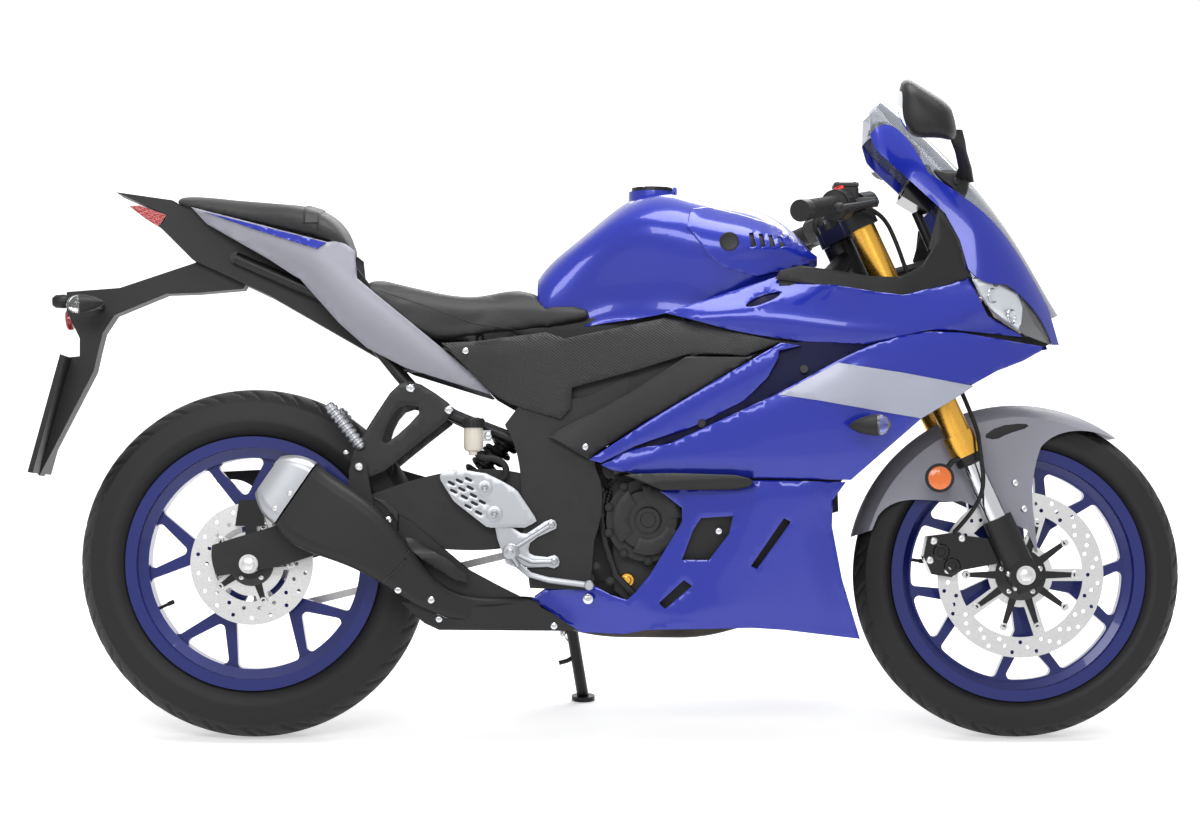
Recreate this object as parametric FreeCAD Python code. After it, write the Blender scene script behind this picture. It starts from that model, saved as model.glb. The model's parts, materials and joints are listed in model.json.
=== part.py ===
"""A faired sport bike, 1.38 m between its axles, parked on its side stand.

Everything is modelled with the bike upright: X forward from the middle of the wheelbase, Y to the
rider's left, Z up from the ground. At the end the whole bike is leaned onto its stand and moved so
that the middle of its base is the origin. Lengths are millimetres, angles are degrees.

Outlines seen from the right side are kept as pixels of the 1200 x 834 side photograph, read by hand,
and turned into millimetres by the wheelbase and by how far each piece stands out to the right."""

import FreeCAD, Part
import math
import os
from FreeCAD import Vector

# Driving dimensions
WHEELBASE = 1380.0
FRONT_TYRE_RADIUS = 295.0
FRONT_TYRE_HALF_WIDTH = 55.0
REAR_TYRE_RADIUS = 315.0
REAR_TYRE_HALF_WIDTH = 70.0
RIM_BEAD_RADIUS = 216.0
RAKE = 25.0
TRAIL = 95.0
FORK_SPAN = 210.0
STEERING_LOCK = 34.0
LEAN = 10.0
OVERRUN = 60.0
SEAT_GAP = 0.3
PANEL = 4.0

# How the side photograph was taken, in its own pixels and in millimetres
REAR_AXLE_PX = 256.0
FRONT_AXLE_PX = 1015.0
GROUND_PX = 736.5
EYE_PX = (585.0, 530.0)
CAMERA_DISTANCE_SHARE = 4.0
MM_PER_PIXEL = WHEELBASE / (FRONT_AXLE_PX - REAR_AXLE_PX)
CAMERA_DISTANCE = CAMERA_DISTANCE_SHARE * WHEELBASE
MID_PX = (REAR_AXLE_PX + FRONT_AXLE_PX) / 2
EYE_X = (EYE_PX[0] - MID_PX) * MM_PER_PIXEL
EYE_Z = (GROUND_PX - EYE_PX[1]) * MM_PER_PIXEL

# Axles and axes that follow from the driving dimensions
REAR_AXLE = Vector(-WHEELBASE / 2, 0, REAR_TYRE_RADIUS)
FRONT_AXLE = Vector(WHEELBASE / 2, 0, FRONT_TYRE_RADIUS)
STEER_UP = Vector(-math.sin(math.radians(RAKE)), 0, math.cos(math.radians(RAKE)))
STEER_AHEAD = Vector(math.cos(math.radians(RAKE)), 0, math.sin(math.radians(RAKE)))
STEER_GROUND = Vector(WHEELBASE / 2 + TRAIL, 0, 0)
SIDEWAYS = Vector(0, 1, 0)
FORK_OFFSET = (FRONT_AXLE - STEER_GROUND).dot(STEER_AHEAD)

nodes = {}
bodies = {"chassis": [], "steering": [], "front_wheel": [], "rear_wheel": [], "stand": [], "cap": []}


def add(body, name, shape):
    """Keeps one finished piece under its node name and body."""
    nodes[name] = shape
    bodies[body].append(name)
    return shape


# Small makers of shapes


def spot(pixel, depth=0.0):
    """The (x, z) of a pixel for something that stands depth out to the right of the centre plane."""
    scale = MM_PER_PIXEL * (CAMERA_DISTANCE - depth) / CAMERA_DISTANCE
    return EYE_X + (pixel[0] - EYE_PX[0]) * scale, EYE_Z + (EYE_PX[1] - pixel[1]) * scale


def at(pixel, depth=0.0):
    """The point of a pixel, depth out to the right."""
    x, z = spot(pixel, depth)
    return Vector(x, -depth, z)


def runs_to_wire(runs, place):
    """Joins runs of points into one closed wire. Two points make a line, more make a smooth curve."""
    edges = []
    last = None
    first = place(runs[0][0])
    for run in runs:
        points = [place(p) for p in run]
        if last is not None:
            points.insert(0, last)
        if len(points) == 1:
            last = points[0]
            continue
        if len(points) == 2:
            edges.append(Part.LineSegment(points[0], points[1]).toShape())
        else:
            curve = Part.BSplineCurve()
            curve.interpolate(points)
            edges.append(curve.toShape())
        last = points[-1]
    if last.distanceToPoint(first) > 1e-6:
        edges.append(Part.LineSegment(last, first).toShape())
    return Part.Wire(edges)


def slab(runs, depth, inner, outer):
    """The side outline as a block from inner to outer, both measured out to the right."""

    def place(pixel):
        x, z = spot(pixel, depth)
        return Vector(x, -inner, z)

    face = Part.Face(runs_to_wire(runs, place))
    return face.extrude(Vector(0, inner - outer, 0))


def mirrored(shape):
    return shape.mirror(Vector(0, 0, 0), SIDEWAYS)


def both(shape):
    """The piece and its mirror image on the left side."""
    return Part.makeCompound([shape, mirrored(shape)])


def fused(shapes):
    whole = shapes[0].multiFuse(shapes[1:])
    return whole.removeSplitter()


def largest(shape):
    """The biggest solid of a cut piece, without its loose crumbs."""
    return max(shape.Solids, key=lambda solid: solid.Volume)


def rod(start, end, radius, end_radius=None):
    """A round bar between two points, tapered where it has a second radius."""
    along = end - start
    if end_radius is None or abs(end_radius - radius) < 1e-9:
        return Part.makeCylinder(radius, along.Length, start, along)
    return Part.makeCone(radius, end_radius, along.Length, start, along)


def bent_tube(points, radius, bend_share=0.35):
    """A round tube along straight runs joined by tangent arcs, each as large as its runs allow."""
    edges = []
    last = points[0]
    for before, corner, after in zip(points, points[1:], points[2:]):
        back = (before - corner).normalize()
        on = (after - corner).normalize()
        reach = bend_share * min((before - corner).Length, (after - corner).Length)
        start = corner + back * reach
        end = corner + on * reach
        half = back.getAngle(on) / 2
        centre = corner + (back + on).normalize() * (reach / math.cos(half))
        bend = reach * math.tan(half)
        middle = centre + (corner - centre).normalize() * bend
        if last.distanceToPoint(start) > 1e-6:
            edges.append(Part.LineSegment(last, start).toShape())
        edges.append(Part.Arc(start, middle, end).toShape())
        last = end
    edges.append(Part.LineSegment(last, points[-1]).toShape())
    path = Part.Wire(edges)
    ring = Part.Wire(Part.makeCircle(radius, points[0], points[1] - points[0]))
    pipe = path.makePipeShell([ring], True, True)
    return pipe


def lathe(profile, centre):
    """A profile of (radius, sideways) points turned about the wheel axis through centre."""
    points = [Vector(r, y, 0) for r, y in profile]
    points.append(points[0])
    face = Part.Face(Part.makePolygon(points))
    turned = face.revolve(Vector(0, 0, 0), SIDEWAYS, 360)
    turned.translate(centre)
    return turned


def wheel_disc(centre, radius, y_low, y_high):
    """A round plate about the wheel axis, from y_low to y_high."""
    return Part.makeCylinder(radius, y_high - y_low, centre + SIDEWAYS * y_low, SIDEWAYS)


def skin(columns, rows, shares, half_width):
    """A smooth outer surface on the right side: shares of half_width at each row and column of pixels."""
    grid = []
    for row, line in zip(rows, shares):
        grid.append([at((column, row), share * half_width) for column, share in zip(columns, line)])
    surface = Part.BSplineSurface()
    surface.interpolate(grid)
    return surface.toShape()


def sheet_of(surface, offset, thickness):
    """The surface set in by offset and thickened inward, as one solid."""
    moved = surface.copy()
    moved.translate(SIDEWAYS * offset)
    return moved.extrude(SIDEWAYS * thickness)


# Wheels: cast rims with five forked spokes, round tyres, drilled discs

TYRE_SIDE_SHARE = 0.42
SHOULDER_SHARE = 0.42
SHOULDER_WIDTH_SHARE = 0.87
FLANK_WIDTH_SHARE = 0.93
RIM_FLANGE = 13.0
RIM_WELL = 18.0
RIM_SKIN = 7.0
FLANGE_THICKNESS = 7.0
FRONT_RIM_HALF_WIDTH = 36.0
REAR_RIM_HALF_WIDTH = 51.0
HUB_RADIUS = 36.0
HUB_HALF_LENGTH = 44.0
SPOKE_HALF_THICKNESS = 13.0
SPOKE_STEM_WIDTH = 30.0
SPOKE_FORK_WIDTH = 24.0
SPOKE_RIM_WIDTH = 15.0
SPOKE_FORK_RADIUS_SHARE = 0.50
SPOKE_SPREAD = 17.0
SPOKE_COUNT = 5
WINDOW_ROUNDING = 9.0
AXLE_RADIUS = 10.0
AXLE_CLEARANCE = 0.05
FRONT_SPOKE_START = -11.0
REAR_SPOKE_START = 26.0


def tyre(centre, radius, half_width, rim_half_width):
    """A round-crowned road tyre that sits between the rim's flanges."""
    side_radius = RIM_BEAD_RADIUS + (radius - RIM_BEAD_RADIUS) * TYRE_SIDE_SHARE
    flange_radius = RIM_BEAD_RADIUS + RIM_FLANGE
    shoulder_radius = radius - (radius - side_radius) * SHOULDER_SHARE
    flank_radius = (flange_radius + side_radius) / 2
    flank = half_width * FLANK_WIDTH_SHARE
    half = [
        Vector(RIM_BEAD_RADIUS, rim_half_width, 0),
        Vector(flange_radius, rim_half_width, 0),
        Vector(side_radius, half_width, 0),
        Vector(shoulder_radius, half_width * SHOULDER_WIDTH_SHARE, 0),
    ]
    side = Part.Arc(half[1], Vector(flank_radius, flank, 0), half[2])
    shoulder = Part.LineSegment(half[2], half[3])
    low = [Vector(p.x, -p.y, 0) for p in half]
    low_side = Part.Arc(low[1], Vector(flank_radius, -flank, 0), low[2])
    low_shoulder = Part.LineSegment(low[2], low[3])
    crown = Part.Arc(half[3], Vector(radius, 0, 0), low[3])
    bead = Part.LineSegment(half[0], half[1])
    low_bead = Part.LineSegment(low[0], low[1])
    seat = Part.LineSegment(low[0], half[0])
    parts = [seat, bead, side, shoulder, crown, low_shoulder, low_side, low_bead]
    edges = Part.sortEdges([e.toShape() for e in parts])[0]
    ring = Part.Face(Part.Wire(edges)).revolve(Vector(0, 0, 0), SIDEWAYS, 360)
    ring.translate(centre)
    return ring


def spoke_windows(inner, outer, start_angle):
    """The ten openings between the forked spokes, with rounded corners, flat in the wheel's plane."""
    fork = inner + (outer - inner) * SPOKE_FORK_RADIUS_SHARE

    def polar(radius, angle, across=0.0):
        turn = math.radians(angle)
        out = Vector(math.cos(turn), 0, math.sin(turn))
        side = Vector(-math.sin(turn), 0, math.cos(turn))
        return out * radius + side * across

    ring = Part.Face(Part.Wire(Part.makeCircle(outer, Vector(0, 0, 0), SIDEWAYS)))
    ring = ring.cut(Part.Face(Part.Wire(Part.makeCircle(inner, Vector(0, 0, 0), SIDEWAYS))))
    for number in range(SPOKE_COUNT):
        middle = start_angle + number * 360.0 / SPOKE_COUNT
        stem = [
            polar(0, middle, -SPOKE_STEM_WIDTH / 2),
            polar(fork, middle, -SPOKE_STEM_WIDTH / 2),
            polar(fork, middle, SPOKE_STEM_WIDTH / 2),
            polar(0, middle, SPOKE_STEM_WIDTH / 2),
        ]
        ring = ring.cut(Part.Face(Part.makePolygon(stem + stem[:1])))
        for turn in (-1, 1):
            root = polar(fork - SPOKE_STEM_WIDTH / 2, middle, 0)
            tip = polar(outer + RIM_SKIN, middle + turn * SPOKE_SPREAD)
            across = (tip - root).cross(SIDEWAYS).normalize()
            arm = [
                root + across * (SPOKE_FORK_WIDTH / 2),
                tip + across * (SPOKE_RIM_WIDTH / 2),
                tip - across * (SPOKE_RIM_WIDTH / 2),
                root - across * (SPOKE_FORK_WIDTH / 2),
            ]
            ring = ring.cut(Part.Face(Part.makePolygon(arm + arm[:1])))
    windows = []
    for face in ring.Faces:
        shrunk = face.makeOffset2D(-WINDOW_ROUNDING)
        if shrunk.Faces:
            windows.append(shrunk.makeOffset2D(WINDOW_ROUNDING))
    return windows


def rim(centre, rim_half_width, start_angle, hub_low, hub_high):
    """A cast wheel: barrel with flanges, forked spokes and a bored hub."""
    bead = RIM_BEAD_RADIUS
    flange = bead + RIM_FLANGE
    well = bead - RIM_WELL
    inner = well - RIM_SKIN
    wide = rim_half_width + FLANGE_THICKNESS
    shoulder = rim_half_width - RIM_WELL
    profile = [
        (flange, wide), (flange, rim_half_width), (bead, rim_half_width), (bead, -rim_half_width),
        (flange, -rim_half_width), (flange, -wide), (bead - RIM_SKIN, -wide),
        (bead - RIM_SKIN, -shoulder), (inner, -shoulder + RIM_SKIN), (inner, shoulder - RIM_SKIN),
        (bead - RIM_SKIN, shoulder), (bead - RIM_SKIN, wide),
    ]
    barrel = lathe(profile, Vector(0, 0, 0))
    plate = wheel_disc(Vector(0, 0, 0), inner + RIM_SKIN / 2, -SPOKE_HALF_THICKNESS, SPOKE_HALF_THICKNESS)
    for window in spoke_windows(HUB_RADIUS, inner, start_angle):
        window.translate(SIDEWAYS * -OVERRUN)
        plate = plate.cut(window.extrude(SIDEWAYS * (2 * OVERRUN)))
    hub = wheel_disc(Vector(0, 0, 0), HUB_RADIUS, hub_low, hub_high)
    bore = wheel_disc(Vector(0, 0, 0), AXLE_RADIUS + AXLE_CLEARANCE, hub_low - OVERRUN, hub_high + OVERRUN)
    whole = fused([barrel, plate, hub]).cut(bore)
    whole.translate(centre)
    return whole


FRONT_DISC_RADIUS = 149.0
FRONT_DISC_INNER = 112.0
FRONT_DISC_Y = -66.0
REAR_DISC_RADIUS = 110.0
REAR_DISC_INNER = 68.0
REAR_DISC_Y = -70.0
DISC_THICKNESS = 5.0
DISC_HOLE_RADIUS = 3.6
FRONT_DISC_HOLE_SHARES = (0.25, 0.5, 0.75)
FRONT_DISC_HOLE_COUNT = 20
REAR_DISC_HOLE_SHARES = (0.3, 0.7)
REAR_DISC_HOLE_COUNT = 18
DISC_ARMS = 5
CARRIER_RADIUS = 58.0
CARRIER_ARM_WIDTH = 22.0


def disc_ring(centre, y, outer, inner, rows, count):
    """A brake disc's drilled friction ring."""
    low = y - DISC_THICKNESS / 2
    high = y + DISC_THICKNESS / 2
    ring = wheel_disc(centre, outer, low, high).cut(wheel_disc(centre, inner, low, high))
    holes = []
    for row, share in enumerate(rows):
        radius = inner + (outer - inner) * share
        for number in range(count):
            turn = 2 * math.pi * (number + row / len(rows)) / count
            place = centre + Vector(math.cos(turn) * radius, 0, math.sin(turn) * radius)
            holes.append(wheel_disc(place, DISC_HOLE_RADIUS, low, high))
    return ring.cut(Part.makeCompound(holes))


def disc_carrier(centre, y, reach, arms, start_angle):
    """The star-shaped middle of a brake disc."""
    low = y - DISC_THICKNESS / 2
    high = y + DISC_THICKNESS / 2
    star = [wheel_disc(centre, CARRIER_RADIUS, low, high)]
    for number in range(arms):
        angle = start_angle + number * 360.0 / arms
        arm = Part.makeBox(reach, high - low, CARRIER_ARM_WIDTH, Vector(0, low, -CARRIER_ARM_WIDTH / 2))
        arm.rotate(Vector(0, 0, 0), SIDEWAYS, -angle)
        arm.translate(centre)
        star.append(arm)
    return fused(star)


def brake_disc(centre, y, outer, inner, rows, count, arms, hub_side):
    """Friction ring and carrier with a spigot that bolts to the hub."""
    ring = disc_ring(centre, y, outer, inner, rows, count)
    carrier = disc_carrier(centre, y, inner + DISC_HOLE_RADIUS, arms, 0.0)
    low = y - DISC_THICKNESS / 2
    spigot = wheel_disc(centre, HUB_RADIUS, low, hub_side)
    bore = wheel_disc(centre, AXLE_RADIUS + AXLE_CLEARANCE, low - OVERRUN, hub_side + OVERRUN)
    return fused([ring, carrier, spigot]).cut(bore)


def build_wheels():
    add("front_wheel", "front_tyre", tyre(FRONT_AXLE, FRONT_TYRE_RADIUS, FRONT_TYRE_HALF_WIDTH,
                                          FRONT_RIM_HALF_WIDTH))
    add("front_wheel", "front_rim", rim(FRONT_AXLE, FRONT_RIM_HALF_WIDTH, FRONT_SPOKE_START,
                                        -HUB_HALF_LENGTH, HUB_HALF_LENGTH))
    add("front_wheel", "front_disc", brake_disc(
        FRONT_AXLE, FRONT_DISC_Y, FRONT_DISC_RADIUS, FRONT_DISC_INNER, FRONT_DISC_HOLE_SHARES,
        FRONT_DISC_HOLE_COUNT, DISC_ARMS, -HUB_HALF_LENGTH))
    add("rear_wheel", "rear_tyre", tyre(REAR_AXLE, REAR_TYRE_RADIUS, REAR_TYRE_HALF_WIDTH,
                                        REAR_RIM_HALF_WIDTH))
    add("rear_wheel", "rear_rim", rim(REAR_AXLE, REAR_RIM_HALF_WIDTH, REAR_SPOKE_START,
                                      -HUB_HALF_LENGTH, HUB_HALF_LENGTH))
    add("rear_wheel", "rear_disc", brake_disc(
        REAR_AXLE, REAR_DISC_Y, REAR_DISC_RADIUS, REAR_DISC_INNER, REAR_DISC_HOLE_SHARES,
        REAR_DISC_HOLE_COUNT, DISC_ARMS, -HUB_HALF_LENGTH))
    add("rear_wheel", "rear_sprocket", rear_sprocket())


# Chain drive on the left side

CHAIN_PITCH = 15.875
REAR_TEETH = 36
FRONT_TEETH = 14
CHAIN_Y = 83.0
SPROCKET_THICKNESS = 6.0
CHAIN_WIDTH = 15.0
CHAIN_HALF_HEIGHT = 7.0
SPROCKET_BOSS_RADIUS = 56.0
SPROCKET_WINDOW_SHARE = 0.32
SPROCKET_GAP = 1.0
CHAIN_ROOM = 6.0
FRONT_SPROCKET_PX = (604.0, 512.0)


def pitch_radius(teeth):
    return CHAIN_PITCH / (2 * math.sin(math.pi / teeth))


def rear_sprocket():
    """A toothed ring on a cush-drive boss that sits on the hub's left end."""
    radius = pitch_radius(REAR_TEETH)
    root = radius - CHAIN_HALF_HEIGHT - SPROCKET_GAP
    low = CHAIN_Y - SPROCKET_THICKNESS / 2
    high = CHAIN_Y + SPROCKET_THICKNESS / 2
    parts = [wheel_disc(REAR_AXLE, root, low, high)]
    parts.append(wheel_disc(REAR_AXLE, SPROCKET_BOSS_RADIUS, HUB_HALF_LENGTH, low))
    bore = wheel_disc(REAR_AXLE, AXLE_RADIUS + AXLE_CLEARANCE, HUB_HALF_LENGTH - OVERRUN, high + OVERRUN)
    middle = (SPROCKET_BOSS_RADIUS + root) / 2
    windows = []
    for number in range(SPOKE_COUNT):
        turn = 2 * math.pi * (number + 0.5) / SPOKE_COUNT
        place = REAR_AXLE + Vector(math.cos(turn) * middle, 0, math.sin(turn) * middle)
        windows.append(wheel_disc(place, (root - SPROCKET_BOSS_RADIUS) * SPROCKET_WINDOW_SHARE, low, high))
    return fused(parts).cut(bore).cut(Part.makeCompound(windows))


def chain_path(offset):
    """The closed loop round both sprockets, moved out from the pitch line by offset."""
    x, z = spot(FRONT_SPROCKET_PX, -CHAIN_Y)
    front = Vector(x, 0, z)
    rear = Vector(REAR_AXLE.x, 0, REAR_AXLE.z)
    small = pitch_radius(FRONT_TEETH) + offset
    large = pitch_radius(REAR_TEETH) + offset
    gap = front - rear
    along = Vector(gap).normalize()
    up = Vector(-along.z, 0, along.x)
    lean = math.asin((large - small) / gap.Length)
    out_up = up * math.cos(lean) + along * math.sin(lean)
    out_down = up * -math.cos(lean) + along * math.sin(lean)
    points = [
        rear + out_up * large, front + out_up * small, front + along * small,
        front + out_down * small, rear + out_down * large, rear - along * large,
    ]
    edges = [
        Part.LineSegment(points[0], points[1]), Part.Arc(points[1], points[2], points[3]),
        Part.LineSegment(points[3], points[4]), Part.Arc(points[4], points[5], points[0]),
    ]
    return Part.Wire([e.toShape() for e in edges])


def build_chain():
    outer = Part.Face(chain_path(CHAIN_HALF_HEIGHT))
    inner = Part.Face(chain_path(-CHAIN_HALF_HEIGHT))
    band = outer.cut(inner)
    band.translate(SIDEWAYS * (CHAIN_Y - CHAIN_WIDTH / 2))
    loop = band.extrude(SIDEWAYS * CHAIN_WIDTH)
    x, z = spot(FRONT_SPROCKET_PX, -CHAIN_Y)
    small = pitch_radius(FRONT_TEETH) - CHAIN_HALF_HEIGHT
    sprocket = wheel_disc(Vector(x, 0, z), small, CHAIN_Y - SPROCKET_THICKNESS / 2,
                          CHAIN_Y + SPROCKET_THICKNESS / 2)
    add("chassis", "chain", fused([loop, sprocket]))


# Swingarm, rear axle, rear caliper and shock

PIVOT_PX = (570.0, 510.0)
RIGHT_ARM_INNER = 85.0
RIGHT_ARM_THICKNESS = 28.0
LEFT_ARM_INNER = 96.0
LEFT_ARM_THICKNESS = 18.0
ARM_PX = [
    [(214, 545), (236, 538)], [(300, 519)], [(380, 492)], [(440, 474), (500, 470), (560, 488)],
    [(584, 500), (588, 512), (575, 530)], [(520, 545)], [(430, 548), (380, 545), (322, 553)],
    [(282, 566)], [(219, 576)], [(214, 562), (214, 545)],
]
BRIDGE_FRONT_PX = 556.0
BRIDGE_REAR_PX = 470.0
BRIDGE_TOP_PX = 482.0
BRIDGE_LOW_PX = 536.0
AXLE_END = 18.0
BRIDGE_TYRE_ROOM = 36.0
CHAIN_GUARD_INNER = 98.0
CHAIN_GUARD_PX = [
    [(200, 470)], [(262, 467), (330, 465), (396, 468)], [(430, 478)], [(420, 486)], [(350, 512)],
    [(300, 524)], [(262, 505), (240, 484), (205, 481)],
]
AXLE_HEAD_RADIUS = 17.0
AXLE_HEAD = 12.0


def swingarm_bridge(grow=0.0):
    """The box across the front of the arms, hollowed for the tyre and the chain."""
    rear_x, low_z = spot((BRIDGE_REAR_PX, BRIDGE_LOW_PX), RIGHT_ARM_INNER)
    front_x, top_z = spot((BRIDGE_FRONT_PX, BRIDGE_TOP_PX), RIGHT_ARM_INNER)
    span = RIGHT_ARM_INNER + LEFT_ARM_INNER
    bridge = Part.makeBox(front_x - rear_x, span, top_z + grow - low_z,
                          Vector(rear_x, -RIGHT_ARM_INNER, low_z))
    bridge = bridge.cut(wheel_disc(REAR_AXLE, REAR_TYRE_RADIUS + BRIDGE_TYRE_ROOM - grow, -span, span))
    chain_room = Part.Face(chain_path(CHAIN_HALF_HEIGHT + CHAIN_ROOM))
    chain_room = chain_room.cut(Part.Face(chain_path(-CHAIN_HALF_HEIGHT - CHAIN_ROOM)))
    chain_room.translate(SIDEWAYS * (CHAIN_Y - CHAIN_WIDTH))
    return bridge.cut(chain_room.extrude(SIDEWAYS * (2 * CHAIN_WIDTH)))


def build_swingarm():
    depth = RIGHT_ARM_INNER
    right_arm = slab(ARM_PX, depth, RIGHT_ARM_INNER, RIGHT_ARM_INNER + RIGHT_ARM_THICKNESS)
    left_arm = slab(ARM_PX, depth, -LEFT_ARM_INNER - LEFT_ARM_THICKNESS, -LEFT_ARM_INNER)
    bridge = swingarm_bridge()
    span = RIGHT_ARM_INNER + LEFT_ARM_INNER
    raised = left_arm.copy()
    raised.translate(Vector(0, 0, SEAT_GAP))
    guard = slab(CHAIN_GUARD_PX, depth, -CHAIN_GUARD_INNER - PANEL, -CHAIN_GUARD_INNER)
    guard = guard.cut(left_arm).cut(raised)
    add("chassis", "chain_guard", largest(guard))
    whole = fused([right_arm, left_arm, bridge])
    bore = wheel_disc(REAR_AXLE, AXLE_RADIUS + SEAT_GAP, -2 * span, 2 * span)
    pivot_x, pivot_z = spot(PIVOT_PX, depth)
    pivot_bore = wheel_disc(Vector(pivot_x, 0, pivot_z), AXLE_RADIUS + AXLE_CLEARANCE, -2 * span, 2 * span)
    add("chassis", "swingarm", whole.cut(bore).cut(pivot_bore))
    right_end = -RIGHT_ARM_INNER - RIGHT_ARM_THICKNESS
    left_end = LEFT_ARM_INNER + LEFT_ARM_THICKNESS
    axle = fused([
        wheel_disc(REAR_AXLE, AXLE_RADIUS, right_end - AXLE_END, left_end + AXLE_END),
        wheel_disc(REAR_AXLE, AXLE_HEAD_RADIUS, right_end - AXLE_HEAD, right_end),
        wheel_disc(REAR_AXLE, AXLE_HEAD_RADIUS, left_end, left_end + AXLE_HEAD),
    ])
    spacer_right = wheel_disc(REAR_AXLE, AXLE_HEAD_RADIUS, -RIGHT_ARM_INNER,
                              REAR_DISC_Y - DISC_THICKNESS / 2 - SEAT_GAP)
    spacer_left = wheel_disc(REAR_AXLE, AXLE_HEAD_RADIUS, CHAIN_Y + SPROCKET_THICKNESS / 2 + SEAT_GAP,
                             LEFT_ARM_INNER)
    add("chassis", "rear_axle", fused([axle, spacer_right, spacer_left]))


# Front end: upside-down fork, yokes, axle

OUTER_TUBE_RADIUS = 24.0
INNER_TUBE_RADIUS = 18.5
FOOT_RADIUS = 27.0
COLLAR_RADIUS = 28.0
FOOT_TOP = 112.0
FOOT_BOTTOM = -27.0
OUTER_TUBE_START = 236.0
OUTER_TUBE_END = 722.0
COLLAR_LENGTH = 42.0
FORK_CAP = 14.0
INNER_TUBE_OVERLAP = 60.0
YOKE_THICKNESS = 26.0
TOP_YOKE_LEVEL = 682.0
LOW_YOKE_LEVEL = 470.0
YOKE_RING = 8.0
STEM_RADIUS = 15.0
STEM_BOSS_RADIUS = 30.0
STEM_NUT_RADIUS = 21.0
HEAD_CLEARANCE = 1.5
AXLE_PINCH = 8.0


def fork_point(side, along, ahead=0.0, across=0.0):
    """A point on a fork leg: side is -1 right or 1 left, along is measured up from the axle."""
    base = FRONT_AXLE + SIDEWAYS * (side * FORK_SPAN / 2 + across)
    return base + STEER_UP * along + STEER_AHEAD * ahead


def steer_point(along, ahead=0.0):
    """A point in the centre plane beside the steering axis, along measured as on the fork legs."""
    return FRONT_AXLE + STEER_UP * along + STEER_AHEAD * (ahead - FORK_OFFSET)


def build_fork():
    outer, inner, feet = [], [], []
    for side in (-1, 1):
        tube = rod(fork_point(side, OUTER_TUBE_START), fork_point(side, OUTER_TUBE_END), OUTER_TUBE_RADIUS)
        collar = rod(fork_point(side, OUTER_TUBE_START),
                     fork_point(side, OUTER_TUBE_START + COLLAR_LENGTH), COLLAR_RADIUS)
        room = rod(fork_point(side, OUTER_TUBE_START - OVERRUN),
                   fork_point(side, OUTER_TUBE_START + INNER_TUBE_OVERLAP), INNER_TUBE_RADIUS + SEAT_GAP)
        cap = rod(fork_point(side, OUTER_TUBE_END), fork_point(side, OUTER_TUBE_END + FORK_CAP / 2),
                  INNER_TUBE_RADIUS)
        outer.append(fused([tube, collar, cap]).cut(room))
        inner.append(rod(fork_point(side, FOOT_TOP), fork_point(side, OUTER_TUBE_START + INNER_TUBE_OVERLAP),
                         INNER_TUBE_RADIUS))
        foot = rod(fork_point(side, FOOT_BOTTOM), fork_point(side, FOOT_TOP), FOOT_RADIUS)
        boss = wheel_disc(fork_point(side, 0), FOOT_RADIUS, -FOOT_RADIUS, FOOT_RADIUS)
        bore = wheel_disc(fork_point(side, 0), AXLE_RADIUS + SEAT_GAP, -OVERRUN, OVERRUN)
        feet.append(fused([foot, boss]).cut(bore))
    add("steering", "fork_tubes", Part.makeCompound(outer))
    add("steering", "fork_stanchions", Part.makeCompound(inner))
    add("steering", "fork_feet", Part.makeCompound(feet))
    tip = FORK_SPAN / 2 + FOOT_RADIUS
    axle = [wheel_disc(FRONT_AXLE, AXLE_RADIUS, -tip - AXLE_PINCH, tip + AXLE_PINCH)]
    for side in (-1, 1):
        low, high = sorted((side * tip, side * (tip + AXLE_PINCH)))
        axle.append(wheel_disc(FRONT_AXLE, AXLE_HEAD_RADIUS, low, high))
    inner_right = FRONT_DISC_Y - DISC_THICKNESS / 2 - SEAT_GAP
    axle.append(wheel_disc(FRONT_AXLE, AXLE_HEAD_RADIUS, -FORK_SPAN / 2 + FOOT_RADIUS, inner_right))
    axle.append(wheel_disc(FRONT_AXLE, AXLE_HEAD_RADIUS, HUB_HALF_LENGTH + SEAT_GAP,
                           FORK_SPAN / 2 - FOOT_RADIUS))
    add("steering", "front_axle", fused(axle))


def yoke_plate(level):
    """One fork clamp: three rings joined by a web, square to the steering axis."""
    rings = []
    for side in (-1, 1):
        rings.append(rod(fork_point(side, level), fork_point(side, level + YOKE_THICKNESS),
                         OUTER_TUBE_RADIUS + YOKE_RING))
    rings.append(rod(steer_point(level), steer_point(level + YOKE_THICKNESS), STEM_BOSS_RADIUS))
    width = OUTER_TUBE_RADIUS
    corners = [
        fork_point(-1, level, width), fork_point(1, level, width),
        fork_point(1, level, -width), steer_point(level, -width) + SIDEWAYS * width,
        steer_point(level, -width) - SIDEWAYS * width, fork_point(-1, level, -width),
    ]
    web = Part.Face(Part.makePolygon(corners + corners[:1])).extrude(STEER_UP * YOKE_THICKNESS)
    plate = fused(rings + [web])
    for side in (-1, 1):
        plate = plate.cut(rod(fork_point(side, level - OVERRUN), fork_point(side, level + 2 * OVERRUN),
                              OUTER_TUBE_RADIUS + SEAT_GAP))
    return plate


def build_yokes():
    stem = rod(steer_point(LOW_YOKE_LEVEL), steer_point(TOP_YOKE_LEVEL + YOKE_THICKNESS), STEM_RADIUS)
    nut = rod(steer_point(TOP_YOKE_LEVEL + YOKE_THICKNESS),
              steer_point(TOP_YOKE_LEVEL + YOKE_THICKNESS + FORK_CAP), STEM_NUT_RADIUS)
    add("steering", "yokes", fused([yoke_plate(TOP_YOKE_LEVEL), yoke_plate(LOW_YOKE_LEVEL), stem, nut]))


# Handlebars: a clip-on bar on each fork leg, with grip, switch housing and lever

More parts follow.
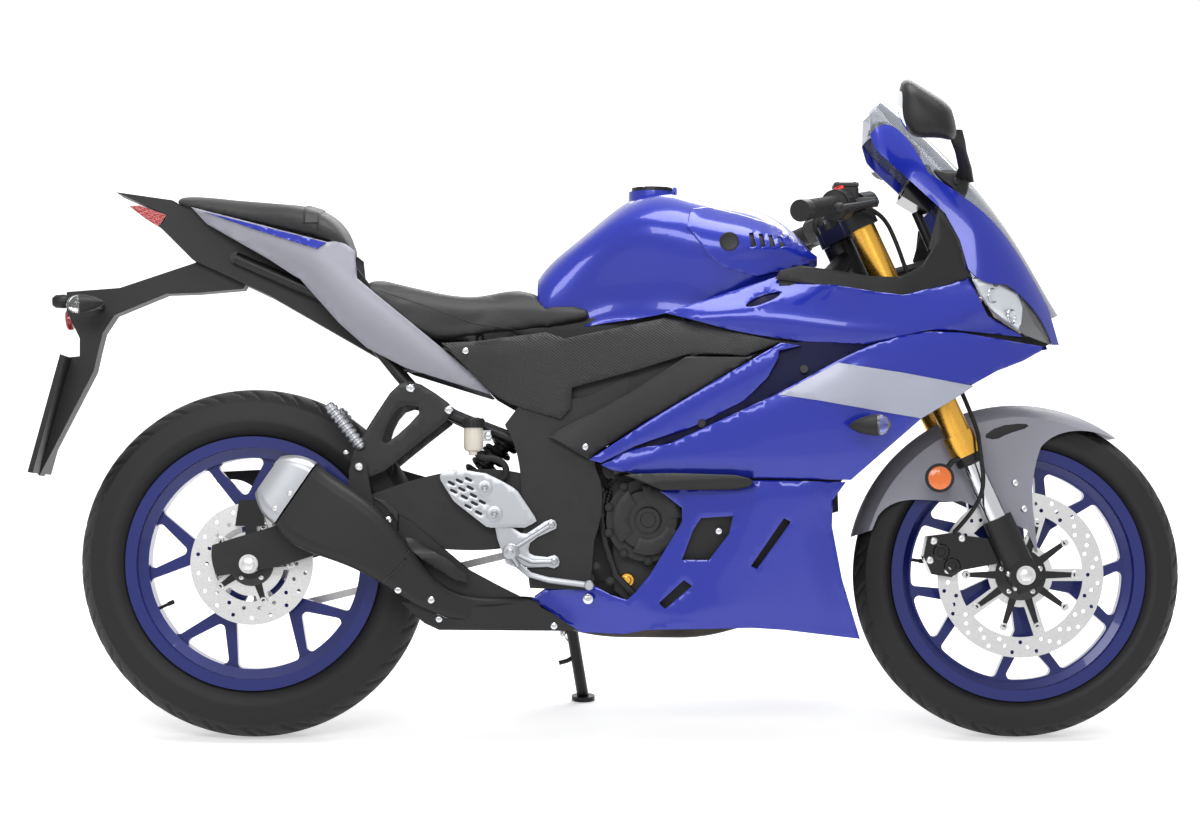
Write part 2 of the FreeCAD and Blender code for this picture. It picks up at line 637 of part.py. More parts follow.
BAR_RADIUS = 11.0
GRIP_RADIUS = 16.5
GRIP_LENGTH = 122.0
BAR_END_RADIUS = 19.0
BAR_END_LENGTH = 22.0
CLIP_THICKNESS = 24.0
CLIP_RING = 9.0
CLIP_LEVEL = 712.0
BAR_SWEEP = 29.0
BAR_DROOP = 9.0
BAR_START_AHEAD = 30.0
BAR_TO_GRIP = 142.0
HOUSING_LENGTH = 34.0
HOUSING_RADIUS = 27.0
LEVER_LENGTH = 165.0
LEVER_HALF = 5.0
LEVER_TIP_RADIUS = 9.0
LEVER_AHEAD = 62.0
PERCH_RADIUS = 18.0
RESERVOIR_HALF = 22.0
RESERVOIR_HEIGHT = 38.0
RESERVOIR_ALONG = 96.0


def bar_direction(side):
    """Outwards, swept back and drooping."""
    sweep = math.radians(BAR_SWEEP)
    droop = math.radians(BAR_DROOP)
    flat = math.cos(droop)
    return Vector(-math.sin(sweep) * flat, side * math.cos(sweep) * flat, -math.sin(droop))


def bar_point(side, along, ahead=0.0, up=0.0):
    out = bar_direction(side)
    forward = Vector(math.cos(math.radians(BAR_SWEEP)), side * math.sin(math.radians(BAR_SWEEP)), 0)
    base = fork_point(side, CLIP_LEVEL + CLIP_THICKNESS / 2, BAR_START_AHEAD)
    return base + out * along + forward * ahead + Vector(0, 0, up)


def build_handlebars():
    bars, grips, controls = [], [], []
    for side in (-1, 1):
        ring = rod(fork_point(side, CLIP_LEVEL), fork_point(side, CLIP_LEVEL + CLIP_THICKNESS),
                   OUTER_TUBE_RADIUS + CLIP_RING)
        bar = rod(bar_point(side, 0), bar_point(side, BAR_TO_GRIP + GRIP_LENGTH), BAR_RADIUS)
        end = rod(bar_point(side, BAR_TO_GRIP + GRIP_LENGTH),
                  bar_point(side, BAR_TO_GRIP + GRIP_LENGTH + BAR_END_LENGTH), BAR_END_RADIUS)
        socket = rod(bar_point(side, -BAR_RADIUS), bar_point(side, 2 * BAR_END_LENGTH),
                     BAR_RADIUS + CLIP_RING / 2)
        tube = rod(fork_point(side, CLIP_LEVEL - OVERRUN), fork_point(side, OUTER_TUBE_END + OVERRUN),
                   OUTER_TUBE_RADIUS + SEAT_GAP)
        bars.append(fused([ring, socket, bar, end]).cut(tube))
        grip = rod(bar_point(side, BAR_TO_GRIP), bar_point(side, BAR_TO_GRIP + GRIP_LENGTH - SEAT_GAP),
                   GRIP_RADIUS)
        flange = rod(bar_point(side, BAR_TO_GRIP), bar_point(side, BAR_TO_GRIP + CLIP_RING / 2),
                     GRIP_RADIUS + CLIP_RING)
        core = rod(bar_point(side, -OVERRUN), bar_point(side, BAR_TO_GRIP + GRIP_LENGTH + OVERRUN),
                   BAR_RADIUS + SEAT_GAP)
        grips.append(fused([grip, flange]).cut(core))
        housing = rod(bar_point(side, BAR_TO_GRIP - HOUSING_LENGTH), bar_point(side, BAR_TO_GRIP - SEAT_GAP),
                      HOUSING_RADIUS)
        perch = rod(bar_point(side, RESERVOIR_ALONG - PERCH_RADIUS / 2),
                    bar_point(side, BAR_TO_GRIP - HOUSING_LENGTH), PERCH_RADIUS)
        body = rod(bar_point(side, RESERVOIR_ALONG + CLIP_RING / 2),
                   bar_point(side, RESERVOIR_ALONG + CLIP_RING / 2, LEVER_AHEAD), CLIP_RING)
        lever = rod(bar_point(side, RESERVOIR_ALONG + CLIP_RING / 2, LEVER_AHEAD),
                    bar_point(side, RESERVOIR_ALONG + LEVER_LENGTH, LEVER_AHEAD), LEVER_HALF)
        tip = Part.makeSphere(LEVER_TIP_RADIUS, bar_point(side, RESERVOIR_ALONG + LEVER_LENGTH, LEVER_AHEAD))
        pieces = [housing, perch, body, lever, tip]
        if side < 0:
            low = bar_point(side, RESERVOIR_ALONG, 0, -PERCH_RADIUS / 2)
            cup = Part.makeBox(2 * RESERVOIR_HALF, 2 * RESERVOIR_HALF, RESERVOIR_HEIGHT,
                               low - Vector(RESERVOIR_HALF, RESERVOIR_HALF, 0))
            pieces.append(cup.makeFillet(RESERVOIR_HALF / 4, cup.Edges))
        controls.append(fused(pieces).cut(core))
    add("steering", "handlebars", Part.makeCompound(bars))
    add("steering", "grips", Part.makeCompound(grips))
    add("steering", "bar_controls", Part.makeCompound(controls))


# The front brake hose, from the master cylinder down the front of the right leg to its caliper

HOSE_RADIUS = 4.0
HOSE_FROM_LEG = 39.0
HOSE_BESIDE_LEG = -35.0
HOSE_BEND_SHARE = 0.45


def build_brake_hose():
    start = RESERVOIR_ALONG - CLIP_RING / 2 - HOSE_RADIUS / 3
    points = [
        bar_point(-1, start, LEVER_AHEAD - 4 * CLIP_RING),
        bar_point(-1, start - 6 * HOSE_RADIUS, LEVER_AHEAD - 4 * CLIP_RING, -2 * HOSE_RADIUS),
        fork_point(-1, TOP_YOKE_LEVEL, HOSE_FROM_LEG + YOKE_THICKNESS / 4),
        fork_point(-1, TOP_YOKE_LEVEL - 2 * YOKE_THICKNESS, HOSE_FROM_LEG + YOKE_THICKNESS / 4),
        fork_point(-1, LOW_YOKE_LEVEL + 4 * YOKE_THICKNESS, HOSE_FROM_LEG),
        fork_point(-1, OUTER_TUBE_START + COLLAR_LENGTH, HOSE_FROM_LEG),
        fork_point(-1, OUTER_TUBE_START, HOSE_FROM_LEG / 2, HOSE_BESIDE_LEG),
        fork_point(-1, FOOT_TOP + OVERRUN, 0, HOSE_BESIDE_LEG),
        fork_point(-1, FOOT_TOP + FOOT_RADIUS, -HOSE_FROM_LEG, HOSE_BESIDE_LEG / 2),
        fork_point(-1, FOOT_TOP + 2 * HOSE_RADIUS + 2 * SEAT_GAP, -2 * HOSE_FROM_LEG, FOOT_RADIUS / 2),
    ]
    add("steering", "front_brake_hose", bent_tube(points, HOSE_RADIUS, HOSE_BEND_SHARE))


# Frame: head tube, two beams, pivot plates, cross tubes

HEAD_TUBE_RADIUS = 27.0
BEAM_RADIUS = 17.0
BEAM_Y = 108.0
HEAD_GUSSET_Y = 16.0
HEAD_HIGH_SHARE = 0.18
HEAD_LOW_SHARE = 0.82
BEAM_PX = [(790, 318), (690, 362), (612, 418)]
LOWER_BEAM_PX = [(800, 372), (700, 425), (612, 470)]
PLATE_INNER = 116.0
PLATE_THICKNESS = 16.0
PIVOT_PLATE_PX = [
    [(520, 405), (548, 402)], [(585, 398)], [(640, 372)], [(640, 392)], [(601, 424), (594, 450), (600, 480)],
    [(602, 500), (600, 520), (594, 540)], [(590, 590)], [(530, 588)], [(524, 545)],
    [(521, 480), (516, 450), (505, 425)],
]
CROSS_RADIUS = 14.0
CROSS_TUBES_PX = ((540.0, 425.0), (545.0, 575.0))
FAIRING_POST_RADIUS = 7.0
UPPER_POSTS_PX = ((792.0, 316.0),)
SIDE_POSTS_PX = ((700.0, 425.0), (800.0, 372.0))
COVER_POSTS_PX = ((616.0, 415.0), (690.0, 362.0))
TANK_POSTS_PX = ((684.0, 364.0), (776.0, 326.0))
RADIATOR_POSTS_PX = ((806.0, 374.0), (824.0, 394.0))


def build_frame():
    top = steer_point(TOP_YOKE_LEVEL - HEAD_CLEARANCE)
    bottom = steer_point(LOW_YOKE_LEVEL + YOKE_THICKNESS + HEAD_CLEARANCE)
    head = rod(bottom, top, HEAD_TUBE_RADIUS)
    parts = [head]
    head_high = top + (bottom - top) * HEAD_HIGH_SHARE
    head_low = top + (bottom - top) * HEAD_LOW_SHARE
    for side in (-1, 1):
        for start, path in ((head_high, BEAM_PX), (head_low, LOWER_BEAM_PX)):
            points = [start + SIDEWAYS * (side * HEAD_GUSSET_Y)]
            for pixel in path:
                x, z = spot(pixel, BEAM_Y)
                points.append(Vector(x, side * BEAM_Y, z))
            parts.append(bent_tube(points, BEAM_RADIUS))
        inner, outer = sorted((-side * PLATE_INNER, -side * (PLATE_INNER + PLATE_THICKNESS)))
        parts.append(slab(PIVOT_PLATE_PX, PLATE_INNER, inner, outer))
        for pixel in (BEAM_PX[-1], LOWER_BEAM_PX[-1]):
            x, z = spot(pixel, BEAM_Y)
            low, high = sorted((side * BEAM_Y, side * PLATE_INNER))
            parts.append(wheel_disc(Vector(x, 0, z), BEAM_RADIUS, low, high))
    for pixel in CROSS_TUBES_PX:
        x, z = spot(pixel, PLATE_INNER)
        parts.append(wheel_disc(Vector(x, 0, z), CROSS_RADIUS, -PLATE_INNER, PLATE_INNER))
    whole = fused(parts)
    bore = rod(bottom - STEER_UP * OVERRUN, top + STEER_UP * OVERRUN, STEM_RADIUS + AXLE_CLEARANCE)
    whole = whole.cut(bore)
    x, z = spot(PIVOT_PX, RIGHT_ARM_INNER)
    pin = wheel_disc(Vector(x, 0, z), AXLE_RADIUS, -PLATE_INNER, PLATE_INNER)
    whole = fused([whole, pin] + body_posts() + [stand_boss()])
    add("chassis", "main_frame", largest(whole.cut(stand_knuckle_room())))


def body_posts():
    """Posts from the beams to the panels, the tank and the radiator, each ending at its seat."""
    posts = []
    for pixels, layer in ((UPPER_POSTS_PX, 0), (SIDE_POSTS_PX, 0), (COVER_POSTS_PX, 2)):
        inside = fairing_skin()
        inside.translate(SIDEWAYS * (layer * LAYER_STEP + PANEL + SEAT_GAP))
        inside = inside.extrude(SIDEWAYS * FAIRING_HALF_WIDTH)
        for pixel in pixels:
            start = at(pixel, BEAM_Y)
            post = rod(start, Vector(start.x, -2 * FAIRING_HALF_WIDTH, start.z), FAIRING_POST_RADIUS)
            posts.append(post.common(inside))
    tank = tank_body(SEAT_GAP)
    for pixel in TANK_POSTS_PX:
        start = at(pixel, BEAM_Y)
        post = rod(start, start + Vector(0, 0, 2 * OVERRUN), FAIRING_POST_RADIUS).cut(tank)
        posts.append([solid for solid in post.Solids if solid.BoundBox.ZMin < start.z + BEAM_RADIUS][0])
    radiator = slab(RADIATOR_PX, 0, -RADIATOR_HALF_WIDTH - SEAT_GAP, RADIATOR_HALF_WIDTH + SEAT_GAP)
    tab = rod(at(RADIATOR_POSTS_PX[0], BEAM_Y), at(RADIATOR_POSTS_PX[1], BEAM_Y), FAIRING_POST_RADIUS)
    posts.append(tab.cut(radiator))
    return posts + [mirrored(post) for post in posts]


# Body panels: shapes that follow the lines of sight of the photograph


def sight(runs, inner, outer):
    """The side outline as a block between two depths whose edges follow the lines of sight."""
    wires = [runs_to_wire(runs, lambda pixel, depth=depth: at(pixel, depth)) for depth in (inner, outer)]
    return Part.makeLoft(wires, True, True)


def prism(runs, half_width):
    """A block through the bike. A third number in a point is its depth as a share of half_width."""

    def place(point):
        depth = half_width * point[2] if len(point) > 2 else 0
        x, z = spot(point[:2], depth)
        return Vector(x, -half_width, z)

    face = Part.Face(runs_to_wire(runs, place))
    return face.extrude(SIDEWAYS * (2 * half_width))


def hull_loft(stations, half_width, grow=0.0, skirt=0.0):
    """A closed body through cross sections. Each station is a column and its half arch of
    (row, share of half_width) from the top middle to the low edge. A skirt carries it on down."""
    wires = []
    for column, arch in stations:
        right_side = []
        for row, share in arch:
            depth = share * half_width
            x, z = spot((column, row), depth)
            x = spot((column, row), 0)[0]
            right_side.append(Vector(x, -depth, z))
        middle_z = (right_side[0].z + right_side[-1].z) / 2
        moved = []
        for point in right_side:
            out = Vector(0, point.y, point.z - middle_z)
            moved.append(point + out.normalize() * grow)
        moved[0].y = 0
        left_side = [Vector(p.x, -p.y, p.z) for p in moved[1:]]
        arch_curve = Part.BSplineCurve()
        arch_curve.interpolate(list(reversed(moved)) + left_side)
        corners = [left_side[-1], moved[-1]]
        if skirt:
            drop = Vector(0, 0, -skirt)
            corners = [left_side[-1], left_side[-1] + drop, moved[-1] + drop, moved[-1]]
        sides = [Part.LineSegment(a, b).toShape() for a, b in zip(corners, corners[1:])]
        wires.append(Part.Wire([arch_curve.toShape()] + sides))
    return Part.makeLoft(wires, True, False)


def box_loft(stations, depth, half_width, corner_share, grow=0.0):
    """A tube-like body with rounded box sections square to its path. Each station is a pixel, a
    share of depth, a half height in pixels and a share of half_width."""
    middles = [at(pixel, out * depth) for pixel, out, tall, share in stations]
    wires = []
    for number, (pixel, out, tall, share) in enumerate(stations):
        before = middles[max(number - 1, 0)]
        after = middles[min(number + 1, len(middles) - 1)]
        along = after - before
        along.y = 0
        along.normalize()
        up = Vector(-along.z, 0, along.x)
        high = tall * MM_PER_PIXEL + grow
        wide = share * half_width + grow
        corner = corner_share * min(high, wide)
        middle = middles[number]
        edges = []
        for index, (a, b) in enumerate(((1, 1), (-1, 1), (-1, -1), (1, -1))):
            point = middle + SIDEWAYS * (a * wide) + up * (b * high)
            toward_y = SIDEWAYS * (-a * corner)
            toward_up = up * (-b * corner)
            first, second = (toward_up, toward_y) if index % 2 == 0 else (toward_y, toward_up)
            start = point + first
            end = point + second
            bow = point + (first + second) * (1 - math.sqrt(0.5))
            edges.append((start, bow, end))
        pieces = []
        for index, (start, bow, end) in enumerate(edges):
            pieces.append(Part.Arc(start, bow, end).toShape())
            following = edges[(index + 1) % 4][0]
            pieces.append(Part.LineSegment(end, following).toShape())
        wires.append(Part.Wire(pieces))
    return Part.makeLoft(wires, True, False)


def symmetric(half):
    """Joins a right half that ends in the centre plane to its mirror image."""
    return fused([half, mirrored(half)])


# Engine, exhaust and radiator

ENGINE_HALF_WIDTH = 96.0
CYLINDER_HALF_WIDTH = 76.0
COVER_RADIUS = 74.0
COVER_DEPTH = 36.0
COVER_EDGE = 6.0
COVER_STEP_SHARE = 0.7
COVER_MIDDLE_SHARE = 0.76
GENERATOR_RADIUS = 66.0
GENERATOR_DEPTH = 30.0
CHAIN_SIDE = 66.0
SHAFT_RADIUS = 12.0
HEADER_RADIUS = 18.0
CLUTCH_PX = (648.0, 520.0)
GENERATOR_PX = (664.0, 520.0)
CRANKCASE_PX = [
    [(612, 478)], [(650, 470)], [(735, 476)], [(760, 500), (764, 530), (752, 575)], [(735, 606)],
    [(640, 612)], [(614, 590)],
]
CYLINDER_PX = [[(668, 480)], [(702, 378)], [(716, 372)], [(782, 396)], [(752, 508)]]
HEADER_PX = [(762, 452), (785, 480), (785, 560), (760, 612), (700, 628), (600, 627), (536, 611)]
HEADER_DEPTHS_SHARE = (0.0, 0.0, 0.2, 0.5, 0.8, 1.0, 1.0)
HEADER_SIDE = 100.0
ENGINE_BOLT_RADIUS = 8.0
LOWER_POSTS_PX = ((742.0, 500.0), (725.0, 596.0))
ENGINE_BOLTS_PX = ((640.0, 486.0), (640.0, 590.0))
PLATE_LUGS_PX = ((586.0, 470.0), (590.0, 578.0))


def build_engine():
    case = slab(CRANKCASE_PX, ENGINE_HALF_WIDTH, -ENGINE_HALF_WIDTH, ENGINE_HALF_WIDTH)
    cylinder = slab(CYLINDER_PX, CYLINDER_HALF_WIDTH, -CYLINDER_HALF_WIDTH, CYLINDER_HALF_WIDTH)
    whole = fused([case, cylinder])
    room = Part.Face(chain_path(CHAIN_HALF_HEIGHT + CHAIN_ROOM))
    room.translate(SIDEWAYS * CHAIN_SIDE)
    room = room.extrude(SIDEWAYS * (2 * OVERRUN))
    whole = whole.cut(room)
    x, z = spot(FRONT_SPROCKET_PX, -CHAIN_Y)
    shaft_end = CHAIN_Y - SPROCKET_THICKNESS / 2
    shaft = wheel_disc(Vector(x, 0, z), SHAFT_RADIUS, 0, shaft_end - SEAT_GAP)
    lugs = []
    for pixel in PLATE_LUGS_PX:
        px, pz = spot(pixel, ENGINE_HALF_WIDTH)
        lugs.append(wheel_disc(Vector(px, 0, pz), CROSS_RADIUS, -CHAIN_SIDE, CHAIN_SIDE))
        lugs.append(wheel_disc(Vector(px, 0, pz), ENGINE_BOLT_RADIUS, -PLATE_INNER + SEAT_GAP,
                               PLATE_INNER - SEAT_GAP))
    inner_px = [[PLATE_LUGS_PX[0]], [ENGINE_BOLTS_PX[0]], [ENGINE_BOLTS_PX[1]], [PLATE_LUGS_PX[1]]]
    webs = slab(inner_px, CHAIN_SIDE, -CHAIN_SIDE, CHAIN_SIDE)
    inside = fairing_skin()
    inside.translate(SIDEWAYS * (LAYER_STEP + PANEL + SEAT_GAP))
    inside = inside.extrude(SIDEWAYS * FAIRING_HALF_WIDTH)
    for pixel in LOWER_POSTS_PX:
        start = at(pixel, ENGINE_HALF_WIDTH / 2)
        post = rod(start, Vector(start.x, -2 * FAIRING_HALF_WIDTH, start.z), FAIRING_POST_RADIUS)
        post = post.common(inside)
        lugs += [post, mirrored(post)]
    clutch = engine_cover(CLUTCH_PX, -1, COVER_RADIUS, COVER_DEPTH)
    generator = engine_cover(GENERATOR_PX, 1, GENERATOR_RADIUS, GENERATOR_DEPTH)
    add("chassis", "engine", fused([whole, shaft, webs, clutch, generator] + lugs))


def engine_cover(pixel, side, radius, depth):
    """A round side cover with a raised middle: side is -1 right or 1 left."""
    x, z = spot(pixel, -side * (ENGINE_HALF_WIDTH + depth))
    steps = ((radius, depth * COVER_STEP_SHARE), (radius * COVER_MIDDLE_SHARE, depth))
    rounds = []
    for size, reach in steps:
        low, high = sorted((side * (ENGINE_HALF_WIDTH - COVER_EDGE), side * (ENGINE_HALF_WIDTH + reach)))
        rounds.append(wheel_disc(Vector(x, 0, z), size, low, high))
    cover = fused(rounds)
    flat = [e for e in cover.Edges if abs(abs(e.CenterOfMass.y) - ENGINE_HALF_WIDTH - depth) < 1e-3]
    return cover.makeFillet(COVER_EDGE, flat)


MUFFLER_Y = 158.0
MUFFLER_HALF_WIDTH = 40.0
MUFFLER_CORNER_SHARE = 0.55
MUFFLER_PX_SHARES = (
    ((540, 612), 0.66, 12, 0.5), ((480, 610), 0.75, 13, 0.55), ((430, 594), 0.9, 15, 0.6),
    ((392, 562), 0.99, 23, 0.8), ((349, 530), 1.0, 34, 1.0), ((298, 495), 1.0, 36, 1.0),
)
END_CAP_PX_SHARES = (
    ((296.5, 494), 1.0, 36, 1.0), ((282, 484), 1.0, 33, 0.95), ((269, 475), 1.0, 22, 0.7),
)
MUFFLER_LUG_PX = [[(349, 470)], [(356, 460), (366, 464)], [(374, 508)], [(348, 500)]]
MUFFLER_LUG_THICKNESS = 12.0
CHAMBER_COVER_PX = [
    [(401, 602)], [(424, 623)], [(439, 630)], [(573, 631)], [(575, 628)], [(529, 600)],
    [(480, 607), (440, 606), (401, 602)],
]
COVER_INNER = 140.0
OUTLET_RADIUS = 20.0
OUTLET_PX = ((278.0, 475.5), (240.0, 455.0))


def muffler_body(grow=0.0):
    return box_loft(MUFFLER_PX_SHARES, MUFFLER_Y, MUFFLER_HALF_WIDTH, MUFFLER_CORNER_SHARE, grow)


def muffler_bolt(grow=0.0):
    """The bolt that hangs the muffler on the pillion hanger."""
    reach = PILLION_HANGER_INNER + BRACKET_THICKNESS + SEAT_GAP + MUFFLER_LUG_THICKNESS / 2
    return rod(at(MUFFLER_BOLT_PX, PILLION_HANGER_INNER), at(MUFFLER_BOLT_PX, reach + grow),
               ENGINE_BOLT_RADIUS + grow)


def build_exhaust():
    points = []
    for pixel, share in zip(HEADER_PX, HEADER_DEPTHS_SHARE):
        points.append(at(pixel, share * HEADER_SIDE))
    header = bent_tube(points, HEADER_RADIUS)
    muffler = muffler_body()
    cap = box_loft(END_CAP_PX_SHARES, MUFFLER_Y, MUFFLER_HALF_WIDTH, MUFFLER_CORNER_SHARE)
    lug_inner = PILLION_HANGER_INNER + BRACKET_THICKNESS + SEAT_GAP
    lug = sight(MUFFLER_LUG_PX, lug_inner, lug_inner + MUFFLER_LUG_THICKNESS)
    add("chassis", "exhaust_header", header.cut(muffler_body(SEAT_GAP)).cut(nodes["engine"]))
    add("chassis", "muffler", fused([muffler, lug]).cut(muffler_bolt(SEAT_GAP)))
    outlet = rod(at(OUTLET_PX[0], MUFFLER_Y), at(OUTLET_PX[1], MUFFLER_Y), OUTLET_RADIUS)
    add("chassis", "muffler_end_cap", cap.cut(outlet).cut(muffler_body(SEAT_GAP)))
    guard = sight(CHAMBER_COVER_PX, COVER_INNER, COVER_INNER + PANEL)
    add("chassis", "exhaust_guard", guard.cut(muffler_body(SEAT_GAP)))


RADIATOR_PX = [[(812, 392)], [(828, 388)], [(832, 512)], [(816, 516)]]
RADIATOR_HALF_WIDTH = 140.0


def build_radiator():
    add("chassis", "radiator", slab(RADIATOR_PX, 0, -RADIATOR_HALF_WIDTH, RADIATOR_HALF_WIDTH))


# Tank, seats and tail

TANK_HALF_WIDTH = 138.0
TANK_PX_SHARES = (
    (538, ((281, 0), (282, 0.25), (288, 0.42), (305, 0.5), (326, 0.48))),
    (560, ((256, 0), (258, 0.3), (265, 0.48), (292, 0.6), (330, 0.55))),
    (600, ((223, 0), (225, 0.35), (232, 0.58), (272, 0.64), (324, 0.66))),
    (640, ((197, 0), (201, 0.5), (217, 0.8), (256, 0.82), (318, 0.8))),
    (684, ((197, 0), (203, 0.6), (225, 0.95), (262, 0.96), (308, 0.9))),
    (730, ((206, 0), (214, 0.62), (238, 1.0), (266, 1.0), (292, 0.92))),
    (770, ((217, 0), (225, 0.55), (249, 0.93), (265, 0.93), (277, 0.88))),
    (800, ((240, 0), (244, 0.4), (256, 0.74), (265, 0.74), (270, 0.72))),
    (814, ((256, 0), (257, 0.28), (260, 0.54), (263, 0.54), (266, 0.52))),
)
CAP_MIDDLE_PX = (652.0, 197.0)
CAP_RADIUS = 37.0
CAP_THICKNESS = 7.0
CAP_BORE = 27.0
CAP_BORE_DEPTH = 60.0
CAP_BOSS_RADIUS = 43.0
CAP_BOSS_HEIGHT = 8.0
CAP_SWING = 95.0
CAP_HINGE_RADIUS = 4.0
CAP_PIN_RADIUS = 1.8
CAP_BARREL_HALF = 8.0
CAP_EAR = 4.0


def tank_body(grow=0.0):
    return hull_loft(TANK_PX_SHARES, TANK_HALF_WIDTH, grow)


def cap_hinge():
    """The middle of the lid's hinge, at its front edge."""
    rise = CAP_BOSS_HEIGHT + SEAT_GAP + CAP_HINGE_RADIUS
    return at(CAP_MIDDLE_PX) + Vector(CAP_RADIUS + CAP_HINGE_RADIUS, 0, rise)


def build_tank():
    seat = at(CAP_MIDDLE_PX)
    up = Vector(0, 0, 1)
    hinge = cap_hinge()
    boss = rod(seat - up * OVERRUN, seat + up * CAP_BOSS_HEIGHT, CAP_BOSS_RADIUS)
    bore = rod(seat + up * (CAP_BOSS_HEIGHT - CAP_BORE_DEPTH), seat + up * OVERRUN, CAP_BORE)
    ears = []
    for side in (-1, 1):
        inner, outer = sorted((side * (CAP_BARREL_HALF + SEAT_GAP), side * (CAP_BARREL_HALF + CAP_EAR)))
        ears.append(wheel_disc(hinge, CAP_HINGE_RADIUS, inner, outer))
        ears.append(Part.makeBox(2 * CAP_HINGE_RADIUS, outer - inner, OVERRUN / 2,
                                 Vector(hinge.x - CAP_HINGE_RADIUS, inner, hinge.z - OVERRUN / 2)))
    pin = wheel_disc(hinge, CAP_PIN_RADIUS, -CAP_BARREL_HALF - CAP_EAR, CAP_BARREL_HALF + CAP_EAR)
    add("chassis", "fuel_tank", fused([tank_body(), boss, pin] + ears).cut(bore))
    lid_base = seat + up * (CAP_BOSS_HEIGHT + SEAT_GAP)
    lid = rod(lid_base, lid_base + up * CAP_THICKNESS, CAP_RADIUS)
    tab = Part.makeBox(2 * CAP_HINGE_RADIUS, 2 * CAP_BARREL_HALF, CAP_HINGE_RADIUS,
                       Vector(hinge.x - 2 * CAP_HINGE_RADIUS, -CAP_BARREL_HALF, lid_base.z))
    barrel = wheel_disc(hinge, CAP_HINGE_RADIUS, -CAP_BARREL_HALF, CAP_BARREL_HALF)
    eye = wheel_disc(hinge, CAP_PIN_RADIUS + AXLE_CLEARANCE, -CAP_BARREL_HALF, CAP_BARREL_HALF)
    add("cap", "fuel_cap", fused([lid, tab, barrel]).cut(eye))


SEAT_HALF_WIDTH = 130.0
RIDER_SEAT_PX_SHARES = (
    (371, ((280, 0), (281, 0.5), (284, 0.85), (288, 0.92), (292, 0.9))),
    (400, ((288, 0), (288, 0.55), (292, 0.92), (302, 1.0), (316, 0.97))),
    (440, ((297, 0), (297, 0.5), (301, 0.86), (318, 0.96), (338, 0.93))),
    (480, ((300, 0), (300, 0.42), (304, 0.7), (320, 0.8), (335, 0.8))),
    (520, ((294, 0), (294, 0.34), (298, 0.56), (316, 0.66), (331, 0.68))),
    (556, ((300, 0), (300, 0.34), (303, 0.62), (314, 0.72), (326, 0.72))),
    (590, ((306, 0), (306, 0.34), (309, 0.64), (314, 0.72), (319, 0.72))),
)
PILLION_SEAT_PX_SHARES = (
    (180, ((198, 0), (198.5, 0.2), (200, 0.36), (202, 0.4), (204, 0.38))),
    (210, ((199, 0), (200, 0.28), (203, 0.5), (208, 0.55), (212, 0.52))),
    (250, ((204, 0), (205, 0.34), (208, 0.62), (214, 0.68), (220, 0.66))),
    (290, ((206, 0), (207, 0.4), (210, 0.74), (218, 0.82), (228, 0.8))),
    (325, ((212, 0), (213, 0.42), (217, 0.8), (226, 0.9), (237, 0.86))),
    (354, ((243, 0), (243.5, 0.4), (245, 0.8), (248, 0.86), (251, 0.84))),
)


def seat_body(stations, grow=0.0):
    return hull_loft(stations, SEAT_HALF_WIDTH, grow)


def build_seats():
    add("chassis", "rider_seat", seat_body(RIDER_SEAT_PX_SHARES).cut(tank_body(SEAT_GAP)))
    add("chassis", "pillion_seat", seat_body(PILLION_SEAT_PX_SHARES))


TAIL_HALF_WIDTH = 132.0
TAIL_COLUMNS_PX = (170, 220, 270, 320, 370, 430, 500, 560)
TAIL_ROWS_PX = (190, 230, 270, 310, 350, 410)
TAIL_SHARES = (
    (0.42, 0.56, 0.70, 0.82, 0.90, 0.94, 0.90, 0.86),
    (0.44, 0.60, 0.76, 0.88, 0.96, 0.98, 0.94, 0.90),
    (0.42, 0.60, 0.78, 0.92, 1.00, 1.02, 0.97, 0.92),
    (0.40, 0.58, 0.76, 0.92, 1.02, 1.04, 0.98, 0.93),
    (0.38, 0.54, 0.72, 0.88, 1.00, 1.04, 0.98, 0.93),
    (0.34, 0.50, 0.68, 0.84, 0.96, 1.00, 0.96, 0.92),
)
TAIL_PANEL_PX = [
    [(191, 207)], [(328, 242)], [(339, 239)], [(355, 251)], [(357, 278)],
    [(370, 289), (425, 332), (475, 376)], [(492, 393)], [(490, 395)], [(406, 368)],
    [(367, 348), (352, 337), (339, 323)], [(300, 279)], [(293, 275)], [(270, 260), (240, 241), (207, 224)],
]
TAIL_CORE_PX = [
    [(120, 195)], [(176, 203)], [(191, 211)], [(328, 246)], [(352, 262)], [(400, 322)], [(470, 345)],
    [(470, 372)], [(400, 371)], [(273, 298)], [(196, 262)], [(163, 229)], [(172, 218)],
]
TAIL_CORE_SHARE = 0.36
LAMP_PX = [[(133, 209)], [(143, 208)], [(170, 217.5)], [(162, 229)], [(150, 222)]]
LAMP_HALF_WIDTH = 46.0


def tail_skin():
    return skin(TAIL_COLUMNS_PX, TAIL_ROWS_PX, TAIL_SHARES, TAIL_HALF_WIDTH)


def build_tail():
    seats = [seat_body(RIDER_SEAT_PX_SHARES, SEAT_GAP), seat_body(PILLION_SEAT_PX_SHARES, SEAT_GAP)]
    panel = sheet_of(tail_skin(), 0, PANEL).common(sight(TAIL_PANEL_PX, 0, 2 * TAIL_HALF_WIDTH))
    core = prism(TAIL_CORE_PX, TAIL_HALF_WIDTH * TAIL_CORE_SHARE)
    for seat in seats:
        panel = panel.cut(seat)
        core = core.cut(seat)
    add("chassis", "tail_panels", both(panel))
    lamp = prism(LAMP_PX, LAMP_HALF_WIDTH)
    add("chassis", "tail_core", core.cut(lamp).cut(subframe_tubes(SUBFRAME_RADIUS + SEAT_GAP)))
    add("chassis", "tail_lamp", lamp)


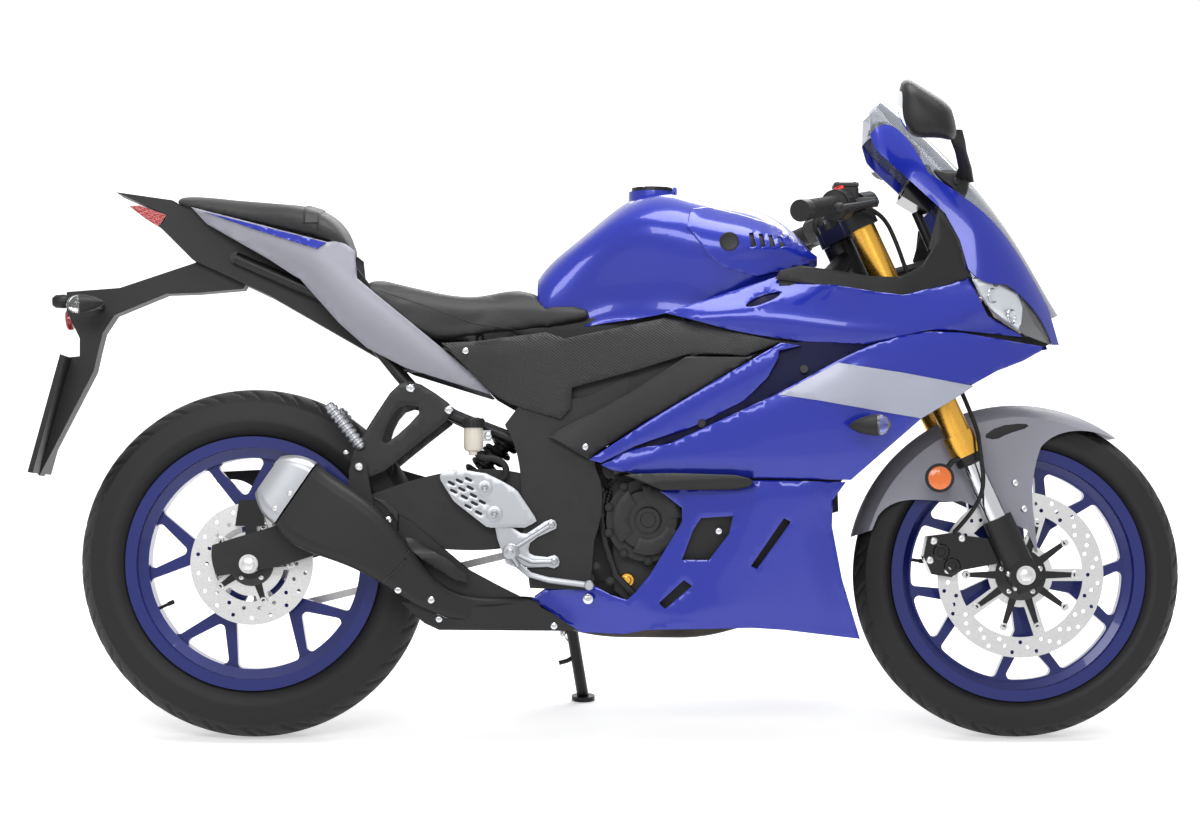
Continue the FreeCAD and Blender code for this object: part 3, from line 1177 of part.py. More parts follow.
PLATE_HOLDER_PX = [
    [(197, 264)], [(122, 289)], [(69, 293)], [(69, 312)], [(82, 339)], [(82, 357)], [(71.5, 358)], [(39.5, 473.5)],
    [(42, 476)], [(96, 372)], [(100, 354)], [(105, 334)], [(117, 316)], [(168, 295)], [(199, 294)],
    [(245, 290)], [(250, 280)], [(205, 258)],
]
HOLDER_HALF_WIDTH = 26.0
PLATE_PX = [[(69, 357)], [(74, 359)], [(42, 474)], [(37, 473)]]
PLATE_HALF_WIDTH = 95.0
REAR_INDICATOR_PX = ((100.0, 303.0), (78.0, 304.0))
INDICATOR_STALK = 8.0
INDICATOR_TIP = 110.0
INDICATOR_SIZE = 17.0
INDICATOR_LENS_SHARE = 0.65


def build_plate_holder():
    holder = prism(PLATE_HOLDER_PX, HOLDER_HALF_WIDTH)
    plate = prism(PLATE_PX, PLATE_HALF_WIDTH)
    add("chassis", "plate_holder", fused([holder, plate]).cut(nodes["tail_core"]))


def rear_indicator():
    foot = at(REAR_INDICATOR_PX[0], HOLDER_HALF_WIDTH + SEAT_GAP)
    tip = at(REAR_INDICATOR_PX[0], INDICATOR_TIP)
    end = at(REAR_INDICATOR_PX[1], INDICATOR_TIP + INDICATOR_SIZE)
    stalk = rod(foot, Vector(foot.x, tip.y, foot.z), INDICATOR_STALK, INDICATOR_SIZE)
    return fused([stalk, rod(tip, end, INDICATOR_SIZE, INDICATOR_SIZE * INDICATOR_LENS_SHARE)])


SUBFRAME_RADIUS = 11.0
RAIL_SIDE = 80.0
STRUT_SIDE = 96.0
RAIL_PX = [(560, 408), (500, 362), (420, 345), (340, 303), (236, 258)]
STRUT_PX = [(548, 452), (449, 414), (410, 388), (352, 316)]
RAIL_DEPTHS_SHARE = (1.3, 1.1, 1.0, 0.95, 0.72)
STRUT_DEPTHS_SHARE = (1.08, 1.0, 0.96, 0.8)


def subframe_tubes(radius):
    """The two rails, their struts and the cross bars, as tubes of one radius."""
    rails = []
    for pixels, shares, side in ((RAIL_PX, RAIL_DEPTHS_SHARE, RAIL_SIDE),
                                 (STRUT_PX, STRUT_DEPTHS_SHARE, STRUT_SIDE)):
        points = [at(pixel, share * side) for pixel, share in zip(pixels, shares)]
        rails.append(bent_tube(points, radius))
    right_side = fused(rails)
    bars = [right_side, mirrored(right_side)]
    for index in (2, 3, 4):
        end = at(RAIL_PX[index], RAIL_DEPTHS_SHARE[index] * RAIL_SIDE)
        bars.append(rod(end, Vector(end.x, -end.y, end.z), radius))
    return fused(bars)


TAIL_POSTS_PX = ((330.0, 300.0), (400.0, 340.0))
SEAT_POSTS_PX = ((400.0, 336.0), (480.0, 357.0))
POST_RADIUS = 7.0


def build_subframe():
    tubes = [subframe_tubes(SUBFRAME_RADIUS)]
    inside = tail_skin()
    inside.translate(SIDEWAYS * (PANEL + SEAT_GAP))
    inside = inside.extrude(SIDEWAYS * TAIL_HALF_WIDTH)
    for pixel in TAIL_POSTS_PX:
        post = rod(at(pixel, RAIL_SIDE), at(pixel, 2 * TAIL_HALF_WIDTH), POST_RADIUS).common(inside)
        tubes += [post, mirrored(post)]
    room = seat_body(RIDER_SEAT_PX_SHARES, SEAT_GAP)
    for pixel in SEAT_POSTS_PX:
        foot = at(pixel, RAIL_SIDE)
        post = rod(foot, foot + Vector(0, 0, OVERRUN), POST_RADIUS).cut(room)
        post = [solid for solid in post.Solids if solid.BoundBox.ZMin < foot.z + POST_RADIUS][0]
        tubes += [post, mirrored(post)]
    add("chassis", "subframe", Part.makeCompound([fused(tubes), fairing_stay()]))


# Side covers, fairings, nose

FAIRING_HALF_WIDTH = 215.0
FAIRING_COLUMNS_PX = (430, 500, 560, 620, 680, 740, 800, 860, 920, 980, 1030, 1075)
FAIRING_ROWS_PX = (250, 300, 340, 380, 420, 460, 500, 550, 600, 650)
FAIRING_SHARES = (
    (0.56, 0.56, 0.57, 0.60, 0.66, 0.72, 0.77, 0.78, 0.75, 0.70, 0.60, 0.46),
    (0.60, 0.60, 0.61, 0.66, 0.74, 0.82, 0.87, 0.87, 0.83, 0.76, 0.58, 0.36),
    (0.66, 0.68, 0.70, 0.76, 0.83, 0.91, 0.96, 0.96, 0.91, 0.81, 0.60, 0.32),
    (0.67, 0.70, 0.72, 0.78, 0.86, 0.95, 1.00, 1.00, 0.94, 0.83, 0.64, 0.40),
    (0.68, 0.71, 0.73, 0.79, 0.87, 0.95, 0.99, 0.99, 0.94, 0.84, 0.68, 0.48),
    (0.68, 0.71, 0.74, 0.80, 0.86, 0.92, 0.95, 0.95, 0.91, 0.83, 0.70, 0.54),
    (0.68, 0.71, 0.74, 0.79, 0.84, 0.88, 0.90, 0.90, 0.87, 0.81, 0.70, 0.56),
    (0.67, 0.70, 0.73, 0.77, 0.80, 0.83, 0.84, 0.84, 0.81, 0.76, 0.67, 0.55),
    (0.65, 0.68, 0.70, 0.73, 0.76, 0.78, 0.78, 0.77, 0.75, 0.70, 0.62, 0.52),
    (0.62, 0.64, 0.66, 0.68, 0.70, 0.72, 0.72, 0.71, 0.69, 0.65, 0.57, 0.48),
)
SIDE_COVER_PX = [
    [(441, 343)], [(470, 340), (545, 332)], [(565, 340), (590, 338), (664, 320)], [(781, 342)], [(649, 419)],
    [(600, 448)], [(586, 420)], [(560, 400)], [(500, 400)],
]
UPPER_FAIRING_PX = [
    [(668, 315)], [(779, 279), (830, 285), (880, 292), (903, 295)], [(968, 277)], [(988, 316)],
    [(1023, 337)], [(988, 332), (954, 330), (930, 331)], [(894, 340), (867, 346)],
    [(805, 342), (760, 336), (729, 330)],
]
MAIN_FAIRING_PX = [
    [(600, 451)], [(762, 350)], [(805, 345)], [(867, 348)], [(931, 333)], [(961, 334)], [(1043, 346)],
    [(1041, 351)], [(1023, 361), (997, 371), (972, 385), (952, 400)], [(921, 419)], [(851, 480)],
    [(700, 487)], [(638, 488)], [(620, 478)],
]
LOWER_FAIRING_PX = [
    [(850, 483)], [(836, 496)], [(831, 511), (833, 540), (842, 579), (860, 639)],
    [(784, 630), (752, 628), (646, 630)], [(625, 634)], [(580, 632)], [(532, 599)], [(546, 589)],
    [(590, 587)], [(600, 590), (611, 595), (627, 600)], [(635, 593), (650, 575)], [(680, 525)],
    [(684, 516), (682, 508)], [(658, 491)],
]
VENT_PX = [[(701, 518)], [(733, 516)], [(729, 534)], [(709, 560)], [(682, 560)], [(693, 530)]]
STAND_CLEAR_PX = [[(500, 560)], [(636, 560)], [(646, 660)], [(500, 660)]]
INNER_PANEL_PX = [
    [(778, 275)], [(789, 268), (835, 280), (880, 291)], [(898, 293)], [(927, 286)], [(925, 261)],
    [(939, 206)],
    [(959, 242)], [(969, 268)], [(966, 284)], [(903, 301), (880, 299), (835, 292), (779, 285)],
]
LAYER_STEP = 7.0


def fairing_skin():
    return skin(FAIRING_COLUMNS_PX, FAIRING_ROWS_PX, FAIRING_SHARES, FAIRING_HALF_WIDTH)


def panel_of(outline, layer, thickness=PANEL):
    """A fairing panel on the right side, set in by a number of layer steps."""
    sheet = sheet_of(fairing_skin(), layer * LAYER_STEP, thickness)
    return sheet.common(sight(outline, 0, 2 * FAIRING_HALF_WIDTH))


def build_fairings():
    gap_tank = tank_body(SEAT_GAP)
    covers = panel_of(SIDE_COVER_PX, 2).cut(gap_tank)
    add("chassis", "side_covers", both(covers))
    upper = panel_of(UPPER_FAIRING_PX, 0).cut(gap_tank)
    add("chassis", "upper_fairing", both(upper))
    main_side = panel_of(MAIN_FAIRING_PX, 0)
    add("chassis", "side_fairing", both(main_side))
    lower = panel_of(LOWER_FAIRING_PX, 1).cut(sight(VENT_PX, 0, 2 * FAIRING_HALF_WIDTH))
    stand_room = mirrored(sight(STAND_CLEAR_PX, 0, 2 * FAIRING_HALF_WIDTH))
    add("chassis", "lower_fairing", Part.makeCompound([lower, mirrored(lower).cut(stand_room)]))


NOSE_HALF_WIDTH = 160.0
NOSE_PX_SHARES = (
    (866, ((92, 0), (100, 0.32), (126, 0.50), (150, 0.55), (190, 0.58))),
    (900, ((114, 0), (120, 0.36), (150, 0.60), (176, 0.66), (230, 0.72))),
    (930, ((141, 0), (146, 0.40), (173, 0.72), (202, 0.80), (260, 0.90))),
    (968, ((180, 0), (184, 0.42), (202, 0.80), (240, 0.95), (300, 1.0))),
    (997, ((217, 0), (220, 0.38), (232, 0.70), (268, 0.88), (325, 0.94))),
    (1023, ((257, 0), (260, 0.32), (268, 0.55), (296, 0.72), (343, 0.80))),
    (1048, ((299, 0), (302, 0.23), (308, 0.38), (326, 0.48), (352, 0.54))),
    (1066, ((325, 0), (327, 0.14), (331, 0.24), (342, 0.30), (356, 0.34))),
)
COWL_PX = [
    [(870, 135)], [(873, 131), (928, 172)], [(968, 200)], [(997, 226), (1023, 262), (1048, 307)],
    [(1059, 345)], [(1052, 345)], [(1033, 309), (1021, 296), (1006, 284)], [(972, 273), (968, 268)],
    [(960, 240)], [(945, 213)], [(916, 186), (896, 168), (876, 150)],
]
SCREEN_PX = [
    [(867, 131)], [(862, 118)], [(894, 92)], [(1000, 180)], [(1075, 312)], [(1049, 318)],
    [(1019, 272)], [(990, 236)], [(960, 208)], [(924, 182)],
]
HEADLAMP_PX = [
    [(970, 272)], [(976, 268)], [(1000, 276)], [(1033, 303)], [(1056, 342)], [(1053, 346)],
    [(1025, 335)], [(993, 316.5)], [(978, 292)],
]
DUCT_PX = [[(925, 262)], [(939, 206)], [(962, 243)], [(966, 268)], [(962, 284)], [(927, 289)]]
INSTRUMENT_PX = [[(899, 200)], [(909, 179)], [(936, 197)], [(925, 216)]]
INSTRUMENT_HALF_WIDTH = 60.0
STAY_PX = ((856.0, 283.0), (938.0, 262.0), (916.0, 212.0), (985.0, 290.0))
STAY_RADIUS = 9.0
STAY_BAR_RADIUS = 6.0
COWL_TUCK = PANEL + SEAT_GAP


def nose_body(set_in=0.0, skirt=0.0):
    return hull_loft(NOSE_PX_SHARES, NOSE_HALF_WIDTH, -set_in, skirt)


def nose_shell(outline, set_in, thickness):
    """A piece of the nose's skin, set in and cut to an outline seen from the right."""
    shell = nose_body(set_in).cut(nose_body(set_in + thickness, 2 * OVERRUN))
    half = shell.common(sight(outline, 0, 2 * NOSE_HALF_WIDTH))
    return symmetric(half)


def build_nose():
    add("chassis", "nose_cowl", nose_shell(COWL_PX, 0, PANEL))
    add("chassis", "windscreen", nose_shell(SCREEN_PX, COWL_TUCK, PANEL))
    add("chassis", "headlamps", nose_shell(HEADLAMP_PX, COWL_TUCK, PANEL))
    duct = nose_shell(DUCT_PX, COWL_TUCK, PANEL).cut(nodes["headlamps"])
    strips = both(panel_of(INNER_PANEL_PX, 1).cut(nose_body(COWL_TUCK + PANEL / 2, 2 * OVERRUN)))
    cowl_room = nose_shell(COWL_PX, -SEAT_GAP, PANEL + 2 * SEAT_GAP)
    upper_room = panel_of(UPPER_FAIRING_PX, 0, PANEL + 2 * SEAT_GAP)
    upper_room.translate(SIDEWAYS * -SEAT_GAP)
    inner = fused([strips, duct]).cut(cowl_room).cut(both(upper_room))
    add("chassis", "inner_fairing", inner)
    add("chassis", "instrument_panel", prism(INSTRUMENT_PX, INSTRUMENT_HALF_WIDTH))


def fairing_stay():
    """The bracket from the head tube that carries the instruments, cowl and headlamps."""
    head, fork, top, front = [at(pixel) for pixel in STAY_PX]
    reach = 2 * NOSE_HALF_WIDTH
    inside = nose_body(COWL_TUCK + PANEL + SEAT_GAP, 2 * OVERRUN)
    bars = []
    for point in (fork, front):
        bar = rod(Vector(point.x, -reach, point.z), Vector(point.x, reach, point.z), STAY_BAR_RADIUS)
        bars.append(bar.common(inside))
    posts = [rod(head, fork, STAY_RADIUS), rod(fork, top, STAY_RADIUS), rod(fork, front, STAY_RADIUS)]
    knot = Part.makeSphere(STAY_RADIUS, fork)
    room = prism(INSTRUMENT_PX, INSTRUMENT_HALF_WIDTH)
    ring = rod(steer_point(LOW_YOKE_LEVEL), steer_point(TOP_YOKE_LEVEL), HEAD_TUBE_RADIUS + SEAT_GAP)
    return fused(posts + bars + [knot]).cut(room).cut(ring)


MIRROR_INNER = 225.0
MIRROR_DEPTH_SHARES = (1.0, 1.06, 1.45, 1.58)
MIRROR_SIZE_SHARES = (0.66, 0.98, 0.96, 0.62)
MIRROR_PX = (
    (903, 77), (925, 89), (950, 105), (955, 120), (956, 134), (952, 141), (934, 138), (914, 138),
    (904, 127), (898, 114), (898, 96),
)
MIRROR_STALK_PX = ((966.0, 180.0), (953.0, 134.0))
MIRROR_FOOT = 118.0
MIRROR_STALK_RADIUS = 8.0
MIRROR_EDGE = 10.0
MIRROR_BASE_PX = [[(938, 174)], [(953, 171)], [(970, 175)], [(967, 200)], [(958, 206)]]
MIRROR_BASE_INNER = 84.0


def mirror_head():
    """A rounded housing: the outline swells from its inner end and narrows to its tip."""
    middle = (sum(p[0] for p in MIRROR_PX) / len(MIRROR_PX), sum(p[1] for p in MIRROR_PX) / len(MIRROR_PX))
    wires = []
    for out, size in zip(MIRROR_DEPTH_SHARES, MIRROR_SIZE_SHARES):
        points = []
        for pixel in MIRROR_PX:
            column = middle[0] + (pixel[0] - middle[0]) * size
            row = middle[1] + (pixel[1] - middle[1]) * size
            points.append(at((column, row), out * MIRROR_INNER))
        ring = Part.BSplineCurve()
        ring.interpolate(points, PeriodicFlag=True)
        wires.append(Part.Wire([ring.toShape()]))
    return Part.makeLoft(wires, True, False)


def build_mirrors():
    stalk = rod(at(MIRROR_STALK_PX[0], MIRROR_FOOT), at(MIRROR_STALK_PX[1], MIRROR_INNER + MIRROR_EDGE),
                MIRROR_STALK_RADIUS)
    base = sight(MIRROR_BASE_PX, MIRROR_BASE_INNER, MIRROR_FOOT + MIRROR_STALK_RADIUS)
    mirror = fused([mirror_head(), stalk, base]).cut(nose_body(-SEAT_GAP))
    add("chassis", "mirrors", both(largest(mirror)))


INDICATOR_PX = ((862.0, 425.0), (892.0, 425.5))
FRONT_INDICATOR_OUT = 40.0


def front_indicator():
    tip_side = FAIRING_HALF_WIDTH + FRONT_INDICATOR_OUT
    tip = at(INDICATOR_PX[0], tip_side)
    end = at(INDICATOR_PX[1], tip_side + INDICATOR_SIZE)
    base = rod(at(INDICATOR_PX[0], FAIRING_HALF_WIDTH - PANEL), tip, INDICATOR_STALK, INDICATOR_SIZE)
    lens = rod(tip, end, INDICATOR_SIZE, INDICATOR_SIZE * INDICATOR_LENS_SHARE)
    outside = fairing_skin()
    outside.translate(SIDEWAYS * -SEAT_GAP)
    return fused([base, lens]).cut(outside.extrude(SIDEWAYS * FAIRING_HALF_WIDTH))


def build_indicators():
    pair = [front_indicator(), rear_indicator()]
    add("chassis", "indicators", Part.makeCompound(pair + [mirrored(piece) for piece in pair]))


# Foot controls, pegs and stand

BRACKET_INNER = PLATE_INNER + PLATE_THICKNESS
BRACKET_THICKNESS = 8.0
HEEL_GUARD_PX = [
    [(441, 473)], [(448, 470)], [(486, 474)], [(518, 493)], [(536, 521)], [(526, 528)], [(489, 528)],
    [(462, 508)], [(441, 482)],
]
PEG_BRACKET_PX = [
    [(496, 524)], [(501, 549), (508, 558), (520, 562)], [(553, 562)], [(560, 540)], [(540, 520)],
    [(500, 515)],
]
GUARD_POST_PX = [[(505, 515)], [(530, 515)], [(530, 526)], [(505, 526)]]
PEG_PX = (511.0, 552.0)
PEG_RADIUS = 12.0
PEG_LENGTH = 95.0
PEDAL_PX = [(520, 560), (530, 577), (590, 585)]
GEAR_LEVER_PX = [(520, 556), (534, 560), (590, 566)]
PEDAL_SIDE = 158.0
PEDAL_RADIUS = 6.0
PEDAL_PAD = 34.0
PILLION_HANGER_PX = [
    [(443, 398)], [(458, 412)], [(376, 478)], [(352, 474)], [(350, 456)], [(396, 384)], [(414, 380)],
]
PILLION_HANGER_INNER = STRUT_SIDE + SUBFRAME_RADIUS + SEAT_GAP
MUFFLER_BOLT_PX = (362.0, 470.0)
PILLION_PEG_PX = ((328.0, 404.0), (362.0, 448.0))


def build_rests():
    outer = BRACKET_INNER + BRACKET_THICKNESS
    guard = sight(HEEL_GUARD_PX, outer, outer + PANEL)
    plate = sight(PEG_BRACKET_PX, BRACKET_INNER, BRACKET_INNER + BRACKET_THICKNESS)
    guard_post = sight(GUARD_POST_PX, BRACKET_INNER, BRACKET_INNER + BRACKET_THICKNESS)
    peg = rod(at(PEG_PX, BRACKET_INNER), at(PEG_PX, BRACKET_INNER + PEG_LENGTH), PEG_RADIUS)
    rest = fused([guard, plate, guard_post, peg])
    hanger = sight(PILLION_HANGER_PX, PILLION_HANGER_INNER, PILLION_HANGER_INNER + BRACKET_THICKNESS)
    side = PILLION_HANGER_INNER + BRACKET_THICKNESS + PEG_RADIUS / 2
    pillion_peg = rod(at(PILLION_PEG_PX[0], side), at(PILLION_PEG_PX[1], side), PEG_RADIUS)
    left = mirrored(fused([hanger, pillion_peg]))
    right = fused([hanger, pillion_peg, muffler_bolt()])
    add("chassis", "foot_rests", Part.makeCompound([rest, mirrored(rest), right, left]))
    levers = [foot_lever(PEDAL_PX), mirrored(foot_lever(GEAR_LEVER_PX))]
    add("chassis", "foot_levers", Part.makeCompound(levers))


def foot_lever(pixels):
    """A bent bar from its pivot on the peg bracket, along the bike, with its pad turned outwards."""
    points = [at(pixels[0], BRACKET_INNER + BRACKET_THICKNESS + SEAT_GAP)]
    points += [at(pixel, PEDAL_SIDE) for pixel in pixels]
    points.append(at(pixels[-1], PEDAL_SIDE + PEDAL_PAD))
    return bent_tube(points, PEDAL_RADIUS)


REAR_CUP_PX = ((473.5, 418.5), (473.5, 428.0), (473.5, 451.0))
REAR_CUP_SIDE = 138.0
REAR_CUP_RADIUS = 18.0
REAR_CUP_CAP = 20.0
REAR_CUP_EAR_PX = [[(476, 430)], [(491, 430)], [(491, 441)], [(476, 441)]]
REAR_CUP_BOLT_PX = (487.0, 435.0)
REAR_HOSE_PX = [(474, 438), (474, 458), (498, 458), (508, 469), (502, 481), (489, 488)]
REAR_HOSE_RADIUS = 6.0
REAR_CYLINDER_PX = ((489.0, 482.0), (489.0, 518.0))
REAR_CYLINDER_RADIUS = 8.0


def build_rear_brake_line():
    """The rear brake's fluid cup on the subframe, its hose, and the pump behind the heel guard."""
    top, rim, foot = [at(pixel, REAR_CUP_SIDE) for pixel in REAR_CUP_PX]
    cup = fused([rod(rim, foot, REAR_CUP_RADIUS), rod(top, rim, REAR_CUP_CAP)])
    ear = slab(REAR_CUP_EAR_PX, REAR_CUP_SIDE, REAR_CUP_SIDE - PANEL, REAR_CUP_SIDE + PANEL)
    spacer = rod(at(REAR_CUP_BOLT_PX, STRUT_SIDE), at(REAR_CUP_BOLT_PX, REAR_CUP_SIDE), POST_RADIUS)
    spacer = largest(spacer.cut(subframe_tubes(SUBFRAME_RADIUS + SEAT_GAP)))
    pump_side = BRACKET_INNER + BRACKET_THICKNESS - SEAT_GAP - REAR_CYLINDER_RADIUS
    pump = rod(at(REAR_CYLINDER_PX[0], pump_side), at(REAR_CYLINDER_PX[1], pump_side), REAR_CYLINDER_RADIUS)
    depths = [REAR_CUP_SIDE] * (len(REAR_HOSE_PX) - 2) + [pump_side] * 2
    points = [at(pixel, depth) for pixel, depth in zip(REAR_HOSE_PX, depths)]
    hose = bent_tube(points, REAR_HOSE_RADIUS, HOSE_BEND_SHARE)
    add("chassis", "rear_brake_line", fused([cup, ear, spacer, hose, pump]))


STAND_PIVOT_PX = (565.0, 590.0)
STAND_FOOT_RADIUS = 22.0
STAND_FOOT_THICKNESS = 9.0
STAND_LEG_RADIUS = 11.0
STAND_SPLAY = 31.0
STAND_FORWARD = 9.0
STAND_FOLD = 95.0
STAND_PIN_RADIUS = 6.0
STAND_PIN_HEAD = 10.0
STAND_KNUCKLE_RADIUS = 17.0
STAND_KNUCKLE_HALF = 8.0


def stand_frame():
    """The stand's pivot point and its leg's direction when down."""
    x, z = spot(STAND_PIVOT_PX, -PLATE_INNER)
    reach = STAND_KNUCKLE_RADIUS + STAND_KNUCKLE_HALF
    pivot = Vector(x, PLATE_INNER + PLATE_THICKNESS + reach, z)
    splay = math.radians(STAND_SPLAY)
    ahead = math.radians(STAND_FORWARD)
    leg = Vector(math.sin(ahead) * math.cos(splay), math.sin(splay), -math.cos(ahead) * math.cos(splay))
    return pivot, leg


def stand_axis():
    """The pivot bolt's direction: as near to sideways as it can be square to the leg."""
    leg = stand_frame()[1]
    return (SIDEWAYS - leg * leg.dot(SIDEWAYS)).normalize()


def stand_boss():
    """The lug, bolt and bolt head on the left frame plate that carry the stand."""
    pivot = stand_frame()[0]
    axis = stand_axis()
    seat = STAND_KNUCKLE_HALF + SEAT_GAP
    depth = (STAND_KNUCKLE_RADIUS + STAND_KNUCKLE_HALF + PLATE_THICKNESS / 2) / axis.y
    boss = rod(pivot - axis * depth, pivot - axis * seat, STAND_KNUCKLE_RADIUS)
    bolt = rod(pivot - axis * depth, pivot + axis * seat, STAND_PIN_RADIUS)
    head = rod(pivot + axis * seat, pivot + axis * (seat + STAND_PIN_RADIUS), STAND_PIN_HEAD)
    inner_side = Part.makeBox(4 * OVERRUN, 2 * OVERRUN, 4 * OVERRUN,
                              pivot + Vector(-2 * OVERRUN, PLATE_INNER - 2 * OVERRUN - pivot.y, -2 * OVERRUN))
    return fused([boss, bolt, head]).cut(inner_side)


def stand_knuckle_room():
    """Room for the knuckle and leg where they pass the frame plate."""
    pivot = stand_frame()[0]
    axis = stand_axis()
    half = STAND_KNUCKLE_HALF + SEAT_GAP
    ring = rod(pivot - axis * half, pivot + axis * half, STAND_KNUCKLE_RADIUS + 2 * SEAT_GAP)
    return ring.cut(rod(pivot - axis * (2 * half), pivot + axis * (2 * half), STAND_PIN_RADIUS))


def build_stand():
    pivot, leg = stand_frame()
    axis = stand_axis()
    rise = math.tan(math.radians(LEAN))
    reach = (pivot.z - rise * pivot.y) / (-leg.z + rise * leg.y)
    foot = pivot + leg * reach
    normal = Vector(0, -math.sin(math.radians(LEAN)), math.cos(math.radians(LEAN)))
    pad = rod(foot, foot + normal * STAND_FOOT_THICKNESS, STAND_FOOT_RADIUS)
    shin = rod(pivot, foot + normal * (STAND_FOOT_THICKNESS / 2), STAND_LEG_RADIUS)
    half = STAND_KNUCKLE_HALF
    shin = shin.common(rod(pivot - axis * half, pivot + axis * half, 4 * reach))
    knuckle = rod(pivot - axis * half, pivot + axis * half, STAND_KNUCKLE_RADIUS)
    bore = rod(pivot - axis * (2 * half), pivot + axis * (2 * half), STAND_PIN_RADIUS + AXLE_CLEARANCE)
    add("stand", "side_stand", fused([pad, shin, knuckle]).cut(bore))


# Front mudguard, calipers, shock

FENDER_CREST = 303.0
FENDER_SHOULDER_RADIUS = 283.0
FENDER_SHOULDER = 62.0
FENDER_FOOT_RADIUS = 50.0
FENDER_FOOT = 74.0
FENDER_SKIN = 3.7
FENDER_PX = [
    [(848, 538)], [(864, 496), (883, 462), (912, 431)], [(962, 409), (996, 404), (1029, 403)],
    [(1069, 410), (1097, 423), (1118, 438)], [(1114, 439)], [(1074, 431), (1055, 436), (1041, 447)],
    [(1035, 468), (1034, 518)], [(1038, 556)], [(1027, 530)], [(962, 501)],
    [(928, 500), (895, 503), (878, 516)], [(872, 530)],
]


def fender_ring(grow):
    """A ring about the front axle whose section is the mudguard's arch, filled down to its feet."""
    crest = FENDER_CREST + grow
    shoulder = FENDER_SHOULDER + grow
    foot = FENDER_FOOT + grow
    top = Part.Arc(Vector(FENDER_SHOULDER_RADIUS, shoulder, 0), Vector(crest, 0, 0),
                   Vector(FENDER_SHOULDER_RADIUS, -shoulder, 0)).toShape()
    points = [Vector(FENDER_SHOULDER_RADIUS, -shoulder, 0), Vector(FENDER_FOOT_RADIUS, -foot, 0),
              Vector(FENDER_FOOT_RADIUS, foot, 0), Vector(FENDER_SHOULDER_RADIUS, shoulder, 0)]
    sides = Part.makePolygon(points)
    ring = Part.Face(Part.Wire([top] + sides.Edges)).revolve(Vector(0, 0, 0), SIDEWAYS, 360)
    ring.translate(FRONT_AXLE)
    return ring


def build_fender():
    shell = fender_ring(FENDER_SKIN).cut(fender_ring(0))
    half = shell.common(sight(FENDER_PX, 0, 2 * FENDER_FOOT))
    add("steering", "front_mudguard", symmetric(half))


CALIPER_SHARES = (
    (-1.136, 0.468), (-0.75, 0.516), (-0.617, 0.359), (-0.641, 0.106), (-0.846, -0.027),
    (-1.088, 0.009), (-1.184, 0.226),
)
CALIPER_SIDE = 24.0
CALIPER_LUG_SHARES = ((-0.846, 0.492), (-0.244, 0.419), (-0.195, 0.154), (-0.846, 0.034))
DISC_ROOM = 5.5


def axle_slab(axle, radius, shares, inner, outer):
    """A block whose side outline is in shares of the disc's radius about the axle."""
    points = [axle + Vector(x * radius, -inner, z * radius) for x, z in shares]
    face = Part.Face(Part.makePolygon(points + points[:1]))
    return face.extrude(SIDEWAYS * (inner - outer))


def build_calipers():
    low = -FRONT_DISC_Y - CALIPER_SIDE
    high = -FRONT_DISC_Y + CALIPER_SIDE
    body = axle_slab(FRONT_AXLE, FRONT_DISC_RADIUS, CALIPER_SHARES, low, high)
    lug_inner = FORK_SPAN / 2 - FOOT_RADIUS
    lug = axle_slab(FRONT_AXLE, FRONT_DISC_RADIUS, CALIPER_LUG_SHARES, lug_inner, high)
    room = wheel_disc(FRONT_AXLE, FRONT_DISC_RADIUS + DISC_ROOM,
                      FRONT_DISC_Y - DISC_THICKNESS / 2 - DISC_ROOM,
                      FRONT_DISC_Y + DISC_THICKNESS / 2 + DISC_ROOM)
    leg = rod(fork_point(-1, FOOT_BOTTOM - OVERRUN), fork_point(-1, FOOT_TOP + OVERRUN),
              FOOT_RADIUS + SEAT_GAP)
    boss = wheel_disc(fork_point(-1, 0), FOOT_RADIUS + SEAT_GAP, -OVERRUN, OVERRUN)
    add("steering", "front_caliper", fused([body, lug]).cut(room).cut(leg).cut(boss))


REAR_CALIPER_SHARES = ((-0.192, 1.039), (0.167, 1.039), (0.232, 0.615), (-0.257, 0.615))
REAR_CALIPER_SIDE = 14.0
REAR_CALIPER_ARM_SHARE = 0.876
CALIPER_RING = 10.0


def build_rear_caliper():
    body = axle_slab(REAR_AXLE, REAR_DISC_RADIUS, REAR_CALIPER_SHARES,
                     -REAR_DISC_Y - REAR_CALIPER_SIDE, RIGHT_ARM_INNER - SEAT_GAP)
    room = wheel_disc(REAR_AXLE, REAR_DISC_RADIUS + DISC_ROOM,
                      REAR_DISC_Y - DISC_THICKNESS / 2 - DISC_ROOM,
                      REAR_DISC_Y + DISC_THICKNESS / 2 + DISC_ROOM)
    plate_low = -RIGHT_ARM_INNER + SEAT_GAP
    plate_high = REAR_DISC_Y - DISC_THICKNESS / 2 - DISC_ROOM
    ring = wheel_disc(REAR_AXLE, AXLE_HEAD_RADIUS + CALIPER_RING, plate_low, plate_high)
    arm = Part.makeBox(2 * CALIPER_RING, plate_high - plate_low, REAR_CALIPER_ARM_SHARE * REAR_DISC_RADIUS,
                       Vector(REAR_AXLE.x - CALIPER_RING, plate_low, REAR_AXLE.z))
    bore = wheel_disc(REAR_AXLE, AXLE_HEAD_RADIUS + SEAT_GAP, -2 * RIGHT_ARM_INNER, 0)
    add("chassis", "rear_caliper", fused([body.cut(room), ring, arm]).cut(bore))


SHOCK_PX = ((537.0, 411.0), (521.0, 428.0), (474.5, 476.0), (466.0, 485.0))
SHOCK_RADIUS = 16.0
SPRING_RADIUS = 26.0
SPRING_WIRE = 5.5
SPRING_TURNS = 6


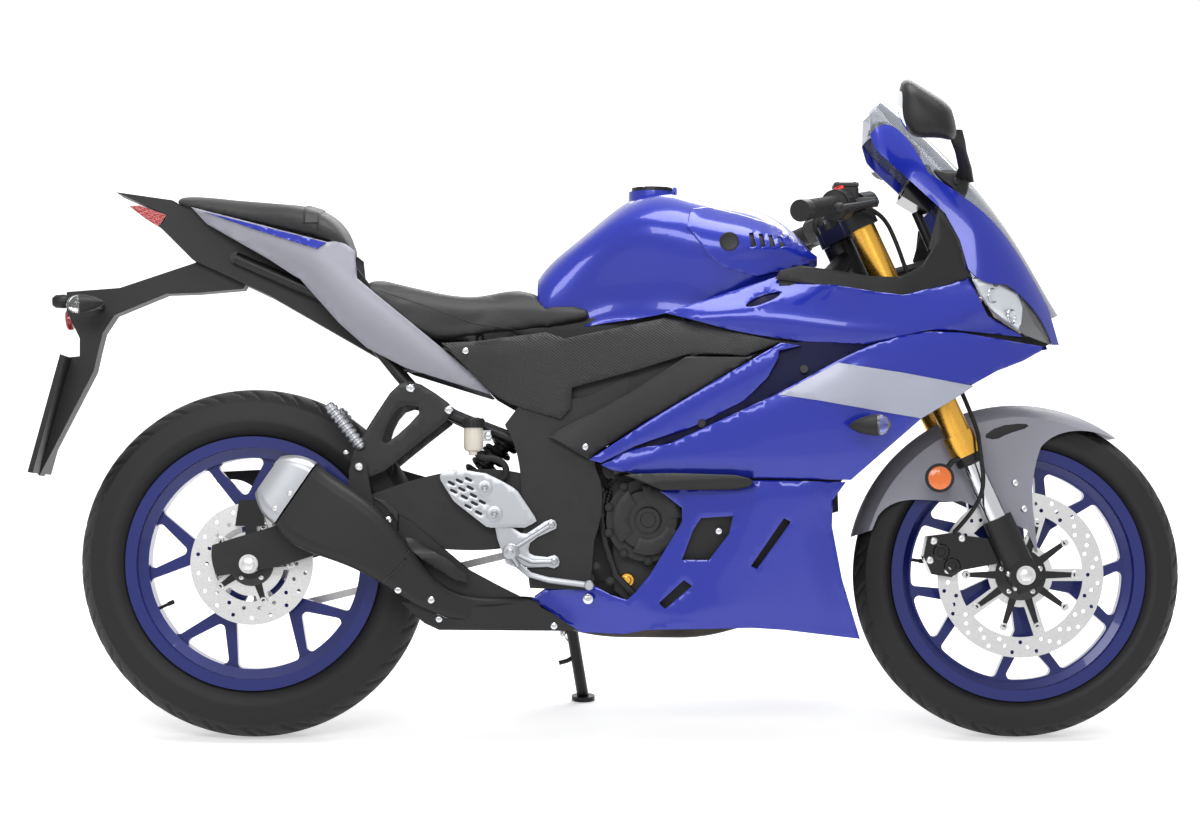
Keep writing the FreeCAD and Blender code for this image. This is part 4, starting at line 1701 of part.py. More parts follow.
def build_shock():
    """The damper between the frame's upper cross tube and the swingarm, inside its spring."""
    head, top, bottom, eye = [at(pixel) for pixel in SHOCK_PX]
    along = bottom - top
    parts = [rod(head, eye, SHOCK_RADIUS)]
    for turn in range(SPRING_TURNS):
        place = top + along * ((turn + 1.0) / (SPRING_TURNS + 1))
        parts.append(Part.makeTorus(SPRING_RADIUS - SPRING_WIRE, SPRING_WIRE, place, along))
    x, z = spot(CROSS_TUBES_PX[0], PLATE_INNER)
    tube = wheel_disc(Vector(x, 0, z), CROSS_RADIUS + SEAT_GAP, -PLATE_INNER, PLATE_INNER)
    add("chassis", "rear_shock", largest(fused(parts).cut(tube).cut(swingarm_bridge(SEAT_GAP))))


def lean_and_centre():
    """Leans the bike onto its stand and moves the middle of its base to the origin."""
    for shape in nodes.values():
        shape.rotate(Vector(0, 0, 0), Vector(1, 0, 0), -LEAN)
    box = None
    for shape in nodes.values():
        own = shape.optimalBoundingBox(False)
        if box is None:
            box = own
        else:
            box.add(own)
    shift = Vector(-box.Center.x, -box.Center.y, -box.ZMin)
    for shape in nodes.values():
        shape.translate(shift)
    return shift


def main():
    build_wheels()
    build_chain()
    build_swingarm()
    build_fork()
    build_yokes()
    build_handlebars()
    build_brake_hose()
    build_frame()
    build_engine()
    build_exhaust()
    build_radiator()
    build_tank()
    build_seats()
    build_tail()
    build_plate_holder()
    build_subframe()
    build_fairings()
    build_nose()
    build_mirrors()
    build_indicators()
    build_rests()
    build_rear_brake_line()
    build_stand()
    build_fender()
    build_calipers()
    build_rear_caliper()
    build_shock()
    shift = lean_and_centre()
    os.makedirs("parts", exist_ok=True)
    for name, shape in nodes.items():
        shape.exportStep("parts/" + name + ".step")
    return shift


SHIFT = main()
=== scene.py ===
"""Looks of a faired sport bike that leans on its side stand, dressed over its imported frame."""

import json
import math

import bmesh
import bpy
from mathutils import Matrix, Vector
from mathutils.bvhtree import BVHTree
from mathutils.geometry import delaunay_2d_cdt


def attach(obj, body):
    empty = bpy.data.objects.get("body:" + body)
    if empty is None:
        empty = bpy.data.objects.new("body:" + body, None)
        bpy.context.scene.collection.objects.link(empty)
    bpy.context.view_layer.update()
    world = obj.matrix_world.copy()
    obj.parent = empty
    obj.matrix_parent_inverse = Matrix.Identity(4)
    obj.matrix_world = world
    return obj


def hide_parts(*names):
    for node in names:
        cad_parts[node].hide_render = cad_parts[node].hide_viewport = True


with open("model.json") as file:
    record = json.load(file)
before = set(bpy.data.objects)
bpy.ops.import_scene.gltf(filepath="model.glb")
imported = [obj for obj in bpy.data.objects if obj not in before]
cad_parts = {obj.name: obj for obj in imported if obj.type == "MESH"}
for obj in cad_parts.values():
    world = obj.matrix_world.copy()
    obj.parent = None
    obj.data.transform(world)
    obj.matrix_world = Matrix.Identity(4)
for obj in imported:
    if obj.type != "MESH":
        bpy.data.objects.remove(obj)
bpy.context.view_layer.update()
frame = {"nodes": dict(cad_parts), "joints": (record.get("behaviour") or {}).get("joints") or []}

# How the bike stands. Sizes below are millimetres of the upright bike: x forward from the middle of the
# wheelbase, y to the rider's left, z up from the ground. The axles that the frame gives carry them to
# the leaning bike, and the side photograph's pixels are turned into the same millimetres.
joints = {joint["name"]: joint for joint in frame["joints"]}
mm = 0.001
rear_axle_height = 315.0
front_axle_height = 295.0
rear_axle_m = Vector(joints["rear_wheel_spin"]["pos_m"])
front_axle_m = Vector(joints["front_wheel_spin"]["pos_m"])
leftwards = Vector(joints["rear_wheel_spin"]["axis"]).normalized()
forwards = Vector((1, 0, 0))
upwards = forwards.cross(leftwards)
wheelbase = (front_axle_m - rear_axle_m).x / mm
middle_m = rear_axle_m - upwards * (rear_axle_height * mm) + forwards * (wheelbase / 2 * mm)
stance = Matrix.Translation(middle_m) @ Matrix((forwards, leftwards, upwards)).transposed().to_4x4()
to_frame = stance @ Matrix.Scale(mm, 4)
to_upright = to_frame.inverted()
rear_axle = Vector((-wheelbase / 2, 0, rear_axle_height))
front_axle = Vector((wheelbase / 2, 0, front_axle_height))
across = Vector((0, 1, 0))
rightwards = -across
up = Vector((0, 0, 1))

rear_axle_px = 256.0
front_axle_px = 1015.0
ground_px = 736.5
eye_px = (585.0, 530.0)
picture_px = (1200.0, 834.0)
distance_share = 4.0
mm_per_pixel = wheelbase / (front_axle_px - rear_axle_px)
camera_distance = distance_share * wheelbase
eye_x = (eye_px[0] - (rear_axle_px + front_axle_px) / 2) * mm_per_pixel
eye_z = (ground_px - eye_px[1]) * mm_per_pixel
eye = Vector((eye_x, -camera_distance, eye_z))


def at(pixel, depth=0.0):
    """The point of a pixel for something that stands depth out to the right of the centre plane."""
    scale = mm_per_pixel * (camera_distance - depth) / camera_distance
    return Vector((eye_x + (pixel[0] - eye_px[0]) * scale, -depth, eye_z + (eye_px[1] - pixel[1]) * scale))


# The camera stands where the photographer's did, level with the wheels' tops and square to the bike,
# five and a half metres to its right, with the long lens that such catalogue pictures are taken with.
sensor = 36.0
camera_data = bpy.data.cameras.new("camera")
camera_data.sensor_width = sensor
camera_data.lens = sensor * camera_distance / mm_per_pixel / picture_px[0]
camera_data.shift_x = (picture_px[0] / 2 - eye_px[0]) / picture_px[0]
camera_data.shift_y = (eye_px[1] - picture_px[1] / 2) / picture_px[0]
camera = bpy.data.objects.new("camera", camera_data)
look = Matrix((forwards, upwards, -leftwards)).transposed().to_4x4()
camera.matrix_world = Matrix.Translation(to_frame @ eye) @ look
bpy.context.scene.collection.objects.link(camera)
bpy.context.scene.camera = camera
bpy.context.scene.view_settings.view_transform = "Standard"


# The brake hoses are black rubber over braid, eight and twelve millimetres thick. The front one runs
# from the lever's cylinder down the right fork leg to its caliper, the rear one from the fluid cup to
# the pump behind the heel guard. Each is clipped all the way and follows its real route.
def finish(name, colour, metal=0.0, rough=0.5, coat=0.0, through=0.0, ior=1.5, sheen=0.0, gloss=0.5):
    """A surface finish: everything that is the same all over it is set on the shader itself."""
    material = bpy.data.materials.new(name)
    material.use_nodes = True
    shader = material.node_tree.nodes["Principled BSDF"]
    values = {"Base Color": (*colour, 1), "Metallic": metal, "Roughness": rough, "Coat Weight": coat,
              "Transmission Weight": through, "IOR": ior, "Sheen Weight": sheen, "Specular IOR Level": gloss}
    for socket, value in values.items():
        shader.inputs[socket].default_value = value
    return material


def pattern(material, kind, scale, **settings):
    """A texture laid through the bike's own space, with its scale in repeats per metre."""
    nodes = material.node_tree.nodes
    texture = nodes.new(kind)
    for key, value in settings.items():
        if key in texture.inputs:
            texture.inputs[key].default_value = value
        else:
            setattr(texture, key, value)
    texture.inputs["Scale"].default_value = scale
    place = nodes.new("ShaderNodeTexCoord")
    material.node_tree.links.new(place.outputs["Object"], texture.inputs["Vector"])
    return texture


def emboss(material, output, height_mm, strength=1.0):
    """Raises the surface by the texture, on top of what already raises it."""
    nodes = material.node_tree.nodes
    shader = nodes["Principled BSDF"]
    raise_it = nodes.new("ShaderNodeBump")
    raise_it.inputs["Distance"].default_value = height_mm * mm
    raise_it.inputs["Strength"].default_value = strength
    before = shader.inputs["Normal"].links
    if before:
        material.node_tree.links.new(before[0].from_socket, raise_it.inputs["Normal"])
    material.node_tree.links.new(output, raise_it.inputs["Height"])
    material.node_tree.links.new(raise_it.outputs["Normal"], shader.inputs["Normal"])


def vary(material, socket, output, low, high):
    """Lets a number on the shader follow the texture between two values."""
    spread = material.node_tree.nodes.new("ShaderNodeMapRange")
    spread.inputs["From Min"].default_value = 0.3
    spread.inputs["From Max"].default_value = 0.7
    spread.inputs["To Min"].default_value = low
    spread.inputs["To Max"].default_value = high
    material.node_tree.links.new(output, spread.inputs["Value"])
    shader = material.node_tree.nodes["Principled BSDF"]
    material.node_tree.links.new(spread.outputs["Result"], shader.inputs[socket])


def shade(material, output, dark, light, start=0.35, end=0.65):
    """Lets the colour follow the texture between two colours."""
    ramp = material.node_tree.nodes.new("ShaderNodeValToRGB")
    ramp.color_ramp.elements[0].position = start
    ramp.color_ramp.elements[0].color = (*dark, 1)
    ramp.color_ramp.elements[1].position = end
    ramp.color_ramp.elements[1].color = (*light, 1)
    material.node_tree.links.new(output, ramp.inputs["Fac"])
    shader = material.node_tree.nodes["Principled BSDF"]
    material.node_tree.links.new(ramp.outputs["Color"], shader.inputs["Base Color"])


def hose(name, route, radius, body, material):
    """A hose along its route, whose points are metres of the upright bike."""
    curve = bpy.data.curves.new(name, "CURVE")
    curve.dimensions = "3D"
    curve.bevel_depth = radius * mm
    curve.bevel_resolution = 4
    curve.resolution_u = 10
    curve.use_fill_caps = True
    line = curve.splines.new("NURBS")
    line.points.add(len(route) - 1)
    for point, place in zip(line.points, route):
        point.co = (*(stance @ Vector(place)), 1)
    line.order_u = 3
    line.use_endpoint_u = True
    curve.materials.append(material)
    piece = bpy.data.objects.new(name, curve)
    bpy.context.scene.collection.objects.link(piece)
    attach(piece, body)
    return piece


rubber = finish("rubber", (0.009, 0.009, 0.009), rough=0.6, gloss=0.25)
pores = pattern(rubber, "ShaderNodeTexNoise", 1600, Detail=3)
emboss(rubber, pores.outputs["Fac"], 0.05)

front_route = (
    (0.3908, -0.1955, 0.9497), (0.4023, -0.1748, 0.9455), (0.4430, -0.1050, 0.9323),
    (0.4650, -0.1050, 0.8852), (0.4828, -0.1050, 0.8317), (0.6079, -0.1050, 0.5634),
    (0.6079, -0.1400, 0.5171), (0.6173, -0.1400, 0.4509), (0.5959, -0.1225, 0.4045),
    (0.5683, -0.0915, 0.3713),
)
front_hose = hose("front_hose", front_route, 4.0, "steering", rubber)
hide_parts("front_brake_hose")

rear_route_px = ((474, 438), (474, 458), (498, 458), (508, 469), (502, 481), (489, 488))
cup_side = 138.0
pump_side = 131.7
rear_route = []
for number, pixel in enumerate(rear_route_px):
    rear_route.append(at(pixel, cup_side if number < 4 else pump_side) * mm)
hose("rear_hose", rear_route, 6.0, "chassis", rubber)


# The studio: a white floor that runs out of sight, a white world, and three soft boxes, one over the
# bike and one at each side, that draw the long highlights on the panels. The floor keeps the bike's
# shadow near the wheels and turns plain white further off.
floor_size = 60.0
bpy.ops.mesh.primitive_plane_add(size=floor_size)
floor = bpy.context.object
floor.name = "floor"
floor_paint = finish("floor_paint", (0.94, 0.94, 0.94), rough=0.9)
nodes = floor_paint.node_tree.nodes
links = floor_paint.node_tree.links
floor_shader = nodes["Principled BSDF"]
floor_shader.inputs["Specular IOR Level"].default_value = 0.1
floor_shader.inputs["Emission Color"].default_value = (1, 1, 1, 1)


def looked_at(tree):
    """One where a ray comes from the camera, a mirror-like surface or a lens, and else zero."""
    rays = tree.nodes.new("ShaderNodeLightPath")
    seen = tree.nodes.new("ShaderNodeMath")
    seen.operation = "ADD"
    seen.use_clamp = True
    more = tree.nodes.new("ShaderNodeMath")
    more.operation = "ADD"
    more.use_clamp = True
    tree.links.new(rays.outputs["Is Camera Ray"], seen.inputs[0])
    tree.links.new(rays.outputs["Is Glossy Ray"], seen.inputs[1])
    tree.links.new(seen.outputs[0], more.inputs[0])
    tree.links.new(rays.outputs["Is Transmission Ray"], more.inputs[1])
    return more.outputs[0]


near_glow = 0.5
far_start = 2.2
far_end = 7.0
spot_on_floor = nodes.new("ShaderNodeTexCoord")
from_middle = nodes.new("ShaderNodeVectorMath")
from_middle.operation = "LENGTH"
glow = nodes.new("ShaderNodeMapRange")
glow.interpolation_type = "SMOOTHSTEP"
glow.inputs["From Min"].default_value = far_start
glow.inputs["From Max"].default_value = far_end
glow.inputs["To Min"].default_value = near_glow
glow.inputs["To Max"].default_value = 1.0
only_seen = nodes.new("ShaderNodeMath")
only_seen.operation = "MULTIPLY"
links.new(spot_on_floor.outputs["Object"], from_middle.inputs[0])
links.new(from_middle.outputs["Value"], glow.inputs["Value"])
links.new(glow.outputs["Result"], only_seen.inputs[0])
links.new(looked_at(floor_paint.node_tree), only_seen.inputs[1])
links.new(only_seen.outputs[0], floor_shader.inputs["Emission Strength"])
floor.data.materials.append(floor_paint)

world = bpy.data.worlds.new("studio")
bpy.context.scene.world = world
world.use_nodes = True
sky = world.node_tree.nodes["Background"]
sky.inputs["Color"].default_value = (1, 1, 1, 1)
sky_light = 0.36
brightness = world.node_tree.nodes.new("ShaderNodeMapRange")
brightness.inputs["To Min"].default_value = sky_light
brightness.inputs["To Max"].default_value = 1.0
world.node_tree.links.new(looked_at(world.node_tree), brightness.inputs["Value"])
world.node_tree.links.new(brightness.outputs["Result"], sky.inputs["Strength"])

soft_boxes = (
    ("box_over", (0.2, -0.3, 3.4), (0.0, 0.0, 0.4), 3.2, 1.4, 115.0),
    ("box_right", (-0.6, -3.6, 2.6), (0.0, 0.0, 0.5), 3.0, 1.0, 70.0),
    ("box_left", (0.8, 3.6, 2.4), (0.0, 0.0, 0.5), 3.0, 1.0, 45.0),
)
for box_name, place, target, width, height, power in soft_boxes:
    lamp_data = bpy.data.lights.new(box_name, "AREA")
    lamp_data.shape = "RECTANGLE"
    lamp_data.size = width
    lamp_data.size_y = height
    lamp_data.energy = power
    lamp = bpy.data.objects.new(box_name, lamp_data)
    lamp.location = place
    lamp.rotation_mode = "QUATERNION"
    lamp.rotation_quaternion = (Vector(target) - Vector(place)).to_track_quat("-Z", "Y")
    bpy.context.scene.collection.objects.link(lamp)


# The frame is welded from round steel tube and pressed plate, sprayed satin black after welding. The
# swingarm, rear subframe and side stand are painted with it. Bolt heads are zinc-plated or chromed.
def dress(material, *names):
    """Gives nodes of the frame their finish."""
    for name in names:
        mesh = frame["nodes"][name].data
        mesh.materials.clear()
        mesh.materials.append(material)


def piece_of(name, points, faces, body, slot, material, sharp=32.0):
    """A piece made from points in upright millimetres that rides on a body."""
    mesh = bpy.data.meshes.new(name)
    mesh.from_pydata([to_frame @ Vector(point) for point in points], [], faces)
    shape = bmesh.new()
    shape.from_mesh(mesh)
    bmesh.ops.remove_doubles(shape, verts=shape.verts, dist=1e-5)
    bmesh.ops.recalc_face_normals(shape, faces=shape.faces)
    shape.to_mesh(mesh)
    shape.free()
    mesh.shade_smooth()
    mesh.set_sharp_from_angle(angle=math.radians(sharp))
    mesh.materials.append(material)
    piece = bpy.data.objects.new(name, mesh)
    bpy.context.scene.collection.objects.link(piece)
    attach(piece, body)
    return piece


def together(*parts):
    """Several parts, each points and faces, as one."""
    points, faces = [], []
    for part_points, part_faces in parts:
        start = len(points)
        points += part_points
        faces += [tuple(start + corner for corner in face) for face in part_faces]
    return points, faces


def across_mirror(part):
    """A part and its mirror image on the other side of the bike."""
    points, faces = part
    other = [Vector((point[0], -point[1], point[2])) for point in points]
    return together(part, (other, [tuple(reversed(face)) for face in faces]))


def pair_of(name, part, body, slot, material, sharp=32.0):
    """A piece made of a part and its mirror image."""
    return piece_of(name, *across_mirror(part), body, slot, material, sharp)


def ring_of(count, offset=0.0):
    """Directions that stand evenly round a wheel, each with the one square to it."""
    for number in range(count):
        turn = 2 * math.pi * (number + offset) / count
        yield Vector((math.cos(turn), 0, math.sin(turn))), Vector((-math.sin(turn), 0, math.cos(turn)))


def frame_about(axis):
    """Two directions square to an axis."""
    first = axis.cross(up if abs(axis.dot(up)) < 0.9 else forwards).normalized()
    return first, axis.cross(first).normalized()


def lofted(points, sides):
    """Rings of points, each with as many sides, joined one after another and capped at both ends."""
    faces = []
    last = len(points) - sides
    for low in range(0, last, sides):
        for number in range(sides):
            after = (number + 1) % sides
            faces.append((low + number, low + after, low + sides + after, low + sides + number))
    faces.append(tuple(reversed(range(sides))))
    faces.append(tuple(range(last, len(points))))
    return points, faces


def turned(start, axis, profile, sides=32, first_turn=0.0):
    """A turned part: its profile is steps along the axis and the radius there, closed at both ends."""
    axis = Vector(axis).normalized()
    one, two = frame_about(axis)
    points = []
    for along, radius in profile:
        for number in range(sides):
            turn = first_turn + 2 * math.pi * number / sides
            out = one * math.cos(turn) + two * math.sin(turn)
            points.append(Vector(start) + axis * along + out * max(radius, 0.01))
    return lofted(points, sides)


def plate(outline_px, inner, outer, chamfer=0.8):
    """A flat plate seen square from the side, from inner to outer, with a chamfered rim."""
    middle_x = sum(pixel[0] for pixel in outline_px) / len(outline_px)
    middle_y = sum(pixel[1] for pixel in outline_px) / len(outline_px)
    rings = ((inner, 0.0), (outer - chamfer, 0.0), (outer, chamfer))
    points = []
    for depth, set_in in rings:
        for pixel in outline_px:
            away = Vector((pixel[0] - middle_x, pixel[1] - middle_y))
            reach = away.length - set_in / mm_per_pixel
            away.normalize()
            points.append(at((middle_x + away.x * reach, middle_y + away.y * reach), depth))
    return lofted(points, len(outline_px))


def tube(points, radius, sides=12):
    """A round bar through points, with its ends closed."""
    points = [Vector(point) for point in points]
    rings = []
    for number, point in enumerate(points):
        before = points[max(number - 1, 0)]
        after = points[min(number + 1, len(points) - 1)]
        one, two = frame_about((after - before).normalized())
        for side in range(sides):
            turn = 2 * math.pi * side / sides
            rings.append(point + (one * math.cos(turn) + two * math.sin(turn)) * radius)
    return lofted(rings, sides)


def screw(place, axis, radius, rise=3.0):
    """A button-headed screw with a hexagon socket, its head's foot at the place given."""
    return turned(place, axis, ((-1.0, radius), (rise * 0.35, radius), (rise * 0.8, radius * 0.8),
                                (rise, radius * 0.5), (rise, radius * 0.42), (rise * 0.3, radius * 0.38)), 24)


def side_screw(pixel, depth, radius, rise=3.0):
    """A screw set in from the right side, at a pixel and so far out."""
    return screw(at(pixel, depth), rightwards, radius, rise)


def nut(place, axis, radius, height):
    """A hexagon head on a washer."""
    washer = turned(place, axis, ((0.0, radius * 1.3), (height * 0.2, radius * 1.3)), 28)
    body = turned(place, axis, ((0.0, radius), (height * 0.9, radius), (height, radius * 0.86)), 6)
    return together(washer, body)


frame_paint = finish("frame_paint", (0.01, 0.01, 0.011), rough=0.36, gloss=0.3)
orange_peel = pattern(frame_paint, "ShaderNodeTexNoise", 900)
emboss(frame_paint, orange_peel.outputs["Fac"], 0.02)
cloudy = pattern(frame_paint, "ShaderNodeTexNoise", 40, Detail=5)
vary(frame_paint, "Roughness", cloudy.outputs["Fac"], 0.32, 0.46)
dress(frame_paint, "main_frame", "subframe", "swingarm", "side_stand")

chrome = finish("chrome", (0.55, 0.56, 0.58), metal=1.0, rough=0.14)
drawn = pattern(chrome, "ShaderNodeTexNoise", 300)
vary(chrome, "Roughness", drawn.outputs["Fac"], 0.1, 0.2)
dark_alloy = finish("dark_alloy", (0.02, 0.02, 0.021), metal=0.5, rough=0.4, gloss=0.3)
sand = pattern(dark_alloy, "ShaderNodeTexNoise", 1500, Detail=4)
emboss(dark_alloy, sand.outputs["Fac"], 0.04)

plate_face = 133.0
frame_screws = [
    side_screw((606, 443), plate_face - 8, 7.0), side_screw((568, 425), plate_face - 8, 6.0),
]
piece_of("frame_screws", *together(*frame_screws), "chassis", "chrome", chrome)
pivot_cap = turned(at((574, 512), plate_face - 14), rightwards,
                   ((0, 17), (3, 17), (4, 15), (4, 11), (2, 10), (2, 4), (3, 3)), 40)
engine_mounts = [
    nut(at((575, 457), 120), rightwards, 8.0, 7.0), nut(at((559, 566), 120), rightwards, 8.0, 7.0),
]
piece_of("pivot_cap", *together(pivot_cap, *engine_mounts), "chassis", "dark_alloy", dark_alloy)

# Wheels: cast rims in dark blue, drilled steel discs on black carriers, and round road tyres. The tyre
# is moulded with slanted grooves across its crown and a raised ring on each sidewall.
wheel_paint = finish("wheel_paint", (0.006, 0.012, 0.12), metal=0.2, rough=0.3, coat=0.4, gloss=0.3)
flake = pattern(wheel_paint, "ShaderNodeTexVoronoi", 4000)
shade(wheel_paint, flake.outputs["Distance"], (0.005, 0.01, 0.1), (0.008, 0.016, 0.16), 0.1, 0.9)
steel = finish("steel", (0.55, 0.55, 0.55), metal=1.0, rough=0.3)
ground = pattern(steel, "ShaderNodeTexNoise", 700, Detail=4)
vary(steel, "Roughness", ground.outputs["Fac"], 0.24, 0.4)
tyre_rubber = finish("tyre_rubber", (0.013, 0.013, 0.0135), rough=0.6, gloss=0.25)
pores = pattern(tyre_rubber, "ShaderNodeTexNoise", 1200, Detail=3)
emboss(tyre_rubber, pores.outputs["Fac"], 0.06)
dress(wheel_paint, "front_rim", "rear_rim")
dress(steel, "front_disc", "rear_disc", "rear_sprocket", "rear_axle", "front_axle")
pipe_steel = finish("pipe_steel", (0.035, 0.032, 0.03), metal=0.8, rough=0.45, gloss=0.3)
heat = pattern(pipe_steel, "ShaderNodeTexNoise", 14, Detail=4)
shade(pipe_steel, heat.outputs["Fac"], (0.022, 0.02, 0.02), (0.05, 0.042, 0.035))
dress(pipe_steel, "exhaust_header")

bead_radius = 216.0
flange_height = 13.0
side_share = 0.42
shoulder_share = 0.42
shoulder_width_share = 0.87
groove_depth = 3.2
groove_count = 26
steps_a_groove = 26


def through(one, two, three, share):
    """A point on the circle through three points, share of the way from the first to the last."""
    middle = (1 - share) * (1 - 2 * share), 4 * share * (1 - share), share * (2 * share - 1)
    return (one[0] * middle[0] + two[0] * middle[1] + three[0] * middle[2],
            one[1] * middle[0] + two[1] * middle[1] + three[1] * middle[2])


def groove(share_round, share_across):
    """How deep the tread is cut here: share_round counts patterns, share_across runs from -1 to 1."""
    side = 1 if share_across > 0 else -1
    width = abs(share_across)
    cut = 0.0
    for offset, reach, slant, wide in ((0.0, (0.1, 0.86), 0.75, 0.085), (0.5, (0.34, 0.97), 0.55, 0.07)):
        if not reach[0] < width < reach[1]:
            continue
        place = (share_round + offset + side * 0.25 + slant * width) % 1.0
        near = min(place, 1.0 - place)
        end = min(width - reach[0], reach[1] - width) / 0.08
        depth = max(0.0, 1.0 - (near / wide) ** 4) * min(1.0, end)
        cut = max(cut, depth)
    return cut


def make_tyre(name, body, axle, radius, half_width, rim_half, node):
    """A tyre whose section runs from bead to bead, turned round the axle with its grooves cut in."""
    flange_radius = bead_radius + flange_height
    side_radius = bead_radius + (radius - bead_radius) * side_share
    shoulder_radius = radius - (radius - side_radius) * shoulder_share
    side = []
    flank = ((flange_radius + side_radius) / 2, half_width * 0.93)
    for step in range(9):
        reach, out = through((flange_radius, rim_half), flank, (side_radius, half_width), step / 8)
        ring = 1.2 if step in (3, 4) else 0.0
        side.append((reach, out + ring * 0.4, None))
    shoulder = (shoulder_radius, half_width * shoulder_width_share)
    for step in range(1, 4):
        share = step / 4
        side.append((side_radius + (shoulder[0] - side_radius) * share,
                     half_width + (shoulder[1] - half_width) * share, None))
    rise = radius - shoulder[0]
    curve = (shoulder[1] ** 2 + rise ** 2) / (2 * rise)
    limit = math.asin(shoulder[1] / curve)
    crown = []
    steps = 30
    for step in range(steps + 1):
        share = 1 - 2 * step / steps
        turn = limit * share
        crown.append((radius - curve + curve * math.cos(turn), curve * math.sin(turn), share))
    mirrored = [(reach, -out, mark) for reach, out, mark in reversed(side)]
    section = [(bead_radius, rim_half, None)] + side + crown + mirrored + [(bead_radius, -rim_half, None)]
    around = groove_count * steps_a_groove
    points, faces = [], []
    for number in range(around):
        turn = 2 * math.pi * number / around
        for reach, out, mark in section:
            cut = 0.0
            if mark is not None:
                cut = groove_depth * groove(number / steps_a_groove, mark)
            points.append(axle + Vector((math.cos(turn) * (reach - cut), out,
                                         math.sin(turn) * (reach - cut))))
    count = len(section)
    for number in range(around):
        after = (number + 1) % around
        for place in range(count - 1):
            faces.append((number * count + place, number * count + place + 1,
                          after * count + place + 1, after * count + place))
        faces.append((number * count + count - 1, number * count, after * count, after * count + count - 1))
    piece = piece_of(name, points, faces, body, "tyre", tyre_rubber, sharp=28)
    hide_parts(node)


make_tyre("front_road_tyre", "front_wheel", front_axle, 295.0, 55.0, 36.0, "front_tyre")
make_tyre("rear_road_tyre", "rear_wheel", rear_axle, 315.0, 70.0, 51.0, "rear_tyre")

# The discs' rings float on black carriers: a dark star lies over each disc's middle, riveted to the
# ring, with screws into the hub. The axles end in nuts, and each rim has a valve.
gloss_black = finish("gloss_black", (0.005, 0.005, 0.0055), rough=0.16, gloss=0.4)
wave = pattern(gloss_black, "ShaderNodeTexNoise", 60)
emboss(gloss_black, wave.outputs["Fac"], 0.03)


def box_of(node):
    """A node's lowest and highest corner in upright millimetres, from its own vertices."""
    places = [to_upright @ vertex.co for vertex in frame["nodes"][node].data.vertices]
    low = Vector([min(place[side] for place in places) for side in range(3)])
    high = Vector([max(place[side] for place in places) for side in range(3)])
    return low, high


block_faces = [(3, 2, 1, 0), (4, 5, 6, 7), (0, 1, 5, 4), (1, 2, 6, 5), (2, 3, 7, 6), (3, 0, 4, 7)]


def carrier(axle, face, inner, outer, arms):
    """The black star that carries a disc's ring, with its rivets."""
    parts = [turned(axle + across * face, rightwards, ((0.0, inner), (2.6, inner), (3.4, inner - 2)), 48)]
    rivets, screws = [], []
    for out, aside in ring_of(arms):
        arm = []
        for depth in (0.0, 2.4):
            arm += [axle + across * (face - depth) + out * (inner - 4) - aside * 7,
                    axle + across * (face - depth) + out * outer - aside * 4,
                    axle + across * (face - depth) + out * outer + aside * 4,
                    axle + across * (face - depth) + out * (inner - 4) + aside * 7]
        parts.append((arm, block_faces))
        rivets.append(turned(axle + across * face + out * outer, rightwards,
                             ((0.0, 7.5), (2.6, 7.5), (3.4, 6.5), (3.4, 3.5), (2.0, 3.0)), 24))
    for out, aside in ring_of(5, 0.25):
        screws.append(screw(axle + across * (face - 3.4) + out * (inner - 10), rightwards, 5.5, 4.0))
    return together(*parts), together(*(rivets + screws))


for wheel, axle, inner, outer, arms in (("front", front_axle, 46.0, 98.0, 10),
                                        ("rear", rear_axle, 40.0, 70.0, 5)):
    low, high = box_of(wheel + "_disc")
    star, fixings = carrier(axle, low.y, inner, outer, arms)
    piece_of(wheel + "_carrier", *star, wheel + "_wheel", "gloss_black", gloss_black)
    piece_of(wheel + "_disc_screws", *fixings, wheel + "_wheel", "steel", steel)
for wheel, axle, turn in (("front", front_axle, math.radians(172)), ("rear", rear_axle, math.radians(205))):
    out = Vector((math.cos(turn), 0, math.sin(turn)))
    stem = turned(axle + out * 203, -out, ((0, 5), (6, 5), (7, 3), (26, 3), (27, 4), (38, 4), (39, 3)), 16)
    piece_of(wheel + "_valve", *stem, wheel + "_wheel", "rubber", rubber)

# Bodywork: injection-moulded panels, painted deep metallic blue or left grained black. Every panel is a
# thin shell with turned-in edges, laid on the frame's own skin, with creases folded into it.
body_paint = finish("body_paint", (0.008, 0.018, 0.3), metal=0.15, rough=0.24, coat=0.5, gloss=0.3)
flake = pattern(body_paint, "ShaderNodeTexVoronoi", 4000)
shade(body_paint, flake.outputs["Distance"], (0.007, 0.016, 0.26), (0.011, 0.024, 0.36), 0.1, 0.9)
grey_paint = finish("grey_paint", (0.23, 0.23, 0.27), metal=0.2, rough=0.42, gloss=0.35)
flake = pattern(grey_paint, "ShaderNodeTexVoronoi", 3000)
shade(grey_paint, flake.outputs["Distance"], (0.21, 0.21, 0.25), (0.26, 0.26, 0.3), 0.1, 0.9)
black_plastic = finish("black_plastic", (0.009, 0.009, 0.0095), rough=0.48, gloss=0.28)
grain = pattern(black_plastic, "ShaderNodeTexNoise", 1400, Detail=3)
emboss(black_plastic, grain.outputs["Fac"], 0.06)
textured_black = finish("textured_black", (0.009, 0.009, 0.0095), rough=0.45, gloss=0.32)
weave = pattern(textured_black, "ShaderNodeTexWave", 95, Distortion=1.2, bands_direction="DIAGONAL")
weave.inputs["Detail Scale"].default_value = 3.0
emboss(textured_black, weave.outputs["Fac"], 0.5)
stripe_film = finish("stripe_film", (0.36, 0.38, 0.46), metal=0.1, rough=0.32, gloss=0.4)
flake = pattern(stripe_film, "ShaderNodeTexVoronoi", 3000)
shade(stripe_film, flake.outputs["Distance"], (0.34, 0.36, 0.44), (0.39, 0.41, 0.49), 0.1, 0.9)


